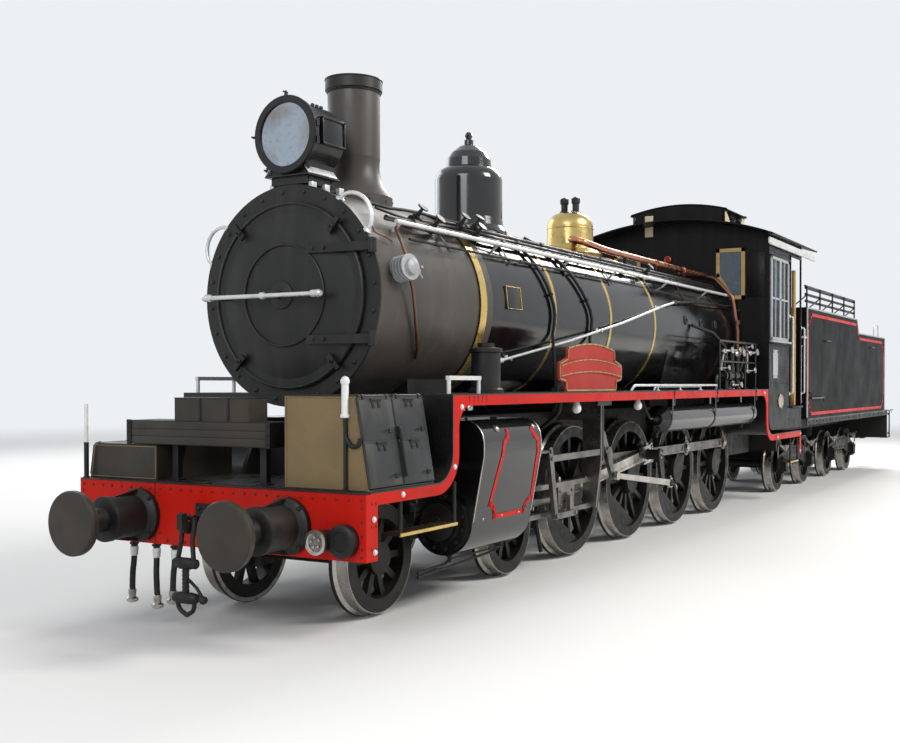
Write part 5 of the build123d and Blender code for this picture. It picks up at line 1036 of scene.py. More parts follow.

# %% [markdown]
# ## Headlamp
# The lamp is a drum with a hinged front ring, three thumb catches, a silvered dish behind
# the glass and a small bulb. Each side carries a bare glossy black panel in a dark frame.

# %% Dish, bulb, ring catches and side panels
LAMP_Z = 3.224
two_tone("headlamp_paint", "black_satin", "reflector",
    *(((x, -y, LAMP_Z - z), (7.3, y, LAMP_Z + z)) for x, y, z in ((7.085, 0.15, 0.15),
    (7.15, 0.185, 0.098), (7.15, 0.098, 0.185))))
wear("headlamp", "headlamp_paint")
dish = new()
turned(dish, [(0.2125, 0.206), (0.196, 0.165), (0.168, 0.112), (0.128, 0.06), (0.08, 0.022),
    (0.034, 0.004), (0.0, 0.002)], (7.0975, 0, LAMP_Z), FORE, 64)
piece("headlamp_dish", dish, "reflector")
bulb = new()
turned(bulb, [(0.016, 0.0), (0.016, 0.045), (0.024, 0.062), (0.028, 0.082), (0.02, 0.102),
    (0.0, 0.11)], (7.096, 0, LAMP_Z), FORE, 20)
piece("headlamp_bulb", bulb, "white_paint")
lamp_iron = new()
for angle in (92, 178, 232, 308):
    out = Vector((0, cosd(angle), sind(angle)))
    foot = Vector((7.285, 0, LAMP_Z)) + out * 0.252
    turned(lamp_iron, [(0.013, 0.0), (0.013, 0.026), (0.008, 0.03), (0.008, 0.046), (0.0, 0.048)],
        foot, out, 10)
    pipe(lamp_iron, [foot + out * 0.036 + Vector((-0.018, 0, 0)), foot + out * 0.036
        + Vector((0.024, 0, 0))], 0.007, 0, 8)
for z in (LAMP_Z - 0.06, LAMP_Z + 0.06):
    pipe(lamp_iron, [(7.285, 0.262, z - 0.025), (7.285, 0.262, z + 0.025)], 0.01)
for bead_x, radius in ((7.305, 0.2585), (7.262, 0.2375), (6.985, 0.232)):
    pipe(lamp_iron, circle((bead_x, 0, LAMP_Z), radius, range(0, 361, 8)), 0.005, 0, 6)
for k in range(3):
    turned(lamp_iron, [(0.014, 0), (0.014, 0.014), (0.009, 0.02), (0.0, 0.02)],
        (7.07 + 0.045 * k, 0.112, LAMP_Z + 0.207), (0, 0.47, 0.88), 12)
for hand in (1, -1):
    y = hand * 0.2505
    for low, high in (((6.982, 3.152), (7.228, 3.166)), ((6.982, 3.322), (7.228, 3.336)),
            ((6.982, 3.152), (6.996, 3.336)), ((7.214, 3.152), (7.228, 3.336))):
        block(lamp_iron, (low[0], y, low[1]), (high[0], y + hand * 0.01, high[1]), 0.002)
    studs(lamp_iron, [(x, hand * 0.2605, z) for x in (6.989, 7.221) for z in (3.159, 3.329)],
        (0, hand, 0), 0.005, 8)
    studs(lamp_iron, [(x, hand * 0.151, z) for x in (7.0, 7.24) for z in (2.915, 2.935)],
        (0, hand, 0), 0.008)
block(lamp_iron, (6.955, -0.185, 2.945), (7.3, 0.185, 2.957), 0.003)
piece("headlamp_catches_and_frames", lamp_iron, "black_satin")
panels = new()
for hand in (1, -1):
    block(panels, (6.995, hand * 0.2503, 3.165), (7.215, hand * 0.2535, 3.323), 0.001)
piece("headlamp_bare_side_panels", panels, "black_gloss")
legs = new()
for x in (6.93, 7.085, 7.225):
    for hand in (1, -1):
        block(legs, (x - 0.024, hand * 0.152, 2.846), (x + 0.024, hand * 0.184, 2.905), 0.002)
for hand in (1, -1):
    slab(legs, [(6.985, hand * 0.186, 2.9575), (7.29, hand * 0.186, 2.9575), (7.29, hand * 0.152,
        3.005), (6.985, hand * 0.152, 3.005)], (0, hand * 0.004, 0.003), 0.001)
piece("headlamp_leg_sleeves", legs, "silver_paint")

# %% [markdown]
# ## Chimney rim and base
# The cast chimney has a rolled lip and a ring of bolts where its skirt meets the smokebox.

# %% Lip bead and skirt bolts
CHIMNEY_X = 6.546
FULL_TURN = range(0, 361, 6)
SKIRT_R, SKIRT_TOP, SMOKEBOX_R = 0.281, 2.905, 0.735
chimney_trim = new()
for radius, z, thick in ((0.206, 3.757, 0.006), (0.192, 3.664, 0.005)):
    pipe(chimney_trim, circle((CHIMNEY_X, 0, z), radius, FULL_TURN, "z"), thick, 0, 8)
for a in range(0, 360, 30):
    x, y = CHIMNEY_X + SKIRT_R * cosd(a), SKIRT_R * sind(a)
    top = BOILER_Z + math.sqrt(SMOKEBOX_R ** 2 - y ** 2)
    studs(chimney_trim, [(x, y, (top + SKIRT_TOP) / 2)], (cosd(a), sind(a), 0), 0.008, 8)
piece("chimney_trim", chimney_trim, "smokebox_dark")

# %% [markdown]
# ## Finned valve and copper pipes on the smokebox side
# A finned cover stands off the smokebox with a T-handle beside it. Thin copper pipes drop
# into it from the pipe run above and leave it below, held close to the curved plate.

# %% Fins, handle and copper
valve = new()
fins = [(0.03, 0.0)]
for k in range(5):
    fins += [(0.052, 0.02 + 0.026 * k), (0.088, 0.022 + 0.026 * k), (0.088, 0.03 + 0.026 * k),
        (0.052, 0.032 + 0.026 * k)]
fins += [(0.052, 0.16), (0.03, 0.172), (0.0, 0.172)]
turned(valve, fins, (7.02, 0.7, 2.305), (0.15, 1.0, 0.12), 22)
turned(valve, [(0.05, 0.0), (0.05, 0.02), (0.025, 0.03), (0.025, 0.09), (0.0, 0.09)],
    (7.02, 0.8, 2.3), (-1, 0.2, -0.05), 16)
pipe(valve, [(6.93, 0.78, 2.345), (6.918, 0.84, 2.255)], 0.009, 0, 8)
pipe(valve, [(6.918, 0.77, 2.27), (6.928, 0.85, 2.33)], 0.009, 0, 8)
piece("smokebox_side_valve", valve, "pale_grey")
copper_runs = new()
pipe(copper_runs, [around(0.778, 43, 6.7), around(0.782, 39, 6.86), around(0.784, 36, 6.93),
    around(0.8, 26, 6.985), around(0.815, 19, 7.01), (7.02, 0.8, 2.36)], 0.01, 0.03)
pipe(copper_runs, [around(0.775, 36, 7.2), around(0.77, 31, 7.2), around(0.78, 29, 7.12),
    around(0.775, 27, 7.05)], 0.007, 0.02, 8)
pipe(copper_runs, [(7.0, 0.8, 2.24), around(0.795, 3, 6.96), around(0.775, -7, 6.9),
    around(0.765, -18, 6.82), around(0.757, -28, 6.72), around(0.74, -34, 6.66)], 0.011, 0.05)
piece("smokebox_copper_pipes", copper_runs, "old_copper")

# %% [markdown]
# ## Pipes along the boiler
# Several black pipes and a conduit run beside the left handrail from the smokebox to the
# cab, joined by unions and held by clips. Sand pipes leave the run and follow the round
# cladding down to the wheels. They are rigid pipes, so plain swept tubes suit them.

# %% The pipe run beside the handrail, both sides
run = new()
for hand in (1, -1):
    for angle, radius, thick, x0, x1 in ((43, 0.779, 0.02, 6.95, -0.205), (48, 0.775, 0.015, 6.6,
            -0.205), (52, 0.778, 0.018, 6.1, -0.205), (31, 0.77, 0.01, 6.8, 3.4)):
        if hand < 0 and angle > 45:
            continue
        turn = angle if hand > 0 else 180 - angle
        pipe(run, [around(radius, turn, x0), around(radius, turn, x1)], thick)
        step = x0 - 0.35
        while step > x1 + 0.2:
            union = around(radius, turn, step)
            turned(run, both_ends((thick, 0.03), (thick * 1.6, 0.024)), union, FORE, 6)
            step -= 1.25
    for x in (6.3, 5.4, 4.4, 3.4, 2.4, 1.4, 0.4):
        angles = range(28, 58, 3) if hand > 0 else range(122, 152, 3)
        edge = [around(0.757, a, x) for a in angles]
        for a, b in zip(edge, edge[1:]):
            slab(run, [a + Vector((-0.014, 0, 0)), a + Vector((0.014, 0, 0)),
                b + Vector((0.014, 0, 0)), b + Vector((-0.014, 0, 0))],
                (a - Vector((x, 0, BOILER_Z))).normalized() * 0.004)
for base, sway, thick in ((46, 2.2, 0.01), (54, 1.6, 0.012), (39, 1.2, 0.008)):
    wander = [around(0.79 + 0.006 * math.sin(k * 1.7 + base), base + sway
        * math.sin(k * 1.1 + base), 7.02 - 0.22 * k) for k in range(9)]
    pipe(run, wander, thick, 0.06, 8)
piece("boiler_pipe_run", run, "iron_black")

cocks = new()
for x, angle in ((6.55, 47), (6.42, 41), (5.93, 49), (5.8, 43), (5.66, 52), (2.3, 45)):
    foot = around(0.785, angle, x)
    out = (foot - Vector((x, 0, BOILER_Z))).normalized()
    turned(cocks, [(0.03, -0.03), (0.034, 0.0), (0.034, 0.03), (0.018, 0.04), (0.012, 0.085),
        (0.012, 0.1)], foot, out, 14)
    turned(cocks, [(0.012, 0.0), (0.04, 0.001), (0.044, 0.006), (0.04, 0.012), (0.012, 0.012)],
        foot + out * 0.098, out, 18)
    pipe(cocks, [foot + Vector((-0.055, 0, 0)), foot + Vector((0.055, 0, 0))], 0.024)
piece("boiler_cocks", cocks, "iron_black")

# %% Sand pipes round the cladding
BOARD_TOP = 1.487
sand_pipes = new()
for hand in (1, -1):
    for x_top, x_low in ((4.6, 4.06), (5.1, 4.8)):
        path = []
        for step in range(13):
            share = step / 12
            angle = 62 - 76 * share
            turn = angle if hand > 0 else 180 - angle
            path.append(around(0.768, turn, x_top + (x_low - x_top) * min(1.0, share * 1.25)))
        last = path[-1]
        path.append(Vector((x_low, last.y + hand * 0.02, 1.7)))
        path.append(Vector((x_low, last.y + hand * 0.03, BOARD_TOP)))
        pipe(sand_pipes, path, 0.014)
        for share in (3, 8):
            centre = path[share]
            along = (path[share + 1] - path[share - 1]).normalized()
            turned(sand_pipes, both_ends((0.014, 0.012), (0.021, 0.01)), centre, along, 12)
piece("sand_pipes", sand_pipes, "iron_black")

# %% Copper steam pipe from the dome, and the pipe down the cab front
big_copper = new()
pipe(big_copper, [(3.12, 0.16, 2.985), (3.36, 0.2, 2.965), (3.4, 0.36, 2.925),
    (3.05, 0.415, 2.885), (2.8, 0.42, 2.88), (0.95, 0.4, 2.885), (-0.198, 0.4, 2.885)], 0.033,
    0.11, 16)
for x in (2.45, 1.6, 0.7):
    turned(big_copper, both_ends((0.033, 0.03), (0.043, 0.026)), (x, 0.4, 2.8835), FORE, 8)
cab_copper = new()
pipe(cab_copper, [(-0.198, 0.02, 2.945), (-0.13, 0.04, 2.945), (-0.13, 0.5, 2.865),
    (-0.13, 0.735, 2.62), (-0.13, 0.8, 2.2), (-0.13, 0.8, 1.7), (-0.13, 0.82, BOARD_TOP)], 0.024,
    0.16, 14)
for z in (2.3, 1.85):
    turned(cab_copper, both_ends((0.024, 0.03), (0.033, 0.026)), (-0.13, 0.8, z), UP, 8)
piece("copper_steam_pipe", big_copper, "copper")
piece("cab_front_copper_pipe", cab_copper, "old_copper")
stays = new()
for x in (2.45, 1.6, 0.7):
    block(stays, (x - 0.012, 0.385, 2.765), (x + 0.012, 0.415, 2.852), 0.002)
for z in (2.45, 2.0):
    block(stays, (-0.199, 0.785, z - 0.014), (-0.15, 0.815, z + 0.014), 0.002)
piece("copper_pipe_stays", stays, "iron_black")

# %% Rims of the brass dome, washout plugs and the bare plate on the boiler
DOME_X = 2.93
dome_trim = new()
for radius, z in ((0.326, 2.862), (0.2345, 3.12)):
    pipe(dome_trim, circle((DOME_X, 0, z), radius, FULL_TURN, "z"), 0.005, 0, 8)
for hand in (1, -1):
    turned(dome_trim, [(0.058, 0.0), (0.058, 0.01), (0.052, 0.014)], (DOME_X, hand * 0.064, 3.28),
        UP, 20)
piece("brass_dome_rims", dome_trim, "brass")
plugs = new()
for hand in (1, -1):
    for x in (1.55, 1.05, 0.55):
        turn = 8 if hand > 0 else 172
        turned(plugs, [(0.052, 0.0), (0.052, 0.008), (0.04, 0.014)], around(0.744, turn, x),
            radial(turn))
        studs(plugs, [around(0.756, turn, x)], radial(turn), 0.018)
piece("washout_plugs", plugs, "black_satin")
bare_plate = new()
slab(bare_plate, [around(0.748, 13, 5.36), around(0.748, 13, 5.6), around(0.748, -1, 5.6),
    around(0.748, -1, 5.36)], (0, 0.01, 0.001), 0.002)
piece("bare_boiler_plate", bare_plate, "black_satin")
plate_rim = new()
rim = [around(0.76, 12.6, 5.366), around(0.76, 12.6, 5.594), around(0.76, -0.6, 5.594),
    around(0.76, -0.6, 5.366)]
for a, b in sides_of(rim):
    pipe(plate_rim, [a, b], 0.004, 0, 6)
piece("bare_boiler_plate_rim", plate_rim, "brass")
print("boiler and smokebox:", len(made_pieces), "pieces so far")

# %% [markdown]
# ## Cylinders
# The sheet-iron casing over each cylinder and steam chest is lined in red, with notched
# lower corners. Covers are held by rings of studs, and drain cocks hang below.

# %% Casing lining, beads, plugs and cover studs
lining, beads, covers, bright_edges, drains = new(5)
CASING_LEAN, LEAN_HEIGHT = 0.088, 0.46
CYLINDER_Y = 0.82
for hand in (1, -1):
    def on_casing(x, z, off=0.001):
        """A point on the casing's outer face at a place along it and a height."""
        if z > 1.148:
            return Vector((x, hand * (1.0 + math.sqrt(0.15 ** 2 - (z - 1.148) ** 2) + off), z))
        lean = max(0.0, (1.06 - z) / LEAN_HEIGHT) * CASING_LEAN
        return Vector((x, hand * (1.15 - lean + off), z))

    outline = [(6.285, 1.215), (6.3, 1.175), (6.35, 1.14), (6.37, 1.06), (6.44, 0.71),
        (6.39, 0.69), (6.365, 0.655), (6.345, 0.615), (5.925, 0.615), (5.905, 0.655),
        (5.875, 0.69), (5.825, 0.71), (5.842, 1.06), (5.848, 1.14), (5.895, 1.175), (5.92, 1.215)]
    for start, end in zip(outline, outline[1:]):
        a, b = on_casing(*start), on_casing(*end)
        up = on_casing(start[0], min(start[1], end[1]) + 0.02) - on_casing(start[0],
            min(start[1], end[1]))
        ribbon(lining, [a, b], Vector(FORE).cross(up) * -hand, 0.034, 0.003)
    for x in (5.797, 6.633):
        pipe(beads, [on_casing(x, z) for z in (0.605, 0.7, 0.85, 1.0, 1.06, 1.15, 1.2, 1.24, 1.27,
            1.29)], 0.006, 0, 6)
    for x in (6.415, 5.88):
        place = on_casing(x, 1.238)
        studs(beads, [place], (0, hand * 0.77, 0.63), 0.022)
    for x in (5.99, 6.24, 6.5):
        studs(beads, [on_casing(x, 0.612)], (0, hand, -0.15), 0.009, 8)
    for face, way in ((6.674, 1), (5.756, -1)):
        studs(covers, circle((face, hand * CYLINDER_Y, AXLE_Z), 0.186, range(15, 375, 30)),
            (way, 0, 0), 0.014)
    turned(covers, [(0.132, 0), (0.132, 0.012), (0.06, 0.026), (0.05, 0.026), (0.05, 0.05),
        (0.0, 0.055)], (6.698, hand * CYLINDER_Y, AXLE_Z), FORE, 28)
    turned(covers, [(0.062, 0), (0.062, 0.05), (0.045, 0.06), (0.045, 0.09), (0.033, 0.095)],
        (5.732, hand * CYLINDER_Y, AXLE_Z), AFT, 20)
    strip = [(1.149, 1.14), (1.149, 1.06), (1.068, 0.64), (1.03, 0.64), (1.104, 1.06),
        (1.104, 1.14)]
    slab(bright_edges, [(5.7895, hand * y, z) for y, z in strip], (-0.012, 0, 0), 0.002)
    turned(bright_edges, [(0.046, 0), (0.046, 0.05), (0.034, 0.06), (0.034, 0.16), (0.02, 0.165)],
        (5.79, hand * 0.9325, 1.01), AFT, 16)
    for x in (5.88, 6.55):
        turned(drains, [(0.022, 0), (0.022, 0.02), (0.014, 0.024), (0.014, 0.06), (0.0, 0.06)],
            (x, hand * CYLINDER_Y, 0.362), DOWN, 8)
        pipe(drains, [(x, hand * CYLINDER_Y, 0.315), (x + 0.06, hand * CYLINDER_Y, 0.3),
            (6.98, hand * 0.84, 0.29 if x > 6 else 0.262)], 0.01, 0.03, 8)
    pipe(drains, [(5.85, hand * 0.86, 0.335), (6.58, hand * 0.86, 0.335)], 0.007, 0, 6)
piece("casing_red_lining", lining, "lining_red")
piece("casing_beads_and_plugs", beads, "bright_steel")
piece("cylinder_cover_studs", covers, "iron_black")
piece("casing_bright_edges", bright_edges, "bright_steel")
piece("cylinder_drain_cocks", drains, "iron_black")

# %% [markdown]
# ## Rods and valve gear
# Each rod has bolted brasses and lidded oil cups. Their pieces ride on the rod bodies, so
# they go round with the wheels.

# %% Crank pins and rod ends, at the rest position of the cranks
CRANK_R = 0.2794
MAIN_AXLE_X = DRIVER_PLACES[1]
MAIN_ROD = 2.08
ECCENTRIC_R, ECCENTRIC_LEAD = 0.215, 71
COUPLING_FACE, MAIN_Y = 0.7085, 0.766


def swung(centre_x, radius, angle):
    """A place at an angle from an axle's centre, in x and z."""
    return (centre_x + radius * cosd(angle), AXLE_Z + radius * sind(angle))


for hand, word, crank in ((1, "left", 120), (-1, "right", 30)):
    pins = [swung(x, CRANK_R, crank) for x in DRIVER_PLACES]
    for number, (x, z) in enumerate(pins, 1):
        cap = new()
        if number == 1:
            turned(cap, [(0.044, 0), (0.044, 0.004), (0.0, 0.005)], (x, hand * COUPLING_FACE, z),
                (0, hand, 0))
        elif number == 2:
            studs(cap, circle((x, hand * 0.9085, z), 0.03, (45, 165, 285), "y"), (0, hand, 0),
                0.011)
        else:
            studs(cap, [(x, hand * COUPLING_FACE, z)], (0, hand, 0), 0.042, 6, 0.45)
        piece(f"crank_pin_cap_{word}_{number}", cap, "bright_steel", f"driving_axle_{number}")
    cups = new()
    for x, z in pins:
        turned(cups, [(0.017, 0), (0.017, 0.01), (0.012, 0.018), (0.0, 0.02)],
            (x, hand * 0.684, z + 0.1215), UP, 14)
        for side in (-1, 1):
            studs(cups, [(x + side * 0.066, hand * 0.7035, z + 0.03),
                (x + side * 0.066, hand * 0.7035, z - 0.03)], (0, hand, 0), 0.008)
    piece(f"coupling_rod_cups_{word}", cups, "oily_steel_and_painted_shade", f"coupling_rod_{word}")
    big_x, big_z = pins[1]
    small_x = MAIN_AXLE_X + CRANK_R * cosd(crank) + math.sqrt(MAIN_ROD ** 2
        - (CRANK_R * sind(crank)) ** 2)
    lean = Vector((small_x - big_x, 0, AXLE_Z - big_z)).normalized()
    rise = Vector((-lean.z, 0, lean.x))
    ends = new()
    big, small = Vector((big_x, hand * MAIN_Y, big_z)), Vector((small_x, hand * MAIN_Y, AXLE_Z))
    slab(ends, [big - lean * 0.128 - rise * 0.098, big - lean * 0.128 + rise * 0.098, big - lean
        * 0.088 + rise * 0.098, big - lean * 0.088 - rise * 0.098], (0, -hand * 0.046, 0), 0.003)
    for along in (0.092, -0.108):
        studs(ends, [big + lean * along + rise * up for up in (0.062, -0.062)], (0, hand, 0),
            0.013)
    block(ends, big + Vector((-0.026, -0.034, 0.088)), big + Vector((0.026, 0.034, 0.118))
        if hand < 0 else big + Vector((0.026, -0.006, 0.118)), 0.004)
    studs(ends, [small + lean * -0.085 + rise * up for up in (0.026, -0.026)], (0, hand, 0), 0.009)
    turned(ends, [(0.02, 0), (0.02, 0.012), (0.012, 0.02), (0.0, 0.022)],
        small + Vector((0, -hand * 0.023, 0.056)), UP, 14)
    piece(f"main_rod_ends_{word}", ends, "bright_steel", f"main_rod_{word}")
    ecc_x, ecc_z = swung(MAIN_AXLE_X, ECCENTRIC_R, crank + ECCENTRIC_LEAD)
    tips = new()
    turned(tips, [(0.016, 0), (0.016, 0.012), (0.01, 0.022), (0.0, 0.024)], (ecc_x, hand * 0.976,
        ecc_z + 0.046), UP, 12)
    studs(tips, [(ecc_x + 0.038, hand * 0.992, ecc_z + 0.004), (ecc_x - 0.038, hand * 0.992,
        ecc_z)], (0, hand, 0), 0.007)
    piece(f"eccentric_rod_tips_{word}", tips, "oily_steel_and_painted_shade", f"eccentric_rod_{word}")

# %% Crossheads, guide bars, link and motion bracket
motion, bracket = new(2)
LIFT = 0.113
for hand, crosshead in ((1, 4.7762), (-1, 5.1673)):
    for lift in (LIFT, -LIFT):
        for x in (4.31, 5.7):
            studs(motion, [(x, hand * CYLINDER_Y, AXLE_Z + lift + math.copysign(0.02, lift))],
                (0, 0, math.copysign(1, lift)), 0.014)
    for x in (-0.11, 0.11):
        studs(motion, [(crosshead + x, hand * 0.862, AXLE_Z + z) for z in (0.055, -0.055)],
            (0, hand, 0), 0.013)
    turned(motion, [(0.032, 0), (0.032, 0.008), (0.014, 0.012), (0.0, 0.012)],
        (crosshead, hand * 0.88, AXLE_Z), (0, hand, 0), 18)
    turned(motion, [(0.02, 0), (0.02, 0.03), (0.012, 0.04), (0.0, 0.042)],
        (crosshead + 0.06, hand * CYLINDER_Y, AXLE_Z + 0.133), UP, 12)
    turned(motion, [(0.058, 0), (0.058, 0.014), (0.03, 0.026), (0.0, 0.028)], (4.105, hand * 0.95,
        0.935), (0, hand, 0))
    for x, z in ((5.23, 1.01), (crosshead + 0.35, 0.478), (crosshead, 0.478), (5.21, 0.95),
            (4.165, 0.955)):
        turned(motion, [(0.018, 0), (0.018, 0.01), (0.008, 0.014), (0.0, 0.014)],
            (x, hand * 0.95, z), (0, hand, 0), 14)
    for z in (1.06, 1.3):
        studs(bracket, row((4.271, hand * 0.8, z), (4.271, hand * 0.93, z), 0.065), FORE, 0.011)
    studs(bracket, row((4.271, hand * 0.935, 0.92), (4.271, hand * 0.935, 1.26), 0.11), FORE,
        0.009)
    ribbon(bracket, [(4.239, hand * 0.938, 0.89), (4.239, hand * 0.938, 1.42)], AFT, 0.03, 0.03)
    slab(bracket, [(4.06, hand * 0.951, 1.36), (4.36, hand * 0.951, 1.36), (4.36, hand * 0.951,
        1.455), (4.06, hand * 0.951, 1.455)], (0, hand * 0.012, 0), 0.003)
    studs(bracket, [(x, hand * 0.963, 1.41) for x in (4.1, 4.19, 4.31)], (0, hand, 0), 0.011)
piece("crosshead_and_link_bolts", motion, "oily_steel_and_painted_shade")
piece("motion_bracket_bolts", bracket, "door_grey")

# %% Brake beams, pull rod and sand pipes below the board
BRAKE_BACK, BRAKE_Z = 0.6195, 0.508
under = new()
for x in DRIVER_PLACES:
    pipe(under, [(x - BRAKE_BACK, -0.585, BRAKE_Z), (x - BRAKE_BACK, 0.585, BRAKE_Z)], 0.02)
    for y in (-0.3, 0.3):
        turned(under, both_ends((0.02, 0.03), (0.036, 0.024)), (x - BRAKE_BACK, y, BRAKE_Z),
            (0, 1, 0), 12)
for y in (-0.3, 0.3):
    pipe(under, [(-0.4, y, BRAKE_Z), (3.5255, y, BRAKE_Z)], 0.014, 0, 8)
for hand in (1, -1):
    pipe(under, [(4.8, hand * 0.83, 1.468), (4.8, hand * 0.8, 1.3), (4.82, hand * 0.6, 1.14),
        (4.82, hand * 0.6, 0.36), (4.735, hand * 0.6, 0.12)], 0.018, 0.09)
    turned(under, [(0.018, 0), (0.03, 0.002), (0.03, 0.05), (0.018, 0.052)],
        (4.82, hand * 0.6, 0.42), UP, 12)
piece("brake_beams_and_sand_pipes", under, "iron_black")

# %% [markdown]
# ## Along the running board
# Straps hold the air reservoirs and reach up over the red valance. Two lamp bulbs hang below
# the board, a pale rail runs above it, and the steps have yellow nosings.

# %% Reservoir straps, bulbs, rails and nosings
RESERVOIR_Y, RESERVOIR_Z = 1.02, 1.208
straps, bulbs, board_rail, nosing = new(4)
for hand in (1, -1):
    for x in (0.336, 1.761, 3.05):
        turned(straps, both_ends((0.1308, 0.018), (0.135, 0.018)), (x, hand * RESERVOIR_Y,
            RESERVOIR_Z), FORE, 40)
        ribbon(straps, [(x, hand * 1.154, 1.22), (x, hand * 1.154, 1.4)], (0, hand, 0), 0.03,
            0.004)
        ribbon(straps, [(x, hand * 1.176, 1.372), (x, hand * 1.176, 1.47)], (0, hand, 0), 0.026,
            0.004)
        studs(straps, [(x, hand * 1.18, 1.46), (x, hand * 1.18, 1.39)], (0, hand, 0), 0.009)
    for x in (0.3, 3.00):
        turned(straps, [(0.02, 0), (0.02, 0.012), (0.013, 0.016), (0.013, 0.05), (0.0, 0.05)],
            (x + 0.12, hand * RESERVOIR_Y, 1.079), DOWN, 8)
    turned(straps, [(0.028, 0), (0.028, 0.02), (0.016, 0.03), (0.016, 0.05), (0.0, 0.05)],
        (3.13, hand * RESERVOIR_Y, RESERVOIR_Z), FORE, 14)
    pipe(straps, [(3.17, hand * RESERVOIR_Y, RESERVOIR_Z), (3.3, hand * RESERVOIR_Y, 1.22),
        (3.36, hand * 0.98, 1.36), (3.36, hand * 0.96, 1.467)], 0.013, 0.05, 8)
    for x in (5.074, 3.79):
        turned(straps, [(0.03, 0), (0.03, 0.014), (0.02, 0.02), (0.02, 0.055)],
            (x, hand * 1.1, 1.4665), DOWN, 16)
        turned(bulbs, [(0.018, 0), (0.024, 0.02), (0.036, 0.048), (0.038, 0.066), (0.03, 0.088),
            (0.014, 0.098), (0.0, 0.1)], (x, hand * 1.1, 1.412), DOWN, 20)
    pipe(board_rail, [(3.95, hand * 1.1, BOARD_TOP), (3.92, hand * 1.12, 1.535),
        (1.62, hand * 1.12, 1.535), (1.6, hand * 1.1, BOARD_TOP)], 0.012, 0.03)
    pipe(board_rail, [(3.3, hand * 1.06, BOARD_TOP), (3.27, hand * 1.065, 1.52),
        (2.02, hand * 1.065, 1.52), (2.0, hand * 1.06, BOARD_TOP)], 0.01, 0.02)
    for x in (3.35, 2.75, 2.15):
        turned(board_rail, [(0.024, 0), (0.024, 0.006), (0.009, 0.01), (0.009, 0.042)],
            (x, hand * 1.12, 1.4855), UP, 12)
    for front, rear, height in ((7.64, 6.99, 0.636), (-1.28, -1.68, 0.52)):
        block(nosing, (rear, hand * 1.15, height - 0.004), (front, hand * 1.1635, height + 0.018),
            0.003)
        for k in range(7):
            x = rear + (front - rear) * (k + 0.5) / 7
            block(nosing, (x - 0.004, hand * 1.035, height + 0.014), (x + 0.004, hand * 1.145,
                height + 0.019))
piece("reservoir_straps_and_pipes", straps, "black_satin")
piece("running_board_bulbs", bulbs, "white_paint")
piece("running_board_rails", board_rail, "silver_paint")
piece("footstep_nosings", nosing, "band_brass")

# %% Rim and cast ornament round the bare nameplates
plate_trim = new()
for hand in (1, -1):
    y = hand * 1.1135
    arch = [(x, 1.828 + 0.048 * (1 - ((x - 4.807) / 0.464) ** 2)) for x in (4.355, 4.47, 4.58,
        4.69, 4.807, 4.92, 5.03, 5.14, 5.259)]
    outline = ([(4.323, 1.498), (4.323, 1.572), (4.207, 1.592), (4.207, 1.705), (4.355, 1.747)]
        + arch + [(5.259, 1.747), (5.407, 1.705), (5.407, 1.592), (5.291, 1.572), (5.291, 1.498)])
    ribbon(plate_trim, [(x, y, z) for x, z in outline], (0, hand, 0), 0.011, 0.006, True)
    for z_low, low_arch in ((1.6, 1.64), (1.7, 1.758)):
        curve = []
        for k in range(13):
            x = 4.232 + 1.15 * k / 12
            curve.append((x, hand * 1.1205, z_low + (low_arch - z_low)
                * (1 - ((x - 4.807) / 0.59) ** 2) + (0.01 if z_low < 1.65 else -0.01)))
        ribbon(plate_trim, curve, (0, hand, 0), 0.008, 0.005)
    for x in (4.52, 5.09):
        pipe(plate_trim, [(x, hand * 1.098, 1.62), (x, hand * 1.02, 1.62),
            (x, hand * 1.0, BOARD_TOP)], 0.01, 0.03, 8)
piece("nameplate_rims", plate_trim, "brass")
print("motion and board:", len(made_pieces), "pieces so far")
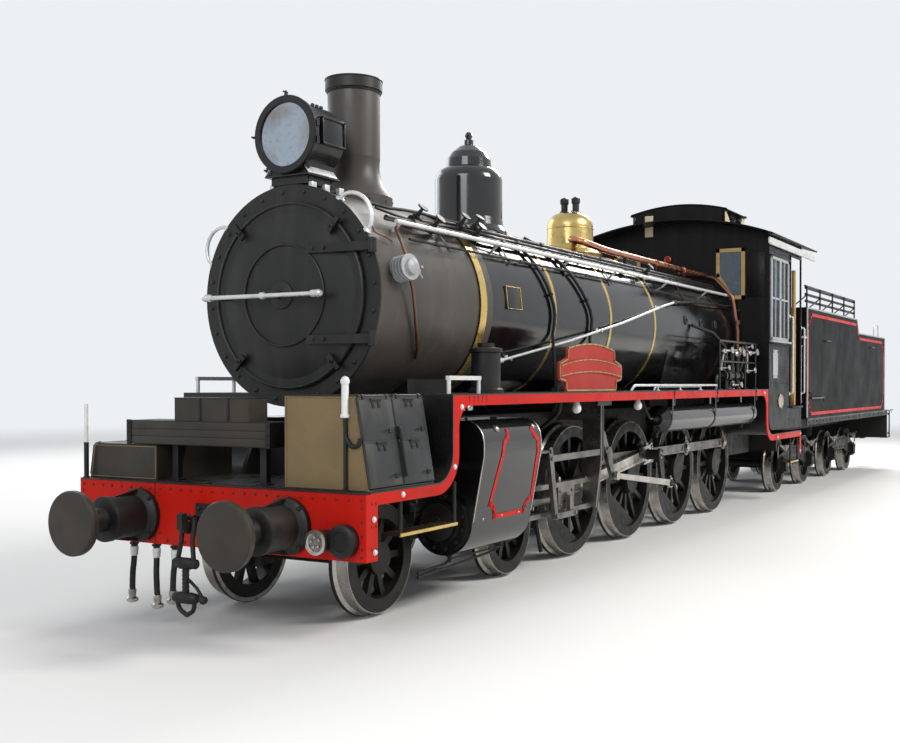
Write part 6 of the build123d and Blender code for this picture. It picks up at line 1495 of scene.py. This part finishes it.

# %% [markdown]
# ## Reach rod and injector frame
# A silver rod runs slantwise along the boiler from the motion to a pinned joint. Its rear
# length, almost level, runs on to the cab front and is painted black as painted shadow of the
# cab. Beside the firebox, a frame of pipes carries the injectors, their valves and unions.

# %% Reach rod, pipe frame and valves
reach, reach_rear_painted_shadow, frame_pipes, valves = new(4)
for hand in (1, -1):
    def boiler_side(x, z, off):
        """A point standing off the boiler's side at a place along it and a height."""
        return Vector((x, hand * math.sqrt((0.745 + off) ** 2 - (z - BOILER_Z) ** 2), z))

    if hand > 0:
        pipe(reach, [boiler_side(5.57, 1.73, 0.045), boiler_side(4.5, 1.92, 0.045),
            boiler_side(3.4, 2.13, 0.045), boiler_side(2.34, 2.345, 0.045), boiler_side(1.9, 2.42,
            0.045)], 0.012)
        for x, z in ((5.42, 1.757), (3.9, 2.033), (2.4, 2.333)):
            turned(reach, [(0.026, 0), (0.026, 0.008), (0.012, 0.012), (0.012, 0.06),
                (0.0, 0.062)], boiler_side(x, z, 0.0), boiler_side(x, z, 1)
                - Vector((x, 0, BOILER_Z)), 12)
        turned(reach, [(0.022, -0.03), (0.024, 0), (0.022, 0.03)], boiler_side(5.57, 1.73, 0.045),
            (1, 0, -0.1), 12)
        # The rear length and its joint pin are painted black as painted shadow of the cab.
        pipe(reach_rear_painted_shadow, [boiler_side(1.9, 2.42, 0.045), boiler_side(1.2, 2.47, 0.045),
            boiler_side(-0.198, 2.5, 0.045)], 0.012)
        turned(reach_rear_painted_shadow, both_ends((0.0, 0.02), (0.024, 0.02)), boiler_side(1.9, 2.42, 0.045),
            (0, 1, 0), 14)
        turned(reach_rear_painted_shadow, [(0.03, 0.0), (0.03, 0.01), (0.02, 0.016)], boiler_side(-0.196, 2.5,
            0.045), FORE, 14)
    y = hand * 1.045
    for x in (-0.06, 0.36, 1.3):
        pipe(frame_pipes, [(x, y, 1.4865), (x, y, 2.03)], 0.013)
        turned(frame_pipes, [(0.034, 0), (0.034, 0.01), (0.016, 0.016)], (x, y, 1.4865), UP, 14)
    pipe(frame_pipes, [(-0.1, y, 2.03), (1.32, y, 2.03)], 0.014)
    pipe(frame_pipes, [(-0.06, y, 1.8), (1.3, y, 1.8)], 0.011)
    pipe(frame_pipes, [(-0.198, hand * 0.96, 1.92), (0.05, hand * 0.96, 1.92), (0.2, hand * 0.985,
        1.86), (0.44, hand * 0.985, 1.655)], 0.017, 0.06)
    pipe(frame_pipes, [(0.86, hand * 0.985, 1.78), (0.86, hand * 0.97, 1.96),
        (1.1, hand * 0.9, 2.12), (1.4, hand * 0.76, 2.2)], 0.019, 0.08, 12)
    pipe(frame_pipes, [(1.044, hand * 0.985, 1.64), (1.24, hand * 0.985, 1.64),
        (1.24, hand * 0.985, BOARD_TOP)], 0.02, 0.06)
    for x, z, size in ((0.02, 1.92, 0.034), (0.24, 1.98, 0.026), (0.56, 1.9, 0.036),
            (0.72, 1.93, 0.026), (1.00, 1.92, 0.032), (0.12, 1.7, 0.03), (0.66, 1.53, 0.03),
            (1.12, 1.72, 0.026)):
        turned(valves, both_ends((size * 0.4, 0.06), (size * 0.5, 0.05), (size, 0.03)),
            (x, hand * 1.0, z), FORE, 12)
        turned(valves, [(size * 0.55, 0.0), (size * 0.55, 0.05), (size * 0.3, 0.06),
            (size * 0.3, 0.085), (size * 1.15, 0.087), (size * 1.25, 0.096), (size * 1.15, 0.104),
            (0.0, 0.104)], (x, hand * 1.0, z), (0, hand, 0.1), 12)
    pipe(valves, [(0.02, hand * 1.0, 1.92), (0.24, hand * 1.0, 1.98), (0.56, hand * 1.0, 1.9),
        (0.72, hand * 1.0, 1.93), (1.0, hand * 1.0, 1.92), (1.12, hand * 1.0, 1.72)], 0.011, 0.05,
        8)
    pipe(valves, [(0.12, hand * 1.0, 1.7), (0.12, hand * 1.0, 1.92)], 0.01, 0, 8)
    pipe(valves, [(0.66, hand * 1.0, 1.4865), (0.66, hand * 0.99, 1.6)], 0.012, 0, 8)
piece("reach_rod", reach, "silver_paint")
piece("reach_rod_rear_painted_shadow", reach_rear_painted_shadow, "black_satin")
piece("injector_pipe_frame", frame_pipes, "black_satin")
piece("injector_valves", valves, "bright_steel")

# %% [markdown]
# ## Cab
# The front windows sit in pale wooden frames. Each side has a tall sliding window of two
# leaves with glazing bars, a pale gutter under the eaves, grab rails at the doorway, a
# varnished strip beside it and one bare oval plate below.

# %% Window frames, glazing bars and gutter
CAB_SIDE = 1.1755
frames, sashes, gutter, cab_iron, grabs, ovals, rims = new(7)
for hand in (1, -1):
    outline = [(0.53, 3.201), (0.851, 3.201), (0.851, 2.617), (0.705, 2.617), (0.53, 2.897)]
    ribbon(frames, [(-0.2, hand * half, z) for half, z in outline], FORE, 0.046, 0.016, True)
    ribbon(frames, [(-0.212, hand * half, z) for half, z in outline], AFT, 0.032, 0.012, True)
    block(cab_iron, (-0.199, hand * 0.9, 2.62), (-0.184, hand * 1.12, 3.16), 0.003)
    studs(cab_iron, [(-0.184, hand * y, z) for y in (0.92, 1.1) for z in (2.65, 2.89, 3.13)],
        FORE, 0.01)
    out = hand * CAB_SIDE
    for low, high in (((-1.052, 2.086), (-1.012, 3.12)), ((-0.278, 2.086), (-0.238, 3.12)),
            ((-1.052, 3.08), (-0.238, 3.12)), ((-1.052, 2.086), (-0.238, 2.126)),
            ((-0.675, 2.126), (-0.615, 3.08)), ((-1.012, 2.59), (-0.278, 2.616))):
        block(sashes, (low[0], out, low[1]), (high[0], out + hand * 0.02, high[1]), 0.003)
    for x in (-0.845, -0.445):
        block(sashes, (x - 0.01, out, 2.126), (x + 0.01, out + hand * 0.014, 3.08), 0.002)
    block(sashes, (-1.08, out, 2.06), (-0.215, out + hand * 0.05, 2.084), 0.004)
    for z in (3.128, 2.05):
        block(cab_iron, (-1.12, out, z - 0.01), (-0.205, out + hand * 0.028, z + 0.004), 0.003)
    ribbon(gutter, [(-0.145, hand * 1.188, 3.292), (-2.3, hand * 1.188, 3.292)], (0, hand, 0),
        0.07, 0.02)
    pipe(gutter, [(-0.135, hand * 1.206, 3.256), (-2.31, hand * 1.206, 3.256)], 0.018)
    for x in (-0.3, -1.05, -1.72):
        block(gutter, (x - 0.014, hand * CAB_SIDE, 3.262), (x + 0.014, hand * 1.19, 3.322), 0.002)
    block(gutter, (-2.3, hand * CAB_SIDE, 3.262), (-1.75, hand * 1.188, 3.322), 0.002)
    for x, low, high in ((-1.14, 1.42, 2.42), (-1.728, 1.42, 2.3)):
        pipe(grabs, [(x, hand * 1.176, low), (x, hand * 1.222, low + 0.012),
            (x, hand * 1.222, high - 0.012), (x, hand * 1.176, high)], 0.011, 0.02)
        for z in (low, high):
            turned(grabs, [(0.024, 0), (0.024, 0.006), (0.012, 0.012)], (x, hand * CAB_SIDE, z),
                (0, hand, 0), 14)
    centre = Vector((-0.72, hand * CAB_SIDE, 1.33))
    ring = [centre + Vector((0.115 * cosd(a), 0, 0.082 * sind(a))) for a in range(0, 360, 12)]
    slab(ovals, ring, (0, hand * 0.006, 0), 0.001)
    pipe(rims, [point + Vector((0, hand * 0.006, 0)) for point in ring + ring[:1]], 0.006, 0, 8)
    studs(rims, [centre + Vector((x, hand * 0.006, 0)) for x in (-0.098, 0.098)], (0, hand, 0),
        0.006, 8)
    block(ovals, (-0.585, hand * CAB_SIDE, 1.62), (-0.365, hand * 1.181, 1.97), 0.002)
    studs(cab_iron, [(x, hand * CAB_SIDE, z) for x in (-0.56, -0.39) for z in (1.645, 1.945)],
        (0, hand, 0), 0.012)
    rivets = []
    for start, end in (((-0.222, 1.52), (-0.222, 2.00)), ((-0.222, 3.18), (-1.12, 3.18)),
            ((-1.122, 1.02), (-1.122, 3.16)), ((-0.26, 1.56), (-1.08, 1.56)),
            ((-0.26, 2.02), (-1.08, 2.02)), ((-1.2, 1.225), (-1.68, 1.225)),
            ((-1.735, 1.02), (-1.735, 3.16))):
        rivets += row((start[0], hand * 1.175, start[1]), (end[0], hand * 1.175, end[1]), 0.075)
    studs(cab_iron, rivets, (0, hand, 0), 0.0065, 8)
    studs(cab_iron, row((-0.2, hand * 0.9, 1.6), (-0.2, hand * 0.9, 2.5), 0.075)
        + row((-0.2, hand * 1.15, 1.55), (-0.2, hand * 1.15, 3.2), 0.075), FORE, 0.0065, 8)
    block(cab_iron, (-1.7, hand * CAB_SIDE, 1.236), (-1.17, hand * 1.215, 1.258), 0.004)
    ribbon(cab_iron, [(-1.176, hand * CAB_SIDE, 1.26), (-1.176, hand * CAB_SIDE, 3.204),
        (-1.694, hand * CAB_SIDE, 3.204), (-1.694, hand * CAB_SIDE, 1.26)], (0, hand, 0), 0.022,
        0.01)
piece("cab_front_window_frames", frames, "wood_varnish")
piece("cab_side_sashes", sashes, "pale_grey")
piece("cab_gutters", gutter, "silver_paint")
piece("cab_plates_rivets_and_beads", cab_iron, "cab_black")
piece("cab_grab_rails", grabs, "silver_paint")
piece("cab_bare_plates", ovals, "pale_grey")
piece("cab_oval_rims", rims, "brass")

# %% Roof ribs, ventilator shutters, marker light and small front plate
ROOF_R, ROOF_MIDDLE = 3.707, -0.119
roof = new()
for x in (-0.145, -1.05, -1.68, -2.335):
    arc = [(x, ROOF_R * sind(a), ROOF_MIDDLE + (ROOF_R + 0.003) * cosd(a))
        for a in [1.2 * k for k in range(-16, 17)]]
    pipe(roof, arc, 0.008, 0, 6)
for hand in (1, -1):
    pipe(roof, [(-0.13, hand * 1.229, 3.376), (-2.35, hand * 1.229, 3.376)], 0.012, 0, 8)
    for x in (-0.32, -0.6, -0.88):
        block(roof, (x - 0.1, hand * 0.5805, 3.5), (x + 0.1, hand * 0.592, 3.69), 0.003)
        for z in (3.53, 3.57, 3.61, 3.65):
            slab(roof, [(x - 0.09, hand * 0.592, z), (x + 0.09, hand * 0.592, z),
                (x + 0.09, hand * 0.61, z - 0.018), (x - 0.09, hand * 0.61, z - 0.018)],
                (0, 0, 0.004))
    pipe(roof, [(-0.196, hand * 0.645, 3.71), (-1.004, hand * 0.645, 3.71)], 0.008, 0, 8)
VENT_HALF = 0.64
arc = [k / 16 * VENT_HALF for k in range(-16, 17)]
for x in (-0.196, -1.004):
    pipe(roof, [(x, y, 3.722 + 0.089 * (1 - (y / VENT_HALF) ** 2)) for y in arc], 0.009, 0, 6)
piece("roof_ribs_and_shutters", roof, "cab_black")
vent_ends = new()
for hand in (1, -1):
    for x, way in ((-0.202, -1), (-0.998, 1)):
        slab(vent_ends, [(x, hand * 0.6125, 3.5), (x + way * 0.3, hand * 0.6125, 3.5),
            (x + way * 0.04, hand * 0.6125, 3.7), (x, hand * 0.6125, 3.7)], (0, hand * 0.006, 0),
            0.001)
block(vent_ends, (-0.1995, -0.445, 3.43), (-0.184, -0.335, 3.7), 0.003)
piece("ventilator_end_panels", vent_ends, "cream_paint")
marker = new()
turned(marker, [(0.045, 0), (0.045, 0.02), (0.03, 0.034), (0.03, 0.038), (0.0, 0.042)],
    (-0.1995, -0.132, 3.129), FORE, 28)
piece("cab_front_marker_light", marker, "plate_red")
marker_ring = new()
pipe(marker_ring, circle((-0.178, -0.132, 3.129), 0.038, range(0, 361, 15)), 0.007, 0, 8)
piece("cab_front_marker_ring", marker_ring, "copper")
strip = new()
for hand in (1, -1):
    block(strip, (-1.56, hand * 1.07, 1.262), (-1.18, hand * 1.1, 1.9), 0.004)
    for x in (-1.53, -1.21):
        block(strip, (x - 0.03, hand * 1.105, 1.262), (x + 0.03, hand * 1.15, 3.05), 0.004)
    for z in (2.1, 2.6):
        block(strip, (-1.19, hand * 1.115, z), (-0.3, hand * 1.15, z + 0.05) if z < 2.2
            else (-1.18, hand * 1.15, z + 0.05), 0.003)
piece("cab_varnished_doors_and_posts", strip, "wood_varnish")

# %% Backhead: fire door, gauges, regulator, water glasses and the driver's handles
BACKHEAD_X = -0.49
backhead_iron, backhead_brass, dials = new(3)
upper = [angle for angle in range(0, 360, 15) if sind(angle) > -0.5]
studs(backhead_iron, [around(0.665, angle, BACKHEAD_X) for angle in upper], AFT, 0.016, 8)
for y in (-0.1, 0.1):
    block(backhead_iron, (-0.545, y - 0.095, 1.53), (-0.5205, y + 0.095, 1.77), 0.006)
    block(backhead_iron, (-0.565, y * 1.6 - 0.012, 1.6), (-0.545, y * 1.6 + 0.012, 1.7), 0.003)
pipe(backhead_iron, [(-0.55, -0.3, 1.8), (-0.55, 0.3, 1.8)], 0.01, 0, 8)
turned(backhead_iron, [(0.06, 0), (0.06, 0.02), (0.035, 0.03), (0.03, 0.12), (0.0, 0.125)],
    (BACKHEAD_X, 0, 2.42), AFT, 20)
pipe(backhead_iron, [(-0.6, 0.02, 2.42), (-0.615, 0.22, 2.36), (-0.62, 0.46, 2.28)], 0.013, 0.03)
turned(backhead_iron, [(0.0, 0), (0.02, 0.004), (0.02, 0.1), (0.0, 0.104)], (-0.62, 0.44, 2.285),
    (0, 0.95, -0.3), 12)
for y, z, size in ((0.18, 2.72, 0.062), (-0.16, 2.7, 0.052), (-0.4, 2.55, 0.045)):
    turned(backhead_brass, [(size, 0), (size, 0.04), (size * 0.84, 0.046), (size * 0.84, 0.036),
        (0.0, 0.036)], (BACKHEAD_X, y, z), AFT, 28)
    turned(dials, [(size * 0.82, 0), (size * 0.82, 0.002), (0.0, 0.002)], (-0.526, y, z), AFT)
for y in (-0.3, 0.3):
    for z in (2.00, 2.26):
        turned(backhead_brass, [(0.026, 0), (0.026, 0.05), (0.016, 0.06), (0.016, 0.075),
            (0.0, 0.078)], (BACKHEAD_X, y, z), AFT, 14)
        pipe(backhead_brass, [(-0.545, y, z), (-0.545, y + 0.09, z)], 0.007, 0, 8)
    pipe(backhead_brass, [(-0.545, y, 1.985), (-0.545, y, 2.275)], 0.012, 0, 12)
pipe(backhead_brass, [(BACKHEAD_X, -0.4, 2.55), (-0.58, -0.52, 2.42), (-0.56, -0.56, 1.9),
    (-0.53, -0.5, 1.4), (-0.5, -0.5, 1.262)], 0.012, 0.06)
piece("backhead_fittings", backhead_iron, "iron_black")
piece("backhead_brass_fittings", backhead_brass, "brass")
piece("backhead_dials", dials, "cream_paint")
inside = new()
turned(inside, [(0.05, 0), (0.05, 0.02), (0.022, 0.04), (0.022, 0.7), (0.03, 0.72), (0.0, 0.74)],
    (-0.62, 0.72, 1.2605), UP, 16)
turned(inside, [(0.15, -0.012), (0.164, 0.0), (0.15, 0.012), (0.138, 0.0), (0.15, -0.012)],
    (-0.72, 0.72, 1.94), (-1, 0, 0.15), 32)
pipe(inside, [(-0.6, 0.72, 1.925), (-0.74, 0.72, 1.945)], 0.016)
for a in (0, 60, 120):
    out = Vector((0, cosd(a), sind(a))) * 0.145
    hub = Vector((-0.72, 0.72, 1.94))
    pipe(inside, [hub - out, hub + out], 0.008, 0, 8)
piece("reverser_wheel_and_stand", inside, "black_satin")
cushions = new()
for y in (-0.95, 0.95):
    block(cushions, (-1.085, y - 0.145, 1.7605), (-0.715, y + 0.145, 1.815), 0.018)
    for k in range(5):
        x = -0.9 + (k - 2) * 0.09
        pipe(cushions, [(x, y - 0.145, 1.812), (x, y + 0.145, 1.812)], 0.006, 0, 6)
piece("seat_cushions", cushions, "rubber")
print("cab:", len(made_pieces), "pieces so far")

# %% [markdown]
# ## Tender
# The tank sides have a red line with notched corners, a pale bead along the stepped top
# edge and close rivet rows. The rear, which the photo doesn't show, is given a ladder,
# grab rails and a screw coupling in the same manner as the front.

# %% Tank lining, top bead and rivets
TANK_SIDE = 1.175
tank_lining, tank_bead, tank_iron = new(3)
for hand in (1, -1):
    y = hand * 1.1752
    outline = [(-2.205, 2.4), (-2.15, 2.38), (-2.12, 2.32), (-2.12, 1.33), (-2.175, 1.25),
        (-2.24, 1.19), (-2.28, 1.135), (-7.42, 1.135), (-7.47, 1.2), (-7.56, 1.27), (-7.6, 1.33),
        (-7.6, 2.13), (-7.56, 2.19), (-7.48, 2.235), (-7.43, 2.285), (-5.5, 2.285), (-5.43, 2.32),
        (-5.33, 2.48), (-5.25, 2.505), (-2.29, 2.505), (-2.25, 2.44)]
    ribbon(tank_lining, [(x, y, z) for x, z in outline], (0, hand, 0), 0.042, 0.003, True)
    top = [(-2.062, 1.09), (-2.062, 2.59), (-5.298, 2.59), (-5.418, 2.372), (-7.688, 2.372),
        (-7.688, 1.09)]
    pipe(tank_bead, [(x, hand * 1.176, z) for x, z in top], 0.013, 0.03)
    rivets = []
    for start, end in (((-2.085, 1.12), (-2.085, 2.55)), ((-2.1, 2.56), (-5.29, 2.56)),
            ((-5.45, 2.342), (-7.66, 2.342)), ((-7.662, 1.12), (-7.662, 2.33)),
            ((-2.1, 1.1), (-7.66, 1.1)), ((-3.9, 1.16), (-3.9, 2.47)),
            ((-5.6, 1.16), (-5.6, 2.25))):
        rivets += row((start[0], hand * TANK_SIDE, start[1]), (end[0], hand * TANK_SIDE, end[1]),
            0.06)
    studs(tank_iron, rivets, (0, hand, 0), 0.006, 8)
    ribbon(tank_iron, [(-2.07, hand * 1.1752, 1.06), (-8.53, hand * 1.1752, 1.06)], (0, hand, 0),
        0.02, 0.012)
    studs(tank_iron, row((-2.2, hand * TANK_SIDE, 1.02), (-8.4, hand * TANK_SIDE, 1.02), 0.4),
        (0, hand, 0), 0.012)
    for x in (-3.2, -6.5):
        pipe(tank_iron, [(x - 0.14, hand * TANK_SIDE, 2.16), (x - 0.14, hand * 1.205, 2.17),
            (x + 0.14, hand * 1.205, 2.17), (x + 0.14, hand * TANK_SIDE, 2.16)], 0.009, 0.02, 8)
    pipe(tank_iron, [(-2.163, hand * TANK_SIDE, 1.43), (-2.163, hand * 1.215, 1.43),
        (-2.163, hand * 1.215, 1.352), (-2.86, hand * 1.215, 1.352), (-2.9, hand * 1.215, 1.3)],
        0.012, 0.02, 8)
    for x in (-2.32, -2.7):
        pipe(tank_iron, [(x, hand * TANK_SIDE, 1.352), (x, hand * 1.217, 1.352)], 0.016, 0, 8)
piece("tank_red_lining", tank_lining, "lining_red", "tender")
piece("tank_edge_beads", tank_bead, "pale_grey", "tender")
piece("tank_rivets_and_hooks", tank_iron, "black_satin", "tender")

# %% Front of the tank: shovel plate, lockers, brake pillar, grab rails and the pale step
TANK_FRONT = -2.0595
front_iron, front_pale = new(2)
for hand in (1, -1):
    block(front_iron, (TANK_FRONT, hand * 0.52, 1.3), (-1.975, hand * 0.9, 1.62), 0.008)
    block(front_iron, (-1.977, hand * 0.55, 1.34), (-1.968, hand * 0.87, 1.58), 0.004)
    turned(front_iron, [(0.018, 0), (0.018, 0.01), (0.024, 0.014), (0.0, 0.022)],
        (-1.968, hand * 0.6, 1.44), FORE, 14)
    turned(front_iron, [(0.04, 0), (0.04, 0.02), (0.02, 0.03), (0.02, 0.66), (0.028, 0.68),
        (0.0, 0.7)], (-2.015, hand * 0.74, 1.619), UP, 16)
    pipe(front_iron, [(-2.015, hand * 0.74, 2.27), (-1.94, hand * 0.66, 2.27),
        (-1.94, hand * 0.66, 2.37)], 0.011, 0.015, 8)
    pipe(front_pale, [(-2.06, hand * 1.1, 1.3), (-2.015, hand * 1.1, 1.31), (-2.015, hand * 1.1,
        2.06), (-2.06, hand * 1.1, 2.07)], 0.012, 0.02)
    block(front_pale, (-2.055, hand * 1.115, 2.168), (-1.9, hand * 1.173, 2.197), 0.006)
ribbon(front_iron, [(TANK_FRONT, 0.365, 1.3), (TANK_FRONT, 0.365, 1.915), (TANK_FRONT, -0.365,
    1.915), (TANK_FRONT, -0.365, 1.3)], FORE, 0.028, 0.012)
studs(front_iron, row((-2.06, -1.13, 2.55), (-2.06, 1.13, 2.55), 0.07), FORE, 0.006, 8)
piece("tender_front_lockers_and_brake", front_iron, "cab_black", "tender")
piece("tender_front_grabs_and_steps", front_pale, "silver_paint", "tender")

# %% Rail caps and posts
caps = new()
for hand in (1, -1):
    pipe(caps, [(-2.085, hand * 1.136, 2.892), (-5.275, hand * 1.136, 2.892)], 0.014)
    for x in (-2.14, -2.9, -3.68, -4.46, -5.22):
        studs(caps, [(x, hand * 1.158, z) for z in (2.688, 2.778, 2.868)], (0, hand, 0), 0.008)
        pipe(caps, [(x, hand * 1.149, 2.598), (x, hand * 1.149, 2.9)], 0.01, 0, 8)
        pipe(caps, [(x, hand * 1.136, 2.76), (x, hand * 0.94, 2.6)], 0.009, 0, 8)
piece("tender_rail_caps_and_stays", caps, "black_satin", "tender")

# %% Rear of the tender: ladder, grabs, lamp irons, beam bolts and steps
TANK_REAR = -7.69
rear, rear_pale = new(2)
for y in (0.3, 0.66):
    pipe(rear, [(TANK_REAR, y, 2.36), (-7.76, y, 2.35), (-7.76, y, 1.16), (TANK_REAR, y, 1.1)],
        0.012, 0.03, 8)
for k in range(5):
    z = 1.28 + 0.235 * k
    pipe(rear, [(-7.76, 0.3, z), (-7.76, 0.66, z)], 0.011, 0, 8)
for hand in (1, -1):
    pipe(rear_pale, [(TANK_REAR, hand * 1.08, 1.35), (-7.74, hand * 1.08, 1.36),
        (-7.74, hand * 1.08, 2.1), (TANK_REAR, hand * 1.08, 2.11)], 0.011, 0.02)
    pipe(rear_pale, [(-7.6, hand * 1.08, 2.378), (-7.6, hand * 1.08, 2.6), (-7.2, hand * 1.08,
        2.6), (-7.2, hand * 1.08, 2.378)], 0.011, 0.05)
    block(rear, (-7.705, hand * 0.84, 2.2), (-7.6895, hand * 0.96, 2.32), 0.003)
    block(rear, (-7.73, hand * 0.885, 2.24), (-7.7, hand * 0.915, 2.4), 0.003)
    studs(rear, row((TANK_REAR, hand * 1.13, 1.12), (TANK_REAR, hand * 1.13, 2.34), 0.06), AFT,
        0.006, 8)
    studs(rear, [(-8.55, hand * y, z) for y in (0.4, 0.82, 1.1) for z in (0.62, 0.98)], AFT, 0.016)
    for x in (-8.46, -8.16):
        pipe(rear, [(x, hand * 1.13, 1.04), (x, hand * 1.13, 0.56)], 0.012, 0, 8)
    block(rear, (-8.49, hand * 1.02, 0.548), (-8.13, hand * 1.15, 0.566), 0.004)
studs(rear, row((TANK_REAR, -1.1, 2.34), (TANK_REAR, 1.1, 2.34), 0.06), AFT, 0.006, 8)
studs(rear, row((TANK_REAR, -1.1, 1.105), (TANK_REAR, 1.1, 1.105), 0.06), AFT, 0.006, 8)
turned(rear, [(0.06, 0), (0.06, 0.05), (0.075, 0.055), (0.075, 0.07), (0.0, 0.075)],
    (TANK_REAR, -0.62, 2.15), AFT)
piece("tender_rear_ladder_and_steps", rear, "black_satin", "tender")
piece("tender_rear_grab_rails", rear_pale, "silver_paint", "tender")

# %% Filler rim, lid straps and handle
FILLER_X = -6.9
filler = new()
for a in range(0, 360, 30):
    studs(filler, circle((FILLER_X, 0, 2.42), 0.231, [a], "z"), (cosd(a), sind(a), 0), 0.009, 8)
pipe(filler, circle((FILLER_X, 0, 2.382), 0.232, range(0, 361, 10), "z"), 0.007, 0, 6)
piece("filler_rivets", filler, "black_satin", "tender")
lid = new()
for y in (-0.09, 0.09):
    block(lid, (-7.12, y - 0.018, 2.5045), (-6.68, y + 0.018, 2.512), 0.003)
pipe(lid, [(-6.72, -0.07, 2.505), (-6.7, -0.07, 2.56), (-6.7, 0.07, 2.56), (-6.72, 0.07, 2.505)],
    0.01, 0.02)
turned(lid, [(0.05, 0), (0.045, 0.012), (0.02, 0.018), (0.0, 0.019)], (FILLER_X, 0, 2.5045), UP,
    20)
piece("filler_lid_straps", lid, "black_satin", "filler_lid")

# %% Tender bogies: axlebox lids, springs, bolts and brake beams
HALF_BASE = 0.75
SPRING_Y, SAG = 0.708, 0.018
for number, middle in ((1, -3.35), (2, -6.4)):
    irons, springs = new(2)
    for hand in (1, -1):
        for x in (middle + HALF_BASE, middle - HALF_BASE):
            face = hand * 0.737
            block(irons, (x - 0.075, face, 0.3), (x + 0.075, face + hand * 0.03, 0.475), 0.01)
            studs(irons, [(x + sx * 0.082, face, z) for sx in (-1, 1) for z in (0.3, 0.48)],
                (0, hand, 0), 0.009)
            turned(irons, [(0.014, 0), (0.014, 0.012), (0.0, 0.014)], (x, face + hand * 0.03,
                0.44), (0, hand, 0), 10)
            for k in range(5):
                length = 0.3 - 0.045 * k
                z = 0.655 - 0.014 * k
                points = [(x - length, hand * SPRING_Y, z + SAG * 1.3),
                    (x - length * 0.5, hand * SPRING_Y, z + 0.006), (x, hand * SPRING_Y, z),
                    (x + length * 0.5, hand * SPRING_Y, z + 0.006), (x + length, hand * SPRING_Y,
                    z + SAG * 1.3)]
                ribbon(springs, points, (0, hand * 0.0001, 1), 0.065, 0.01)
            block(springs, (x - 0.032, hand * 0.67, 0.585), (x + 0.032, hand * 0.748, 0.678),
                0.004)
            for side in (-1, 1):
                pipe(springs, [(x + side * 0.285, hand * SPRING_Y, 0.69),
                    (x + side * 0.275, hand * 0.706, 0.5)], 0.011, 0, 8)
        studs(irons, [(middle + x, hand * 0.6855, z) for x in (-0.3, -0.1, 0.1, 0.3)
            for z in (0.46, 0.6)], (0, hand, 0), 0.013)
    for x in (middle + 0.29, middle - 0.29):
        pipe(irons, [(x, -0.6, 0.4), (x, 0.6, 0.4)], 0.02)
    piece(f"tender_bogie_{number}_boxes", irons, "iron_black", f"tender_bogie_{number}")
    piece(f"tender_bogie_{number}_springs", springs, "oily_steel_and_painted_shade", f"tender_bogie_{number}")
print("tender:", len(made_pieces), "pieces so far")
